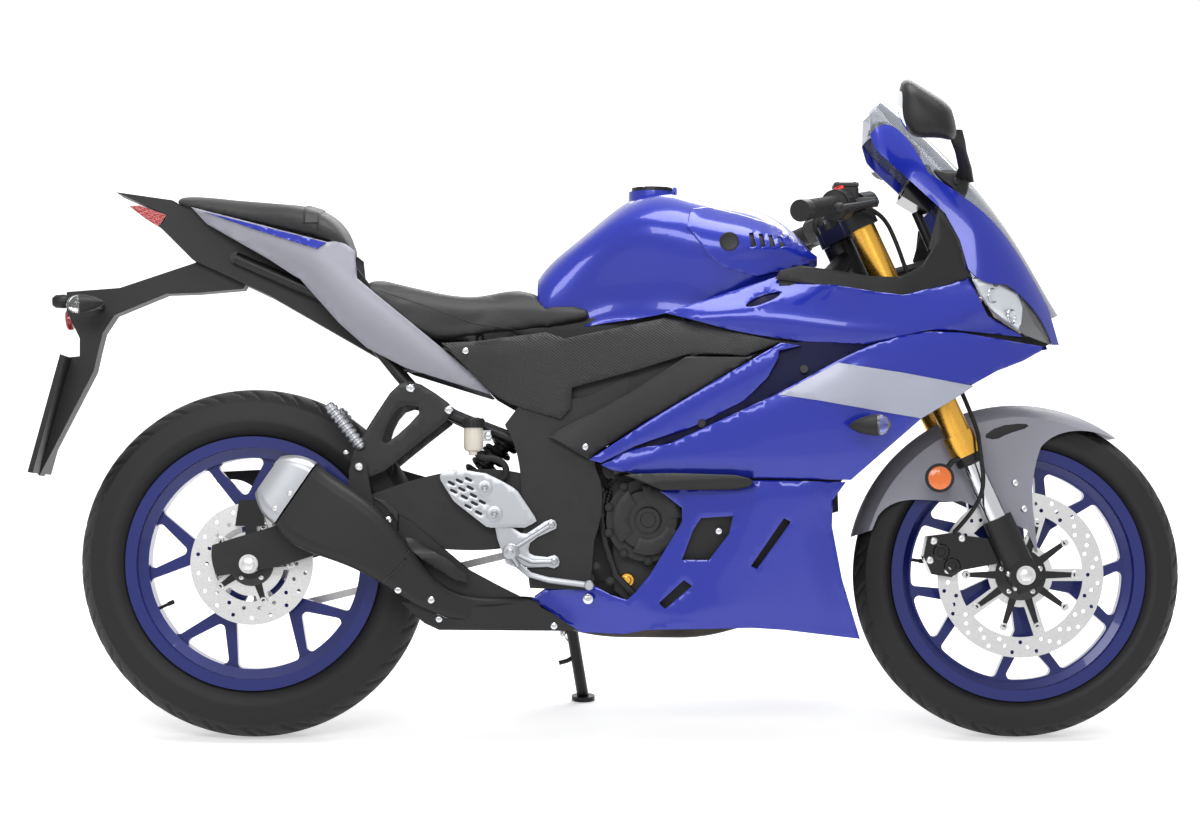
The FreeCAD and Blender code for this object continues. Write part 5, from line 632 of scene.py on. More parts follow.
def skin_of(*names):
    """The outer skin of some nodes, in upright millimetres, ready for rays."""
    places, corners = [], []
    for name in names:
        mesh = frame["nodes"][name].data
        start = len(places)
        places += [to_upright @ vertex.co for vertex in mesh.vertices]
        corners += [[start + corner for corner in face.vertices] for face in mesh.polygons]
    return BVHTree.FromPolygons(places, corners)


def depth_on(skin, pixel, guess):
    """How far out to the right a skin lies behind a pixel; beside it, as far as its nearest point."""
    if skin is None:
        return guess
    ray = (at(pixel) - eye).normalized()
    hit = skin.ray_cast(eye, ray)[0]
    if hit is None or hit.y > 0:
        hit = skin.find_nearest(at(pixel, guess))[0]
    return -hit.y


def stepped(corners, step):
    """A closed outline with points added so that none are further apart than step."""
    line = []
    for number, one in enumerate(corners):
        two = corners[(number + 1) % len(corners)]
        length = math.dist(one, two)
        count = max(1, math.ceil(length / step))
        for part in range(count):
            share = part / count
            line.append((one[0] + (two[0] - one[0]) * share, one[1] + (two[1] - one[1]) * share))
    return line


def inside(pixel, line):
    """Whether a pixel lies within a closed line."""
    found = False
    for number, one in enumerate(line):
        two = line[number - 1]
        if (one[1] > pixel[1]) != (two[1] > pixel[1]):
            cross = two[0] + (pixel[1] - two[1]) / (one[1] - two[1]) * (one[0] - two[0])
            found ^= pixel[0] < cross
    return found


def distance(pixel, line, closed=True):
    """How far a pixel is from a line of points."""
    best = 1e9
    for number in range(len(line) if closed else len(line) - 1):
        one, two = line[number], line[(number + 1) % len(line)]
        run = (two[0] - one[0], two[1] - one[1])
        length = run[0] ** 2 + run[1] ** 2
        share = ((pixel[0] - one[0]) * run[0] + (pixel[1] - one[1]) * run[1]) / length if length else 0
        share = min(1, max(0, share))
        best = min(best, math.hypot(pixel[0] - one[0] - run[0] * share, pixel[1] - one[1] - run[1] * share))
    return best


def rounded(corners, times=2):
    """An outline with its corners cut to a smooth curve."""
    for _ in range(times):
        cut = []
        for number, two in enumerate(corners):
            one = corners[number - 1]
            cut.append((one[0] * 0.75 + two[0] * 0.25, one[1] * 0.75 + two[1] * 0.25))
            cut.append((one[0] * 0.25 + two[0] * 0.75, one[1] * 0.25 + two[1] * 0.75))
        corners = cut
    return corners


def fold(pixel, line, slope, side=1.0):
    """A crease along a line: on one side of it the surface falls away by slope for each pixel."""
    best, way = 1e9, 0.0
    for one, two in zip(line, line[1:]):
        run = (two[0] - one[0], two[1] - one[1])
        share = ((pixel[0] - one[0]) * run[0] + (pixel[1] - one[1]) * run[1]) / (run[0] ** 2 + run[1] ** 2)
        share = min(1, max(0, share))
        gap = (pixel[0] - one[0] - run[0] * share, pixel[1] - one[1] - run[1] * share)
        length = math.hypot(*gap)
        if length < best:
            best, way = length, run[0] * gap[1] - run[1] * gap[0]
    return -slope * best if way * side > 0 else 0.0


def evened(values, near):
    """Values at corners, each drawn towards the mean of its neighbours."""
    found = []
    for number, value in enumerate(values):
        others = near[number]
        found.append(value * 0.4 + 0.6 * sum(values[m] for m in others) / len(others) if others else value)
    return found


def clear_of(spot, outline, cuts, gap):
    """Whether a pixel lies within the outline, outside its cuts, and further than gap from all of them."""
    if not inside(spot, outline) or any(inside(spot, cut) for cut in cuts):
        return False
    return distance(spot, outline) > gap and all(distance(spot, cut) > gap for cut in cuts)


def shell(corners, skin, guess, thickness, relief=None, holes=(), step=6.0, lift=0.0, edge=1.4, smooth=6,
          calm=3):
    """A moulded panel over an outline of pixels: its skin, its rounded rim and its turned-in edge."""
    outline = stepped(corners, step)
    cuts = [stepped(hole, step * 0.7) for hole in holes]
    places, joins = [], []
    for line in [outline] + cuts:
        start = len(places)
        places += line
        joins += [(start + number, start + (number + 1) % len(line)) for number in range(len(line))]
    inner_line = []
    for line in [outline] + cuts:
        for number, pixel in enumerate(line):
            one, two = line[number - 1], line[(number + 1) % len(line)]
            run = Vector((two[0] - one[0], two[1] - one[1]))
            if run.length < 1e-6:
                continue
            run.normalize()
            for aside in (Vector((-run.y, run.x)), Vector((run.y, -run.x))):
                spot = (pixel[0] + aside.x * edge, pixel[1] + aside.y * edge)
                if clear_of(spot, outline, cuts, edge * 0.8):
                    inner_line.append(spot)
    places += inner_line
    low_x, high_x = min(p[0] for p in outline), max(p[0] for p in outline)
    low_y, high_y = min(p[1] for p in outline), max(p[1] for p in outline)
    row = 0
    y = low_y + step / 2
    while y < high_y:
        x = low_x + step * (0.5 if row % 2 else 0.25)
        while x < high_x:
            spot = (x, y)
            if clear_of(spot, outline, cuts, edge + step * 0.35):
                places.append(spot)
            x += step
        y += step * 0.87
        row += 1
    flat, _, triangles, _, _, _ = delaunay_2d_cdt([Vector(p) for p in places], joins, [], 0, 1e-4)
    kept = []
    for face in triangles:
        middle = (sum(flat[c].x for c in face) / 3, sum(flat[c].y for c in face) / 3)
        if inside(middle, outline) and not any(inside(middle, cut) for cut in cuts):
            kept.append(tuple(face))
    depths = [depth_on(skin, pixel, guess) for pixel in flat]
    near = [set() for _ in flat]
    edges = {}
    for face in kept:
        for number, one in enumerate(face):
            two = face[(number + 1) % 3]
            near[one].add(two)
            near[two].add(one)
            key = (min(one, two), max(one, two))
            edges.setdefault(key, []).append((one, two))
    for _ in range(smooth):
        depths = evened(depths, near)
    rims = [ways[0] for ways in edges.values() if len(ways) == 1]
    on_rim = {corner for edge_ends in rims for corner in edge_ends}
    rises = [lift + (relief(pixel) if relief else 0.0) for pixel in flat]
    for _ in range(calm):
        rises = evened(rises, near)
    points = []
    for number, pixel in enumerate(flat):
        points.append(at(pixel, depths[number] + rises[number] - (edge if number in on_rim else 0.0)))
    faces = list(kept)
    turned_in = {}
    for corner in on_rim:
        turned_in[corner] = len(points)
        points.append(at(flat[corner], depths[corner] + rises[corner] - edge - thickness))
    for one, two in rims:
        faces.append((two, one, turned_in[one], turned_in[two]))
    return points, faces


side_skin = skin_of("side_fairing")
main_outline = [
    (601, 465), (631, 449), (670, 443.5), (776.8, 394), (837.5, 360.5), (868, 346), (900, 336.5),
    (930, 331.5), (961, 332.5), (1043, 346.5), (1041, 351), (1023, 361), (997, 371), (972, 385), (952, 400),
    (921, 419), (851, 480), (756, 478), (640, 474), (612, 470),
]


def main_relief(pixel):
    top = fold(pixel, [(601, 468), (625, 464), (776.8, 399.5), (870, 351), (930, 337), (1043, 349)], 0.9, -1)
    front = fold(pixel, [(770, 474), (862, 455), (925, 402), (985, 369), (1040, 350)], 0.55)
    low = fold(pixel, [(600, 462), (700, 463), (851, 470)], 0.8)
    return max(-16.0, top + front + low)


main_panel = shell(main_outline, side_skin, 200, 9, main_relief)
side_panels = pair_of("side_panels", main_panel, "chassis", "body_paint", body_paint)
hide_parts("side_fairing")

stripe_outline = [(779, 394.5), (838, 362.5), (905, 373), (974, 386), (952, 400.5), (921, 418.5),
                  (820, 400.5)]
stripe = shell(stripe_outline, side_skin, 200, 0.8, main_relief, edge=0.3, lift=1.5)
pair_of("side_stripes", stripe, "chassis", "grey_paint", stripe_film)

blade_outline = [
    (589.3, 459.7), (649, 420.5), (715, 381), (781, 342.8), (800.7, 345.5), (779, 350.5), (778, 358),
    (768, 377), (744.3, 400.5), (690, 428), (652, 440), (634, 446.5), (601, 463),
]


def blade_relief(pixel):
    return fold(pixel, [(595, 462), (690, 412), (770, 362), (790, 346)], 0.5)


blade = shell(blade_outline, side_skin, 200, 8, blade_relief, step=5)
pair_of("side_blades", blade, "chassis", "body_paint", body_paint)

# A darkened copy of the blue body paint, painted shade for the recessed side channels and the scoop's floor.
painted_shade_blue = finish("painted_shade_blue", (0.002, 0.003, 0.03), rough=0.45, gloss=0.12)
flake = pattern(painted_shade_blue, "ShaderNodeTexVoronoi", 4000)
shade(painted_shade_blue, flake.outputs["Distance"], (0.0015, 0.0025, 0.02), (0.003, 0.004, 0.04), 0.1, 0.9)
channel_outline = [
    (640, 450), (648, 437), (690, 424), (740, 396), (764, 376), (775, 358), (774, 346), (800, 341),
    (872, 341),
    (842, 364), (777, 397), (672, 446),
]
# The side channel is a real recess, set 15 mm in; its darkened blue is painted shade.
channel = shell(channel_outline, side_skin, 200, 4, None, lift=-15)
pair_of("side_channels", channel, "chassis", "body_paint", painted_shade_blue)

# The upper fairing wraps the tank's front end. It is moulded with a ridge, an undercut and a small
# leaf-shaped scoop.
upper_outline = [
    (664, 312.5), (720, 295), (779, 276), (835, 285), (880, 292), (903, 295), (935, 287), (968, 277),
    (988, 316), (1023, 337), (990, 333.5), (954, 330), (930, 330), (894, 338), (867, 344), (805, 341.5),
    (760, 335.5), (729, 329.5), (700, 321.5),
]
scoop = rounded([(744, 307), (751, 300), (765, 294), (782, 291), (778, 297), (768, 302), (755, 306.5)], 1)


def upper_relief(pixel):
    top = fold(pixel, [(690, 318), (720, 312), (776, 299), (835, 287), (880, 296), (960, 290)], 0.8, -1)
    low = fold(pixel, [(680, 312), (727, 315), (776.8, 318), (841.9, 327), (900, 332), (960, 322)], 0.9)
    return max(-14.0, top + low)


upper_skin = skin_of("upper_fairing")
upper_panel = shell(upper_outline, upper_skin, 200, 9, upper_relief, holes=(scoop,), step=5)
upper_panels = pair_of("upper_panels", upper_panel, "chassis", "body_paint", body_paint)
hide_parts("upper_fairing")
# The scoop's floor is a real recess, set 8 mm in; its darkened blue is painted shade.
scoop_floor = shell([(740, 309), (748, 298), (765, 291), (785, 288), (782, 299), (768, 305)], upper_skin, 200,
                    2,
                    upper_relief, lift=-8)
pair_of("scoop_floors", scoop_floor, "chassis", "body_paint", painted_shade_blue)

# The lower fairing closes the engine's front and belly, with a vent by the clutch and two slits. A short
# black fin runs along its joint with the side fairing, and a liner closes it from inside.
lower_outline = [
    (846, 482), (833, 500), (832, 526), (842, 579), (860, 639), (784, 630), (752, 628), (646, 630),
    (625, 634), (580, 632), (532, 599), (546, 589), (589, 587), (597, 587), (611, 595), (627, 600),
    (635, 593), (650, 575), (682, 522), (682, 508), (660, 491), (756, 480),
]
vent = [(701, 518), (733, 516), (729, 534), (709, 560), (682, 560), (693, 530)]
slit_front = [(791, 522), (757, 569), (751, 566), (784, 518)]
slit_low = [(692, 586), (665, 609), (659, 603), (684, 580)]


def lower_relief(pixel):
    ridge = fold(pixel, [(770, 476), (742, 545), (690, 612), (650, 640)], 0.22)
    front = fold(pixel, [(815, 476), (806, 530), (828, 645)], 0.5, -1)
    foot = max(-3.5, fold(pixel, [(530, 606), (620, 618), (752, 612), (860, 622)], 0.7))
    pipe_room = max(0.0, 7.0 - 0.35 * distance(pixel, [(560, 624), (612, 626)], False))
    return max(-18.0, ridge + front + foot) + pipe_room


lower_skin = skin_of("lower_fairing")
lower_panel = shell(lower_outline, lower_skin, 180, 9, lower_relief, holes=(vent, slit_front, slit_low),
                    step=5.5)
lower_panels = pair_of("lower_panels", lower_panel, "chassis", "body_paint", body_paint)
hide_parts("lower_fairing")
fin_outline = [(625, 475), (640, 473.6), (674, 473), (735, 475), (749, 478), (754, 482), (749, 487),
               (735, 490),
               (662, 490), (650, 485)]


def fin_relief(pixel):
    return 15 - 0.13 * (pixel[1] - 481.5) ** 2


fin = shell(fin_outline, skin_of("side_fairing", "lower_fairing"), 190, 20, fin_relief, step=4)
pair_of("side_fins", fin, "chassis", "black_plastic", black_plastic)
liner_outline = [
    (606, 463), (640, 440), (781, 345), (690, 322), (779, 284), (900, 299), (965, 283), (985, 316),
    (1020, 340),
    (1030, 350), (990, 368), (945, 398), (846, 475), (828, 500), (828, 526), (838, 579), (852, 628),
    (784, 622),
    (752, 621), (646, 622), (625, 626), (580, 624), (546, 602), (589, 595), (627, 606), (641, 596),
    (656, 578),
    (688, 522), (688, 506), (668, 491),
]
liner = shell(liner_outline, skin_of("side_fairing", "upper_fairing", "lower_fairing"), 190, 2, None, step=9,
              lift=-26, smooth=10)
pair_of("fairing_liners", liner, "chassis", "black_plastic", black_plastic)
lower_screws = [side_screw((588, 599), depth_on(lower_skin, (588, 599), 150) + 0.5, 9.0, 4.0),
                side_screw((719, 531), depth_on(lower_skin, (719, 511), 150) - 14, 6.0, 3.0)]
pair_of("lower_screws", together(*lower_screws), "chassis", "chrome", chrome)

# The side covers are moulded in grained black: an embossed upper part, a smooth lower strip, and a dark
# pocket between them. Chromed screws hold them.
cover_skin = skin_of("side_covers")
cover_outline = [
    (441, 343), (478, 341), (545, 332), (565, 338.5), (600, 331), (664, 318), (690, 322), (735, 332),
    (781, 342), (746.5, 355.6), (694, 353.3), (685.8, 354.6), (633, 371), (572, 387.5), (571, 408),
    (561, 419), (535, 412), (510, 404), (493, 394), (475, 376),
]


def cover_relief(pixel):
    return max(-8.0, fold(pixel, [(450, 348), (545, 340), (664, 325), (781, 342)], 0.7, -1))


cover = shell(cover_outline, cover_skin, 150, 8, cover_relief, step=6)
covers = pair_of("cover_uppers", cover, "chassis", "black_plastic", textured_black)
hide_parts("side_covers")
strip_outline = [(686, 356.5), (746.5, 357), (779, 343.5), (715, 380.5), (649, 419), (588, 458.5), (549, 437),
                 (562, 428), (626, 395)]


def strip_relief(pixel):
    return fold(pixel, [(549, 440), (626, 399), (690, 360), (746, 358)], 0.9, -1) + 2


strip = shell(strip_outline, cover_skin, 150, 9, strip_relief, step=6)
pair_of("cover_strips", strip, "chassis", "black_plastic", black_plastic)
pocket_outline = [(566, 384), (690, 351), (690, 360), (626, 402), (552, 443), (540, 430), (566, 412)]
pocket = shell(pocket_outline, cover_skin, 150, 3, None, lift=-24)
pair_of("cover_pockets", pocket, "chassis", "black_plastic", black_plastic)
closing_outline = [(505, 328), (545, 318), (600, 318), (664, 305), (800, 262), (830, 285), (800, 340),
                   (700, 380),
                   (600, 420), (560, 400), (545, 350)]
closing = shell(closing_outline, None, 84, 3, None, step=12)
pair_of("tank_closers", closing, "chassis", "black_plastic", black_plastic)
cover_screws = []
for pixel in ((465.5, 351), (585.5, 447)):
    face = depth_on(cover_skin, pixel, 150)
    cover_screws.append(side_screw(pixel, face + 1.5, 6.0, 3.5))
pair_of("cover_screws", together(*cover_screws), "chassis", "chrome", chrome)

# Tail: matt grey side panels with a crease and a thin blue inlay, on the black core that carries the
# red lamp and the plate holder.
tail_skin = skin_of("tail_panels")
tail_outline = [
    (191, 207), (260, 224.5), (328, 242), (339, 239), (355, 251), (357, 278), (370, 289), (425, 334),
    (475, 376), (491, 393), (489, 394), (406, 368), (367, 348), (339, 323), (300, 279), (293, 275),
    (270, 260), (207, 224),
]


def tail_relief(pixel):
    upper = fold(pixel, [(195, 213), (318, 249), (343, 272), (372, 300), (480, 388)], 0.6, -1)
    lower = fold(pixel, [(205, 217), (310, 262), (350, 312), (420, 360), (490, 392)], 0.25)
    return max(-12.0, upper + lower)


tail = shell(tail_outline, tail_skin, 120, 7, tail_relief, step=5)
tail_sides = pair_of("tail_sides", tail, "chassis", "grey_paint", grey_paint)
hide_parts("tail_panels")
inlay = shell([(203, 211.5), (326, 242.5), (317, 248.5), (260, 231)], tail_skin, 120, 2.0, tail_relief,
              edge=0.3, lift=3.2, step=3)
pair_of("tail_inlays", inlay, "chassis", "body_paint", body_paint)
dress(black_plastic, "tail_core", "plate_holder", "inner_fairing", "muffler", "exhaust_guard", "chain_guard",
      "bar_controls", "mirrors")
dress(body_paint, "fuel_tank", "nose_cowl")
dress(grey_paint, "front_mudguard")

# Seats: foam under a grained black cover, pulled tight over the base with a seam along the edge.
seat_cover = finish("seat_cover", (0.012, 0.012, 0.0125), rough=0.5, sheen=0.05, gloss=0.3)
hide = pattern(seat_cover, "ShaderNodeTexVoronoi", 900)
emboss(seat_cover, hide.outputs["Distance"], 0.12)


def evaluated(thing):
    graph = bpy.context.evaluated_depsgraph_get()
    return bpy.data.meshes.new_from_object(thing.evaluated_get(graph))


def upholster(name, node, voxel, most):
    """The node's form remeshed and, in a full render, puffed out by pressure from inside."""
    piece = bpy.data.objects.new(name, frame["nodes"][node].data.copy())
    bpy.context.scene.collection.objects.link(piece)
    grid = piece.modifiers.new("grid", "REMESH")
    grid.mode = "VOXEL"
    grid.voxel_size = voxel
    piece.data = evaluated(piece)
    piece.modifiers.clear()
    before = [vertex.co.copy() for vertex in piece.data.vertices]
    held = piece.vertex_groups.new(name="held")
    base = [vertex.index for vertex in piece.data.vertices if vertex.normal.z < -0.3]
    held.add(base, 1.0, "REPLACE")
    cloth = piece.modifiers.new("cloth", "CLOTH")
    cloth.settings.quality = 6
    cloth.settings.use_pressure = True
    cloth.settings.uniform_pressure_force = 4
    cloth.settings.effector_weights.gravity = 0
    cloth.settings.vertex_group_mass = "held"
    cloth.point_cache.frame_start = 1
    cloth.point_cache.frame_end = 20
    for number in range(1, 21):
        bpy.context.scene.frame_set(number)
    puffed = evaluated(piece)
    piece.modifiers.clear()
    piece.data = puffed
    for vertex, place in zip(piece.data.vertices, before):
        moved = vertex.co - place
        if moved.length > most:
            vertex.co = place + moved.normalized() * most
    bpy.context.scene.frame_set(1)
    soften = piece.modifiers.new("soften", "SMOOTH")
    soften.iterations = 6
    finer = piece.modifiers.new("finer", "SUBSURF")
    finer.levels = 1
    finer.render_levels = 1
    piece.data.materials.clear()
    piece.data.materials.append(seat_cover)
    piece.data.shade_smooth()
    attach(piece, "chassis")
    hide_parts(node)
    cover = evaluated(piece)
    places = [to_upright @ vertex.co for vertex in cover.vertices]
    return BVHTree.FromPolygons(places, [tuple(face.vertices) for face in cover.polygons])


far_off = 600.0


def laid(skin, places, way, lift):
    """Where places, moved along way, first meet a skin, lifted off it by lift; others are left out."""
    found = []
    for place in places:
        hit = skin.ray_cast(Vector(place) - way * far_off, way)[0]
        if hit is not None:
            found.append(hit - way * lift)
    return found


def run_px(line_px, count, depth=0.0):
    """Places evenly spread along a line of pixels."""
    spots = []
    for one, two in zip(line_px, line_px[1:]):
        for number in range(count):
            share = number / count
            spots.append(at((one[0] + (two[0] - one[0]) * share, one[1] + (two[1] - one[1]) * share), depth))
    spots.append(at(line_px[-1], depth))
    return spots


rider_cover = upholster("rider_cushion", "rider_seat", 0.006, 0.006)
pillion_cover = upholster("pillion_cushion", "pillion_seat", 0.006, 0.006)

# The seat covers are sewn: a seam runs round each cushion a little above its edge, and a strap for the
# pillion to hold crosses the rear seat, stitched along both sides.
seams = []
rider_seam = laid(rider_cover, run_px([(374, 285), (420, 300), (470, 318), (530, 326), (600, 318)], 6, 240),
                  across, -0.4)
pillion_seam = laid(pillion_cover, run_px([(186, 203), (250, 217), (310, 228), (338, 236)], 6, 240), across,
                    -0.4)
for line in (rider_seam, pillion_seam):
    if len(line) > 2:
        seams.append(tube(line, 1.1, 8))
pair_of("seat_seams", together(*seams), "chassis", "seat_cover", seat_cover)
cross_seam = []
for offset in range(-50, 51, 5):
    cross_seam.append(Vector((at((430, 300)).x, offset * 1.5, 1400)))
cross_line = laid(rider_cover, cross_seam, -up, -0.3)
piece_of("seat_cross_seam", *tube(cross_line, 1.1, 8), "chassis", "seat_cover", seat_cover)
strap_points, strap_faces = [], []
strap_x = at((317, 222)).x
strap_centre = Vector((strap_x, 0, at((317, 232)).z - 60))
strap_half = 15.0
strap_rise = ((-1.0, -1.0), (-1.0, 2.4), (-0.86, 3.0), (-0.8, 2.2), (-0.72, 3.0), (0.72, 3.0), (0.8, 2.2),
              (0.86, 3.0),
              (1.0, 2.4), (1.0, -1.0))
for number in range(25):
    turn = math.radians(-66 + 132 * number / 24)
    out = Vector((0, math.sin(turn), math.cos(turn)))
    for aside, rise in strap_rise:
        middle = strap_centre + forwards * (aside * strap_half)
        hit = pillion_cover.ray_cast(middle + out * 400, -out)[0]
        strap_points.append((hit or middle + out * 60) + out * rise)
wide = len(strap_rise)
for ring in range(24):
    for number in range(wide - 1):
        low, high = ring * wide, (ring + 1) * wide
        strap_faces.append((low + number, low + number + 1, high + number + 1, high + number))
piece_of("seat_strap", strap_points, strap_faces, "chassis", "seat_cover", seat_cover)

# Foot controls: forged aluminium brackets on the frame's pivot plates carry the pegs, the rear brake
# pedal and the gear lever; pressed heel guards with drain slots are screwed over them.
cast_alloy = finish("cast_alloy", (0.34, 0.35, 0.37), metal=0.85, rough=0.38)
sand = pattern(cast_alloy, "ShaderNodeTexNoise", 1500, Detail=4)
emboss(cast_alloy, sand.outputs["Fac"], 0.05)
bracket_inner = 132.0
guard_side = bracket_inner + 8.0


def slot_px(middle, length, width, turn):
    """A slanted slot with round ends, as pixels."""
    along = (math.cos(turn), math.sin(turn))
    line = []
    for number in range(12):
        way = -1 if number < 6 else 1
        angle = turn + math.pi / 2 + math.pi * (number if number < 6 else number - 1) / 5
        reach = (length - width) / 2 * way
        line.append((middle[0] + along[0] * reach + math.cos(angle) * width / 2,
                     middle[1] + along[1] * reach + math.sin(angle) * width / 2))
    return line


guard_px = [(440, 475), (443, 471.5), (450, 469.5), (459, 469), (486.5, 473.5), (500, 480), (514, 488),
            (518, 491.5),
            (535, 517), (536.5, 521), (533, 523.5), (525, 527.6), (491, 527.6), (486, 526.5), (456, 503),
            (453, 500),
            (441, 481), (440, 478)]
slots = []
for middle in ((468.5, 479.3), (459.3, 481), (451.4, 483.2), (470.2, 487.8), (461.8, 489.2), (453.6, 491.2),
               (473.4, 495.4), (464.4, 497), (482.3, 502), (474.4, 503.4), (468, 506.4), (478.6, 512.8)):
    slots.append(slot_px(middle, 8.0, 3.0, math.radians(28)))
guard = shell(guard_px, None, guard_side + 4, 4, None, holes=slots, step=5, edge=0.4, smooth=0)
washers = []
for pixel, radius in (((484.8, 488), 13.5), ((494.5, 514), 14.5)):
    washers.append(turned(at(pixel, guard_side + 3.5), rightwards,
                          ((0, radius), (2.0, radius), (2.6, radius - 1), (2.6, 7), (5.5, 6.5), (6.2, 5),
                           (4.0, 3)), 36))
backing = shell(guard_px, None, guard_side + 2.6, 2, None, step=8, edge=2.0, smooth=0)
pair_of("guard_backings", backing, "chassis", "black_plastic", black_plastic)
guards = pair_of("heel_guards", together(guard, *washers), "chassis", "cast_alloy", cast_alloy)
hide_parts("foot_rests")

bracket_px = [(494, 515), (495.4, 528.3), (497.6, 539.6), (501.9, 551.5), (505.8, 563.4), (514.9, 567.3),
              (530, 567.6), (547.5, 566.9), (554.4, 568.4), (558.6, 566), (559.6, 561.7), (558, 557),
              (554.4, 554.9),
              (547.5, 557.1), (534.4, 555.6), (529.5, 553.2), (528.4, 549), (530.1, 542.8), (537.7, 537),
              (551.8, 530.4), (556, 528.5), (556.8, 524.8), (555, 520.5), (551.1, 519.2), (544.8, 521.6),
              (526.9, 533.5), (521, 533), (517.1, 530.4), (512.8, 527.8), (512, 515)]
peg_bracket = shell(bracket_px, None, guard_side, 8, None, step=5, edge=0.6, smooth=0)
cross_rib = tube([at((510, 551), guard_side), at((532, 562), guard_side), at((552, 561.5), guard_side)], 4)
other_rib = tube([at((549, 526), guard_side), at((530, 538), guard_side), at((510, 551), guard_side)], 4)
hub = turned(at((511, 552), guard_side - 4), rightwards, ((0, 15), (9, 15), (11, 13)), 32)
peg_base = at((511, 552), guard_side + 6)
peg = turned(peg_base, rightwards, ((0, 8), (8, 11), (12, 11), (13, 8)), 24)
ribs = []
for number in range(10):
    ribs.append(turned(peg_base + rightwards * (13 + number * 7.6), rightwards,
                       ((0, 9), (1.2, 11.5), (5.4, 11.5), (6.6, 9), (7.6, 9)), 20))
ball = turned(peg_base + rightwards * 89, rightwards, ((0, 8), (1, 6), (4, 6), (6, 4)), 20)
bracket_bolts = [side_screw(pixel, guard_side + 0.5, 6.5, 4) for pixel in ((551.1, 524.8), (554, 561.4))]
brackets = together(peg_bracket, cross_rib, other_rib, hub, peg, ball, *(ribs + bracket_bolts))
pair_of("peg_brackets", brackets, "chassis", "cast_alloy", cast_alloy)

# The brake pedal is a forged bar that steps out from its pivot, with a pad at its end. The gear lever on
# the left is the same kind of bar.
pedal_side = 158.0
pedal_line = [at((511, 556), guard_side + 9), at((519, 566), 140), at((530, 575), pedal_side - 4),
              at((548, 580), pedal_side),
              at((572, 583), pedal_side), at((589, 585), pedal_side)]
pedal_bar = tube(pedal_line, 5.5, 10)
pad = turned(at((589, 585), pedal_side - 6), rightwards, ((0, 6), (3, 8.5), (40, 8.5), (42, 7)), 18)
pedal = piece_of("brake_pedal_bar", *together(pedal_bar, pad), "chassis", "cast_alloy", cast_alloy)
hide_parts("foot_levers")
lever_line = [at((511, 553), guard_side + 9), at((520, 557), 140), at((534, 561), pedal_side - 4),
              at((560, 563), pedal_side),
              at((590, 566), pedal_side)]
lever_line = [Vector((point.x, -point.y, point.z)) for point in lever_line]
lever_bar = tube(lever_line, 5.0, 10)
lever_pad = turned(lever_line[-1] - across * 4, across, ((0, 6), (2, 9), (38, 9), (40, 7)), 18)
piece_of("gear_lever_bar", *together(lever_bar, lever_pad), "chassis", "cast_alloy", cast_alloy)

# The pillion's pegs fold up against black hangers of cast alloy, which are screwed to the subframe. The
# pegs are ribbed aluminium.
hanger_inner = 107.3
hanger = shell(rounded([(443, 398), (458, 412), (412, 448), (376, 478), (352, 474), (350, 456), (372, 420),
                        (396, 384),
                        (414, 380)], 1), None, hanger_inner + 8, 8, None,
               holes=(rounded([(388, 420), (402, 404), (424, 408), (404, 430), (380, 448)], 1),), step=6,
               edge=0.8, smooth=0)
hanger_bolts = [side_screw((410.5, 388), hanger_inner + 8, 8, 4),
                side_screw((449, 410), hanger_inner + 8, 8, 4),
                side_screw((358, 468), hanger_inner + 8, 8, 4)]
pair_of("pillion_hangers", hanger, "chassis", "frame_paint", frame_paint)
pair_of("hanger_bolts", together(*hanger_bolts), "chassis", "chrome", chrome)
pillion_low = at((362, 448), hanger_inner + 14)
pillion_high = at((328, 404), hanger_inner + 14)
pillion_way = (pillion_high - pillion_low).normalized()
pillion_length = (pillion_high - pillion_low).length
steps = [(0, 6), (4, 9)]
for number in range(8):
    start = 8 + number * (pillion_length - 14) / 8
    steps += [(start, 9), (start + 1.5, 11.5), (start + 6, 11.5), (start + 7.5, 9)]
steps += [(pillion_length - 3, 9), (pillion_length, 6)]
pillion_peg = turned(pillion_low, pillion_way, steps, 14)
pair_of("pillion_pegs", pillion_peg, "chassis", "cast_alloy", cast_alloy)

# The rear brake's fluid cup is milky plastic under a ribbed black cap, held by a chromed ear. Its pump
# stands below it, behind the heel guard.
milky = finish("milky_plastic", (0.62, 0.58, 0.5), rough=0.4)
cloud = pattern(milky, "ShaderNodeTexNoise", 200)
vary(milky, "Roughness", cloud.outputs["Fac"], 0.34, 0.46)
cup_rim = at((473.5, 428), cup_side)
cup = turned(cup_rim, -up, ((0, 17), (34, 17.5), (40, 15), (42, 9), (48, 8)), 36)
cup_piece = piece_of("fluid_cup", *cup, "chassis", "fluid_cup", milky)
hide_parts("rear_brake_line")
ribbed = [turned(cup_rim, up, ((0, 19), (14, 19.5), (17, 18), (17, 11), (18.5, 10)), 40)]
for number in range(20):
    turn = 2 * math.pi * number / 20
    out = Vector((math.cos(turn), math.sin(turn), 0))
    ribbed.append(tube([cup_rim + out * 19 + up * 1.5, cup_rim + out * 19 + up * 14], 1.5, 6))
piece_of("cup_cap", *together(*ribbed), "chassis", "black_plastic", black_plastic)
ear = plate([(480, 430), (491, 430), (491, 441), (480, 441)], cup_side - 3, cup_side + 1)
ear_bolt = side_screw((488, 436), cup_side + 1, 7, 4)
pump_line = [at((489, 482), pump_side), at((489, 518), pump_side)]
pump = together(turned(pump_line[0], pump_line[1] - pump_line[0],
                       ((0, 6), (2, 8), (30, 8), (32, 11), (48, 11), (50, 6), (64, 6)), 24))
piece_of("cup_ear", *together(ear, ear_bolt), "chassis", "chrome", chrome)
piece_of("brake_pump", *pump, "chassis", "dark_alloy", dark_alloy)

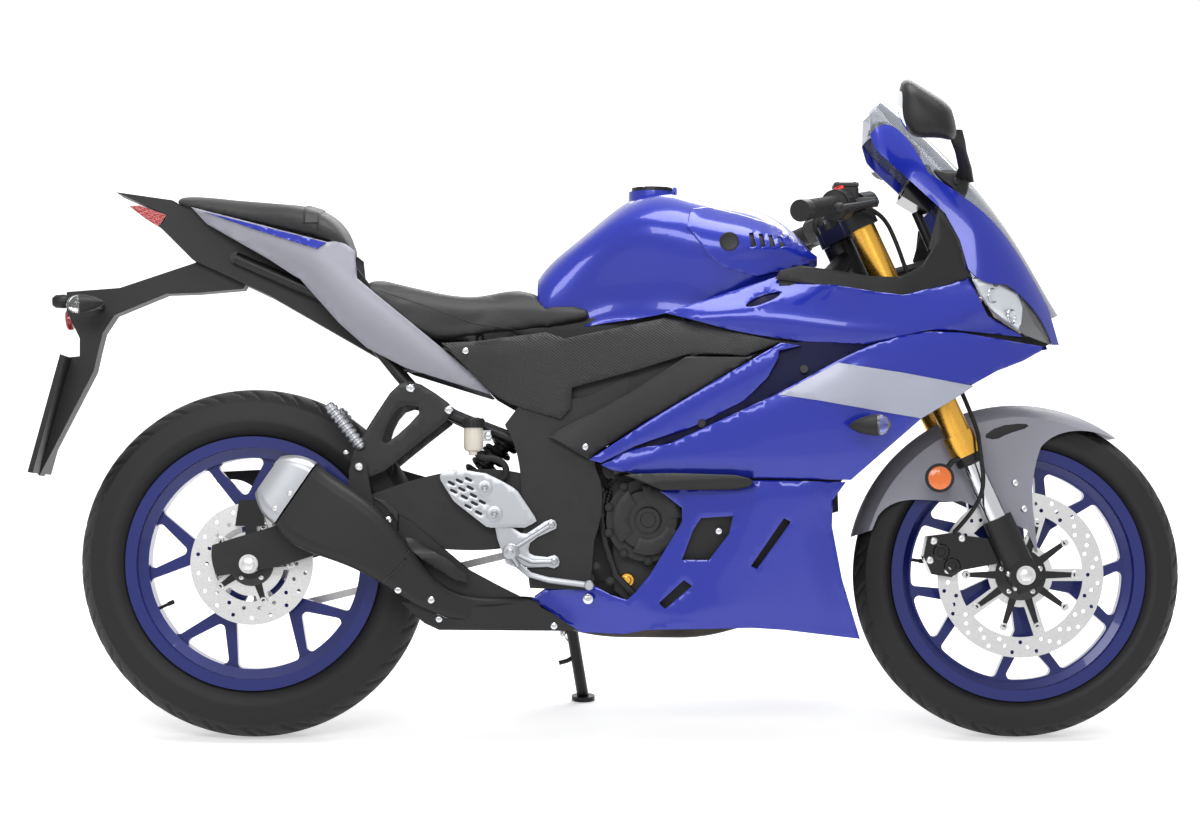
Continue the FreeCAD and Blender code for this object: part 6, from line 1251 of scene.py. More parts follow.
# The rear spring is wound from round wire over the damper's body, between its two seats, and is
# coated black.
spring_top = at((521, 428))
spring_foot = at((474.5, 476))
spring_way = spring_foot - spring_top
one, two = frame_about(spring_way.normalized())
turns = 7
coil = []
for number in range(turns * 20 + 1):
    turn = 2 * math.pi * number / 20
    out = one * math.cos(turn) + two * math.sin(turn)
    coil.append(spring_top + spring_way * (number / (turns * 20)) + out * 21)
spring = tube(coil, 4.6, 10)
damper = turned(at((537, 411)), at((466, 485)) - at((537, 411)),
                ((6, 13), (20, 17), (26, 26), (30, 26), (32, 14), (110, 14), (112, 25), (118, 25), (120, 12),
                 (150, 12)), 28)
spring_piece = piece_of("rear_spring", *together(spring, damper), "chassis", "dark_alloy", dark_alloy)
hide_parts("rear_shock")

# Engine: a dark painted block with ribbed covers. The clutch cover's rim is screwed all round, its face
# has raised segments, and the oil filler has a gold cap.
engine_metal = finish("engine_metal", (0.014, 0.014, 0.015), metal=0.2, rough=0.45, gloss=0.35)
sand = pattern(engine_metal, "ShaderNodeTexNoise", 1200, Detail=4)
emboss(engine_metal, sand.outputs["Fac"], 0.08)
dress(engine_metal, "engine")
gold = finish("gold_anodised", (0.66, 0.36, 0.06), metal=1.0, rough=0.3)
drawn = pattern(gold, "ShaderNodeTexNoise", 500)
vary(gold, "Roughness", drawn.outputs["Fac"], 0.24, 0.36)
engine_skin = skin_of("engine")
clutch_px = (648, 520)
clutch_face = depth_on(engine_skin, clutch_px, 150)
segments = []
for number in range(3):
    start = math.radians(20 + number * 120)
    outline = []
    for radius, order in ((35, 1), (19, -1)):
        for step in range(13)[::order]:
            turn = start + math.radians(96) * step / 12
            outline.append((clutch_px[0] + math.cos(turn) * radius, clutch_px[1] + math.sin(turn) * radius))
    segments.append(shell(outline, None, clutch_face + 2.5, 4, None, step=6, edge=0.8, smooth=0))
segments.append(turned(at(clutch_px, clutch_face), rightwards,
                       ((0, 24), (3, 24), (5, 21), (5, 14), (3.5, 13)), 48))
rim_face = depth_on(engine_skin, (clutch_px[0], clutch_px[1] + 38), 140)
for number in range(10):
    turn = 2 * math.pi * (number + 0.5) / 10
    place = (clutch_px[0] + math.cos(turn) * 41, clutch_px[1] + math.sin(turn) * 41)
    segments.append(turned(at(place, rim_face - 4), rightwards, ((0, 8), (6, 8), (7, 7)), 20))
    segments.append(nut(at(place, rim_face + 3), rightwards, 4.6, 4))
for number in range(6):
    row = 486 + number * 3.2
    segments.append(tube([at((604, row), 92), at((612 - number, row), 118)], 2.4, 8))
case_line = [(612, 479), (604, 492), (601, 515), (606, 545), (616, 575), (634, 594)]
segments.append(tube([at(pixel, 112) for pixel in case_line], 6, 10))
for pixel in ((600, 491), (600, 515), (587, 551), (610, 581), (596, 566)):
    segments.append(nut(at(pixel, 116), rightwards, 6, 5))
piece_of("engine_ribs", *together(*segments), "chassis", "engine_metal", engine_metal)
cap_face = depth_on(engine_skin, (627, 580), 110)
filler = turned(at((627, 580), cap_face - 2), rightwards,
                ((0, 13), (8, 13), (10, 11.5), (10, 8), (14, 7.5), (15, 6)), 14)
piece_of("oil_cap", *filler, "chassis", "gold_anodised", gold)

# Exhaust: a pressed black muffler with a cast end cap, whose outlet is a short turned pipe, and a
# screwed black guard along the pipe under the engine.
dress(cast_alloy, "muffler_end_cap")
outlet_start = at((279, 476), 158)
outlet_way = (at((262, 466), 158) - outlet_start).normalized()
outlet = turned(outlet_start - outlet_way * 4, outlet_way, ((0, 20.5), (7, 20.5), (7, 15), (-14, 15)), 40)
piece_of("exhaust_outlet", *outlet, "chassis", "steel", steel)
guard_skin = skin_of("exhaust_guard", "muffler")
guard_screws = []
for pixel in ((398, 590), (431, 600), (439, 619), (554, 626), (388, 520)):
    guard_screws.append(side_screw(pixel, depth_on(guard_skin, pixel, 150), 6, 3))
piece_of("guard_screws", *together(*guard_screws), "chassis", "chrome", chrome)

# Front end: gold outer tubes with black seals at their feet, chromed inner tubes, black axle clamps,
# black calipers with screwed halves, an orange side reflector and a nut on the axle.
dress(gold, "fork_tubes")
dress(chrome, "fork_stanchions")
dress(dark_alloy, "fork_feet", "handlebars", "yokes", "fuel_cap")
dress(gloss_black, "instrument_panel", "front_caliper", "rear_caliper")


fork_side = 105.0
fork_way = Vector((-0.4226, 0, 0.9063))
fork_front = Vector((0.9063, 0, 0.4226))


def on_fork(side, along, ahead=0.0, out=0.0):
    """A place on a fork leg: along from the axle, ahead of it and out to its side."""
    foot = Vector((690.0, side * fork_side, 295.0))
    return foot + fork_way * along + fork_front * ahead + across * (side * out)


seals, bands = [], []
for side in (-1, 1):
    leg_way = on_fork(side, 1) - on_fork(side, 0)
    seals.append(turned(on_fork(side, 218), leg_way, ((0, 22), (3, 25), (14, 26), (18, 26), (19, 24)), 32))
    bands.append(turned(on_fork(side, 700), leg_way, ((0, 25.2), (14, 25.2), (15, 24.4)), 40))
    seals.append(turned(on_fork(side, 236), leg_way, ((0, 25), (1, 27), (12, 27), (13, 25)), 32))
    seals.append(turned(on_fork(side, 722), leg_way, ((0, 23), (5, 23), (7, 20), (7, 12), (11, 11), (12, 9)),
                        32))
piece_of("fork_seals", *together(*(seals + bands)), "steering", "dark_alloy", dark_alloy)
clamp_screws = []
for side in (-1, 1):
    for along in (-14, 14):
        place = on_fork(side, along, -24, 10)
        clamp_screws.append(screw(place, on_fork(side, 0, -1) - on_fork(side, 0), 6, 4))
caliper_face = box_of("front_caliper")[0].y
for pixel in ((934, 541), (948, 570), (962, 538), (930, 560)):
    clamp_screws.append(side_screw(pixel, -caliper_face - 1, 7, 4))
piece_of("fork_screws", *together(*clamp_screws), "steering", "steel", steel)
pistons = [turned(at(pixel, -caliper_face - 3), rightwards, ((0, 15), (5, 15), (7, 13), (7, 8), (5, 7)), 32)
           for pixel in ((941, 552), (952, 566))]
piece_of("caliper_pistons", *together(*pistons), "steering", "gloss_black", gloss_black)
amber = finish("amber_lens", (0.8, 0.16, 0.01), rough=0.15, coat=0.5)
ribs = pattern(amber, "ShaderNodeTexVoronoi", 260)
emboss(amber, ribs.outputs["Distance"], 0.3)
reflector_at = at((939.5, 478), 134)
reflector = turned(reflector_at, rightwards, ((0, 22), (5, 22), (7.5, 18), (8.5, 10), (8.8, 2)), 48)
reflector_ring = turned(reflector_at - rightwards * 5, rightwards,
                        ((0, 20), (4, 25), (8, 26), (11, 25), (11, 23)), 48)
reflector_arm = tube([reflector_at - rightwards * 2, at((952, 462), 128), on_fork(-1, 238, 10, 10)], 5, 10)
piece_of("side_reflector", *reflector, "steering", "red_lens", amber)
piece_of("reflector_holder", *together(reflector_ring, reflector_arm), "steering", "black_plastic",
         black_plastic)
fender_skin = skin_of("front_mudguard")
fender_bolts = [side_screw(pixel, depth_on(fender_skin, pixel, 70), 6, 3) for pixel in ((1015, 483),
                                                                                        (1024, 509))]
pair_of("fender_bolts", together(*fender_bolts), "steering", "chrome", chrome)
for wheel, axle, reach, body in (("front", front_axle, box_of("front_axle"), "steering"),
                                 ("rear", rear_axle, box_of("rear_axle"), "chassis")):
    end = nut(Vector((axle.x, reach[0].y + 5, axle.z)), rightwards, 12, 9)
    piece_of(wheel + "_axle_nut", *end, body, "steel", steel)

# Bars and controls: ribbed rubber grips, turned bar ends, switch housings, and the fluid box with its
# screwed lid.
bar_way = {-1: Vector((-0.4788, -0.8639, -0.1564)), 1: Vector((-0.4788, 0.8639, -0.1564))}
bar_foot = {-1: Vector((411.2, -105.0, 963.8)), 1: Vector((411.2, 105.0, 963.8))}
grip_parts, end_parts, box_parts, switches = [], [], [], []
for side in (-1, 1):
    start = bar_foot[side] + bar_way[side] * 142
    profile = [(0, 24), (3, 26), (5, 20)]
    for number in range(13):
        along = 8 + number * 8.6
        profile += [(along, 15.6), (along + 1.4, 17.2), (along + 6.2, 17.2), (along + 7.6, 15.6)]
    profile += [(122, 15)]
    grip_parts.append(turned(start, bar_way[side], profile, 28))
    end_parts.append(turned(start + bar_way[side] * 123, bar_way[side],
                            ((0, 14), (2, 18.6), (14, 18.6), (16, 16), (16, 9), (18, 8), (20, 6)), 32))
    box_parts.append(turned(bar_foot[side] + bar_way[side] * 106, bar_way[side],
                            ((0, 21), (3, 27.5), (16, 29), (30, 28), (35, 24)), 8, 0.4))
    for along, lift in ((112, 26), (124, 27)):
        switches.append(turned(bar_foot[side] + bar_way[side] * along + up * lift, Vector((-0.5, 0, 1)),
                               ((0, 5), (3, 5), (4, 4)), 14))
grip_piece = piece_of("ribbed_grips", *together(*grip_parts), "steering", "rubber", rubber)
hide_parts("grips")
piece_of("bar_ends", *together(*end_parts), "steering", "dark_alloy", dark_alloy)
piece_of("switch_boxes", *together(*(box_parts + switches)), "steering", "black_plastic", black_plastic)
red_switch = finish("red_switch", (0.55, 0.01, 0.01), rough=0.35)
wave = pattern(red_switch, "ShaderNodeTexNoise", 200)
emboss(red_switch, wave.outputs["Fac"], 0.02)
stop_at = bar_foot[-1] + bar_way[-1] * 120 + up * 24
piece_of("stop_switch", *turned(stop_at, Vector((-0.3, -0.5, 1)), ((0, 9), (6, 9), (8, 7)), 18), "steering",
         "red_lens", red_switch)
fluid_box = bar_foot[-1] + bar_way[-1] * 96 + up * 29
lid = turned(fluid_box - up * 1, up, ((0, 31), (5, 31), (7, 29)), 4, math.pi / 4)
lid_screws = [screw(fluid_box + up * 6 + Vector((x, y, 0)), up, 3, 1.6) for x in (-15, 15) for y in (-15, 15)]
piece_of("fluid_box_lid", *together(lid, *lid_screws), "steering", "dark_alloy", dark_alloy)

# Tank: a pressed steel shell with plastic front covers, which are set proud of it and have four
# slanted slots and a plain round disc.
tank_skin = skin_of("fuel_tank")
tank_cover_px = [(690, 209), (708, 206.5), (740, 214), (779, 226), (799, 242), (815, 258), (808, 264),
                 (776, 272), (755, 277),
                 (722, 266), (709, 255), (687, 226)]
louvres = []
for number in range(4):
    x = 749 + number * 9.5
    louvres.append([(x, 233 + number * 1.2), (x + 4, 232.5 + number * 1.2), (x + 7.5, 246), (x + 3, 247.5)])


def cover_rise(pixel):
    dip = [(722, 260), (760, 250), (803, 250), (790, 262), (760, 271)]
    return -4.0 * min(1.0, distance(pixel, dip) / 4.0) if inside(pixel, dip) else 0.0


tank_cover = shell(tank_cover_px, tank_skin, 130, 6, cover_rise, holes=louvres, step=4, edge=0.8, lift=6.0,
                   smooth=2)
slot_floor_px = [(743, 229), (790, 234), (793, 251), (747, 251)]
slot_floor = shell(slot_floor_px, tank_skin, 130, 1, None, step=4, edge=0.3, lift=1.2, smooth=1)
pair_of("tank_slot_floors", slot_floor, "chassis", "black_plastic", black_plastic)
pair_of("tank_covers", tank_cover, "chassis", "body_paint", body_paint)
disc_spot = (729, 241.5)
disc = turned(at(disc_spot, depth_on(tank_skin, disc_spot, 130) + 4), rightwards,
              ((0, 17), (3.5, 17), (4.5, 15), (4.0, 13), (4.2, 2)), 48)
pair_of("tank_discs", disc, "chassis", "dark_alloy", dark_alloy)
cap_middle = Vector((30, 0, 981 + 8 + 7.5))
ring_screws = []
for number in range(6):
    turn = 2 * math.pi * (number + 0.5) / 6
    ring_screws.append(screw(cap_middle + Vector((math.cos(turn) * 29, math.sin(turn) * 29, -0.3)), up, 4, 2))
lock = turned(cap_middle + Vector((-8, 0, -0.5)), up, ((0, 12), (2.5, 12), (3.5, 10), (2.5, 4)), 28)
piece_of("cap_screws", *together(lock, *ring_screws), "fuel_cap", "chrome", chrome)

# Lamps: behind the headlamps' clear lenses lie silvered bowls with a dark projector, and their front
# ends are black.
lamp_skin = skin_of("headlamps")
lamp_silver = finish("lamp_silver", (0.8, 0.81, 0.83), metal=0.55, rough=0.28)
facets = pattern(lamp_silver, "ShaderNodeTexVoronoi", 60)
emboss(lamp_silver, facets.outputs["Distance"], 0.8)
bowl = shell([(972, 279), (980, 278), (996, 284), (1017, 294), (1022, 308), (1020, 334), (994, 317),
              (979, 293)],
             lamp_skin, 90, 2, None, step=4, lift=-7)
pair_of("lamp_bowls", bowl, "chassis", "chrome", lamp_silver)
dark_end = shell([(1016, 292), (1031, 310), (1049, 344), (1018, 334), (1021, 308)], lamp_skin, 90, 2, None,
                 step=4, lift=-5)
pair_of("lamp_ends", dark_end, "chassis", "gloss_black", gloss_black)
mirrors_in = []
for pixel, radius in (((990, 296), 12), ((1009, 317), 12)):
    mirrors_in.append(turned(at(pixel, depth_on(lamp_skin, pixel, 90) - 7), Vector((0.75, -0.65, 0.1)),
                             ((0, radius * 0.4), (2, radius * 0.8), (6, radius), (7, radius * 1.1),
                              (6, radius * 1.14), (-1, radius * 0.5)), 32))
pair_of("lamp_reflectors", together(*mirrors_in), "chassis", "chrome", chrome)

# Cockpit: black moulded trims close the gap between the cowl and the upper fairing. The mirrors are
# black housings on stalks that are bolted to the cowl, with silvered glass towards the rider, and the
# instruments sit in a black housing with two round dials.
trim_outline = [
    (775, 279), (780, 270.5), (800, 265.5), (835, 270), (870, 276), (900, 277), (922, 265.5), (934, 246),
    (937, 214),
    (950, 230), (958.5, 247.5), (964.5, 267), (970.5, 272.5), (966, 279), (935, 289.5), (903, 297.5),
    (890, 297.5),
    (878, 294.5), (831, 287.5), (795, 281.5),
]


def trim_relief(pixel):
    return max(-22.0, fold(pixel, [(775, 280), (831, 285), (890, 296), (935, 286), (968, 276)], 0.9))


trim = shell(trim_outline, upper_skin, 190, 5, trim_relief, step=5, lift=-1.5, smooth=4)
pair_of("cockpit_trims", trim, "chassis", "black_plastic", black_plastic)
trim_px = (806, 274)
trim_bolt = side_screw(trim_px, depth_on(upper_skin, trim_px, 190) - 6, 6, 3)
pair_of("trim_bolts", trim_bolt, "chassis", "chrome", chrome)

mirror_px = rounded([(903, 76), (925, 89), (950, 105), (955, 120), (957, 134), (953, 141), (938, 137.5),
                     (914, 138),
                     (904, 127), (898, 114), (898, 96)], 2)
mirror_rings = ((228, 0.66), (234, 0.86), (246, 0.97), (270, 1.0), (306, 0.985), (330, 0.92), (345, 0.78),
                (352, 0.55), (355, 0.2))


def mirror_part(rings_px):
    """A housing whose outline, seen from the side, grows and shrinks with its distance out."""
    middle = (sum(p[0] for p in mirror_px) / len(mirror_px), sum(p[1] for p in mirror_px) / len(mirror_px))
    points = []
    for depth, size in rings_px:
        for pixel in mirror_px:
            points.append(at([middle[way] + (pixel[way] - middle[way]) * size for way in (0, 1)], depth))
    return lofted(points, len(mirror_px))


stalk_rings = ((956, 130, 240, 7.5), (958, 141, 232, 8.5), (961, 152, 205, 7.0), (965, 168, 150, 8.0),
               (964, 182, 112, 12.0))
stalk_points = []
stalk_sides = 16
for column, row, depth, radius in stalk_rings:
    for number in range(stalk_sides):
        turn = 2 * math.pi * number / stalk_sides
        ahead = forwards * (math.cos(turn) * radius * 1.5)
        stalk_points.append(at((column, row), depth) + ahead + across * (math.sin(turn) * radius))
base_px = rounded([(931, 169), (944, 171), (957, 170), (970, 175), (968, 190), (964, 200), (955, 193),
                   (940, 180)], 1)
base_plate = plate(base_px, 88, 126, 6.0)
base_bolt = side_screw((957, 181), 126.5, 7, 3)
stalk = lofted(stalk_points, stalk_sides)
mirror_housing = together(mirror_part(mirror_rings), stalk, base_plate, base_bolt)
mirror_pair = pair_of("mirror_housings", mirror_housing, "chassis", "black_plastic", black_plastic, sharp=50)
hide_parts("mirrors")
glass_points, glass_faces = [], []
glass_rows, glass_columns = 12, 16
housing_skin = BVHTree.FromPolygons(*mirror_part(mirror_rings))
glass_middle = at((928, 112), 292)
for row in range(glass_rows + 1):
    for column in range(glass_columns + 1):
        high = (row / glass_rows * 2 - 1)
        wide = (column / glass_columns * 2 - 1)
        round_out = 1.0 - 0.16 * (high * wide) ** 2
        place = glass_middle + up * (high * 34 * round_out) + across * (wide * 48 * round_out)
        hit = housing_skin.ray_cast(place - forwards * 300, forwards)[0]
        glass_points.append((hit or place) - forwards * 1.0)
for row in range(glass_rows):
    for column in range(glass_columns):
        start = row * (glass_columns + 1) + column
        glass_faces.append((start, start + 1, start + glass_columns + 2, start + glass_columns + 1))
mirror_glass = finish("mirror_glass", (0.85, 0.87, 0.9), metal=1.0, rough=0.03)
tint = pattern(mirror_glass, "ShaderNodeTexNoise", 20)
vary(mirror_glass, "Roughness", tint.outputs["Fac"], 0.02, 0.05)
pair_of("mirror_glasses", (glass_points, glass_faces), "chassis", "chrome", mirror_glass)

dial_low, dial_high = at((899, 200), 0), at((909, 179), 0)
dial_way = Vector((-(dial_high - dial_low).z, 0, (dial_high - dial_low).x)).normalized()
if dial_way.x > 0:
    dial_way = -dial_way
dial_middle = (dial_low + dial_high) / 2
dials = []
for aside, radius in ((20, 19), (-24, 17)):
    dials.append(turned(dial_middle + across * aside, dial_way,
                        ((-2, radius), (2.0, radius), (3.0, radius - 2), (1.0, radius - 3),
                                                                 (0.6, 1)), 40))
piece_of("dials", *together(*dials), "chassis", "gloss_black", gloss_black)

# Indicators: black rubbery teardrops on short stalks, each with a clear moulded dome. The front pair
# stands on the side fairing, the rear pair on the plate holder.
indicator_shells, indicator_domes = [], []
for tail_px, mouth_px, foot_side, tip_side, size in (((849, 426), (878, 425), 211, 255, 19),
                                                     ((104, 303), (79, 304), 26.5, 112, 17)):
    tail_at = at(tail_px, tip_side)
    mouth_at = at(mouth_px, tip_side + 8)
    way = (mouth_at - tail_at).normalized()
    length = (mouth_at - tail_at).length
    indicator_shells.append(turned(tail_at, way,
                                   ((0, 2), (length * 0.12, size * 0.36), (length * 0.35, size * 0.66),
                                                  (length * 0.7, size * 0.92), (length, size),
                                                  (length + 1, size - 2)), 32))
    stalk_end = tail_at + way * (length * 0.45)
    indicator_shells.append(tube([Vector((stalk_end.x, -foot_side, stalk_end.z)), stalk_end], 8.0, 14))
    indicator_domes.append(turned(mouth_at, way,
                                  ((0, size - 0.5), (5, size - 0.8), (11, size * 0.86), (17, size * 0.64),
                                                  (21, size * 0.36), (22.5, 1)), 32))
shell_pair = pair_of("indicator_shells", together(*indicator_shells), "chassis", "black_plastic",
                     black_plastic)
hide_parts("indicators")

# Plate holder: a small lamp and a red reflector on its rear edge, and four chromed bolts that hold the
# plate.
lamp_at = at((66, 301.5), 0)
number_lamp = turned(lamp_at + forwards * 8, -forwards, ((0, 9), (10, 13), (26, 12), (32, 8)), 20)
piece_of("number_lamp", *number_lamp, "chassis", "dark_alloy", dark_alloy)
red_disc = turned(at((69.5, 320), 0), Vector((-1, 0, -0.1)), ((-6, 19), (2, 19), (5, 16), (6, 6)), 32)
plate_bolts = []
plate_low, plate_high = at((37, 473)), at((69, 357))
plate_way = Vector((-(plate_high - plate_low).z, 0, (plate_high - plate_low).x)).normalized()
if plate_way.x > 0:
    plate_way = -plate_way
for aside in (-70, 70):
    for share in (0.12, 0.9):
        plate_bolts.append(screw(plate_low + (plate_high - plate_low) * share + across * aside, plate_way, 6,
                                 2.5))
piece_of("plate_bolts", *together(*plate_bolts), "chassis", "chrome", chrome)

# The muffler's front end tucks under a moulded ridge that runs down to the collector, and the end cap
# is held by small screws.
ridge_px = [(371, 497), (384, 500), (397, 510), (405, 530), (428, 547), (452, 562), (467, 574), (468, 583),
            (455, 580), (424, 562), (410, 549), (398, 524), (385, 506)]
ridge_skin = skin_of("muffler", "exhaust_guard", "swingarm")


def ridge_relief(pixel):
    return 6 - 0.8 * min(8.0, distance(pixel, [(380, 502), (400, 520), (412, 545), (440, 562), (464, 579)],
                                       False))


ridge = shell(ridge_px, ridge_skin, 150, 10, ridge_relief, step=4, lift=2.0, edge=0.6)
piece_of("collector_ridge", *ridge, "chassis", "black_plastic", black_plastic)
cover_px = [(398, 514), (410, 520), (440, 545), (470, 570), (500, 586), (534, 603), (532, 613), (470, 612),
            (425, 602), (404, 588), (396, 556)]
piece_of("collector_cover", *plate(cover_px, 112, 122, 3), "chassis", "black_plastic", black_plastic)
muffler_skin = skin_of("muffler")
seam_line = [at(pixel, depth_on(muffler_skin, pixel, 150) + 0.3) for pixel in ((408, 551), (405, 560),
                                                                               (398, 569), (390, 576),
                                                                               (383, 581))]
piece_of("muffler_seam", *tube(seam_line, 1.8, 8), "chassis", "gloss_black", gloss_black)
cap_skin = skin_of("muffler_end_cap")
end_screws = [side_screw(pixel, depth_on(cap_skin, pixel, 150), 4.5, 2.5) for pixel in ((290, 493.5),
                                                                                        (275, 508.5))]
end_screws.append(side_screw((359, 467), hanger_inner + 22, 8, 5))
end_screws.append(side_screw((346, 452.5), hanger_inner + 8, 5, 3))
piece_of("muffler_screws", *together(*end_screws), "chassis", "steel", steel)

# Chain: inner and outer steel plates on rollers, each link one pitch long, round the two sprockets.
chain_y = 83.0
pitch = 15.875
rear_teeth, front_teeth = 36, 14
front_middle = Vector((at((604, 512), -chain_y).x, 0, at((604, 512), -chain_y).z))
rear_middle = Vector((rear_axle.x, 0, rear_axle.z))
rear_round = pitch / (2 * math.sin(math.pi / rear_teeth))
front_round = pitch / (2 * math.sin(math.pi / front_teeth))
gap = front_middle - rear_middle
along = gap.normalized()
above = Vector((-along.z, 0, along.x))
lean = math.asin((rear_round - front_round) / gap.length)
run_length = gap.length * math.cos(lean)
rear_arc = rear_round * (math.pi + 2 * lean)
front_arc = front_round * (math.pi - 2 * lean)
whole_length = 2 * run_length + rear_arc + front_arc


def on_chain(travel):
    """The place and direction on the chain's pitch line after some travel from the top run's rear end."""
    travel = travel % whole_length
    top = above * math.cos(lean) + along * math.sin(lean)
    low = above * -math.cos(lean) + along * math.sin(lean)
    if travel < run_length:
        start = rear_middle + top * rear_round
        end = front_middle + top * front_round
        return start + (end - start) * (travel / run_length), (end - start).normalized()
    travel -= run_length
    if travel < front_arc:
        turn = math.pi / 2 - lean - travel / front_round
        out = along * math.cos(turn) + above * math.sin(turn)
        return front_middle + out * front_round, (along * math.sin(turn) - above * math.cos(turn))
    travel -= front_arc
    if travel < run_length:
        start = front_middle + low * front_round
        end = rear_middle + low * rear_round
        return start + (end - start) * (travel / run_length), (end - start).normalized()
    travel -= run_length
    turn = -math.pi / 2 + lean - travel / rear_round
    out = along * math.cos(turn) + above * math.sin(turn)
    return rear_middle + out * rear_round, (along * math.sin(turn) - above * math.cos(turn))


links = round(whole_length / pitch)
link_parts = []
for number in range(links):
    here, _ = on_chain(number * whole_length / links)
    there, _ = on_chain((number + 1) * whole_length / links)
    way = (there - here).normalized()
    square = Vector((-way.z, 0, way.x))
    link_parts.append(turned(here + across * (chain_y - 6.5), across, ((0, 4.6), (13, 4.6)), 10))
    outer = number % 2
    for inner_y, outer_y in (((-7.4, -5.6), (5.6, 7.4)) if outer else ((-5.4, -3.6), (3.6, 5.4))):
        line = []
        for middle, turns_from in ((here, 90), (there, -90)):
            for step in range(5):
                angle = math.radians(turns_from + 45 * step)
                line.append(middle + (way * math.cos(angle) + square * math.sin(angle)) * 6.6)
        count = len(line)
        points = [point + across * (chain_y + side_y) for side_y in (inner_y, outer_y) for point in line]
        faces = [(n, (n + 1) % count, count + (n + 1) % count, count + n) for n in range(count)]
        faces += [tuple(reversed(range(count))), tuple(range(count, 2 * count))]
        link_parts.append((points, faces))
link_parts.append(turned(front_middle + across * (chain_y - 3), across,
                         ((0, front_round - 6), (6, front_round - 6), (6, 12), (14, 12), (14, 5)), 28))
chain_piece = piece_of("chain_links", *together(*link_parts), "chassis", "steel", steel)
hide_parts("chain")
tooth_parts = []
for out, aside in ring_of(rear_teeth, 0.5):
    foot = rear_middle + out * (rear_round - 9)
    tooth = []
    for depth in (chain_y - 2.6, chain_y + 2.6):
        tooth += [foot - aside * 5.5 + across * depth, foot + aside * 5.5 + across * depth,
                  foot + out * 11 + aside * 1.6 + across * depth,
                  foot + out * 11 - aside * 1.6 + across * depth]
    tooth_parts.append((tooth, block_faces))
piece_of("sprocket_teeth", *together(*tooth_parts), "rear_wheel", "steel", steel)

# Left side: the generator's cover has a rim of bolts and a cast ring, and the side stand is pulled to
# its stops by a coil spring.
generator_px = (664, 520)
generator_side = 126.0
generator = Vector((at(generator_px, -generator_side).x, 0, at(generator_px, -generator_side).z))
cover_parts = [turned(generator + across * (generator_side - 0.5), across,
                      ((0, 44), (3, 44), (5, 41), (5, 30), (3, 28), (3, 12), (5, 10)), 48)]
for out, aside in ring_of(9):
    place = generator + Vector((out.x * 60, 0, out.z * 60)) + across * 110
    cover_parts.append(turned(place, across, ((0, 8), (8, 8), (9, 7)), 18))
    cover_parts.append(nut(place + across * 9, across, 4.6, 4))
piece_of("generator_ribs", *together(*cover_parts), "chassis", "engine_metal", engine_metal)
stand_pivot = Vector((-128.9, 157.0, 264.1))
splay, ahead_turn = math.radians(31), math.radians(9)
stand_way = Vector((math.sin(ahead_turn) * math.cos(splay), math.sin(splay),
                    -math.cos(ahead_turn) * math.cos(splay)))
stand_across = (across - stand_way * stand_way.dot(across)).normalized()
stand_front = stand_way.cross(stand_across).normalized()
spring_start = stand_pivot + stand_way * 24 - stand_front * 17
spring_line = []
spring_turns, turn_steps = 20, 14
spring_length, spring_radius = 74, 5.5
for number in range(spring_turns * turn_steps + 1):
    turn = 2 * math.pi * number / turn_steps
    round_way = stand_across * math.cos(turn) + stand_front * math.sin(turn)
    share = number / (spring_turns * turn_steps)
    spring_line.append(spring_start + stand_way * (share * spring_length) + round_way * spring_radius)
stand_spring = tube(spring_line, 1.3, 6)
hook = tube([spring_start - stand_way * 14 + stand_front * 4, spring_start], 1.5, 6)
anchor = tube([spring_start + stand_way * spring_length, spring_start + stand_way * 90 + stand_front * 6],
              1.5, 6)
foot_tang = tube([stand_pivot + stand_way * 150, stand_pivot + stand_way * 158 - stand_front * 18,
                  stand_pivot + stand_way * 160 - stand_front * 34], 4.5, 10)
piece_of("stand_spring", *together(stand_spring, hook, anchor), "side_stand", "steel", steel)
piece_of("stand_tang", *foot_tang, "side_stand", "frame_paint", frame_paint)
stand_lug = turned(stand_pivot - stand_across * 34, stand_across, ((0, 21), (9, 19), (25, 17), (25.6, 16)),
                   36)
stand_nut = nut(stand_pivot + stand_across * 8.4, stand_across, 9, 6)
piece_of("stand_lug", *together(stand_lug, stand_nut), "chassis", "frame_paint", frame_paint)

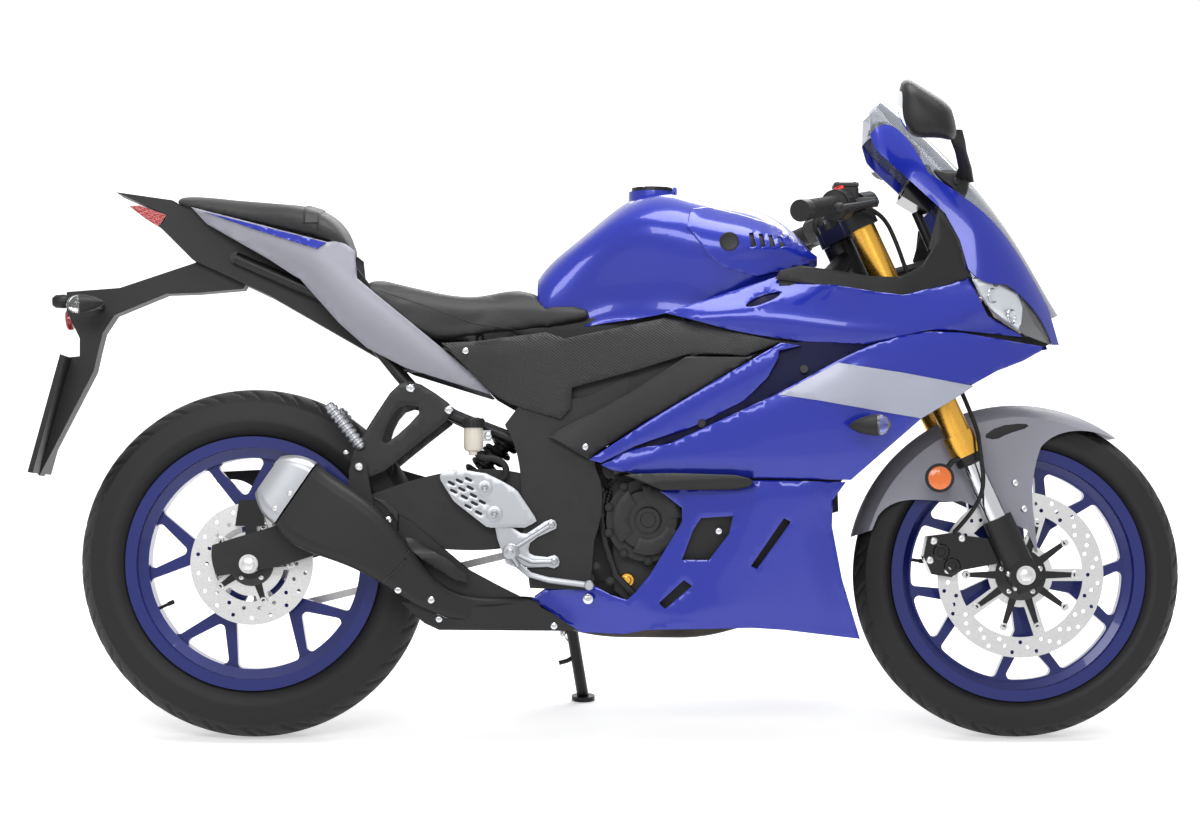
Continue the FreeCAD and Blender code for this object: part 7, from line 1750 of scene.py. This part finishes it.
# The radiator's core is a stack of thin aluminium fins between two side tanks, brazed and painted
# black. It hangs from the frame behind the front wheel.
radiator_fins = finish("radiator_fins", (0.02, 0.02, 0.021), metal=0.6, rough=0.45, gloss=0.3)
fins = pattern(radiator_fins, "ShaderNodeTexWave", 160, bands_direction="Z")
emboss(radiator_fins, fins.outputs["Fac"], 1.0)
dress(radiator_fins, "radiator")

# The front mudguard has a moulded recess at each side by the fork leg. Its shade is painted as a thin black
# inlay laid over the grey panel.
fender_slot_px = rounded([(982, 437), (998, 426), (1025, 423), (1030, 427), (1007, 434), (996, 440)], 1)
fender_slot_shade = shell(fender_slot_px, fender_skin, 62, 0.8, None, step=4, lift=1.0, edge=0.4, smooth=1)
pair_of("fender_shade_inlays", fender_slot_shade, "steering", "black_plastic", black_plastic)

# Black closing plates stand inside the nose and beside the engine, where the real bike's inner
# mouldings and wiring fill the gaps between the panels.
nose_px = [(988, 286), (1016, 292), (1036, 308), (1054, 342), (1042, 348), (1004, 342), (980, 306)]
engine_px = [(589, 462), (612, 466), (646, 480), (646, 596), (606, 598), (590, 580)]
closers = together(plate(nose_px, -3, 3), across_mirror(plate(engine_px, 56, 60)))
piece_of("inner_closers", *closers, "chassis", "black_plastic", black_plastic)

# Lenses are moulded in clear, red and smoked plastic and glued or screwed over their lamps. The screen
# is a thin curved sheet held by the cowl.
red_lens = finish("red_lens", (0.32, 0.003, 0.005), rough=0.15, coat=0.3)
ribs = pattern(red_lens, "ShaderNodeTexVoronoi", 300)
emboss(red_lens, ribs.outputs["Distance"], 0.3)
clear_lens = finish("clear_lens", (0.9, 0.92, 0.94), rough=0.03, through=0.95, ior=1.49)
ribs = pattern(clear_lens, "ShaderNodeTexNoise", 30)
emboss(clear_lens, ribs.outputs["Fac"], 0.05)
smoked_screen = finish("smoked_screen", (0.5, 0.52, 0.56), rough=0.03, through=0.9, ior=1.2)
ribs = pattern(smoked_screen, "ShaderNodeTexNoise", 20)
emboss(smoked_screen, ribs.outputs["Fac"], 0.02)
dress(red_lens, "tail_lamp")
dress(clear_lens, "headlamps")
pair_of("indicator_domes", together(*indicator_domes), "chassis", "clear_lens", clear_lens)
piece_of("tail_reflector", *red_disc, "chassis", "red_lens", red_lens)
dress(smoked_screen, "windscreen")
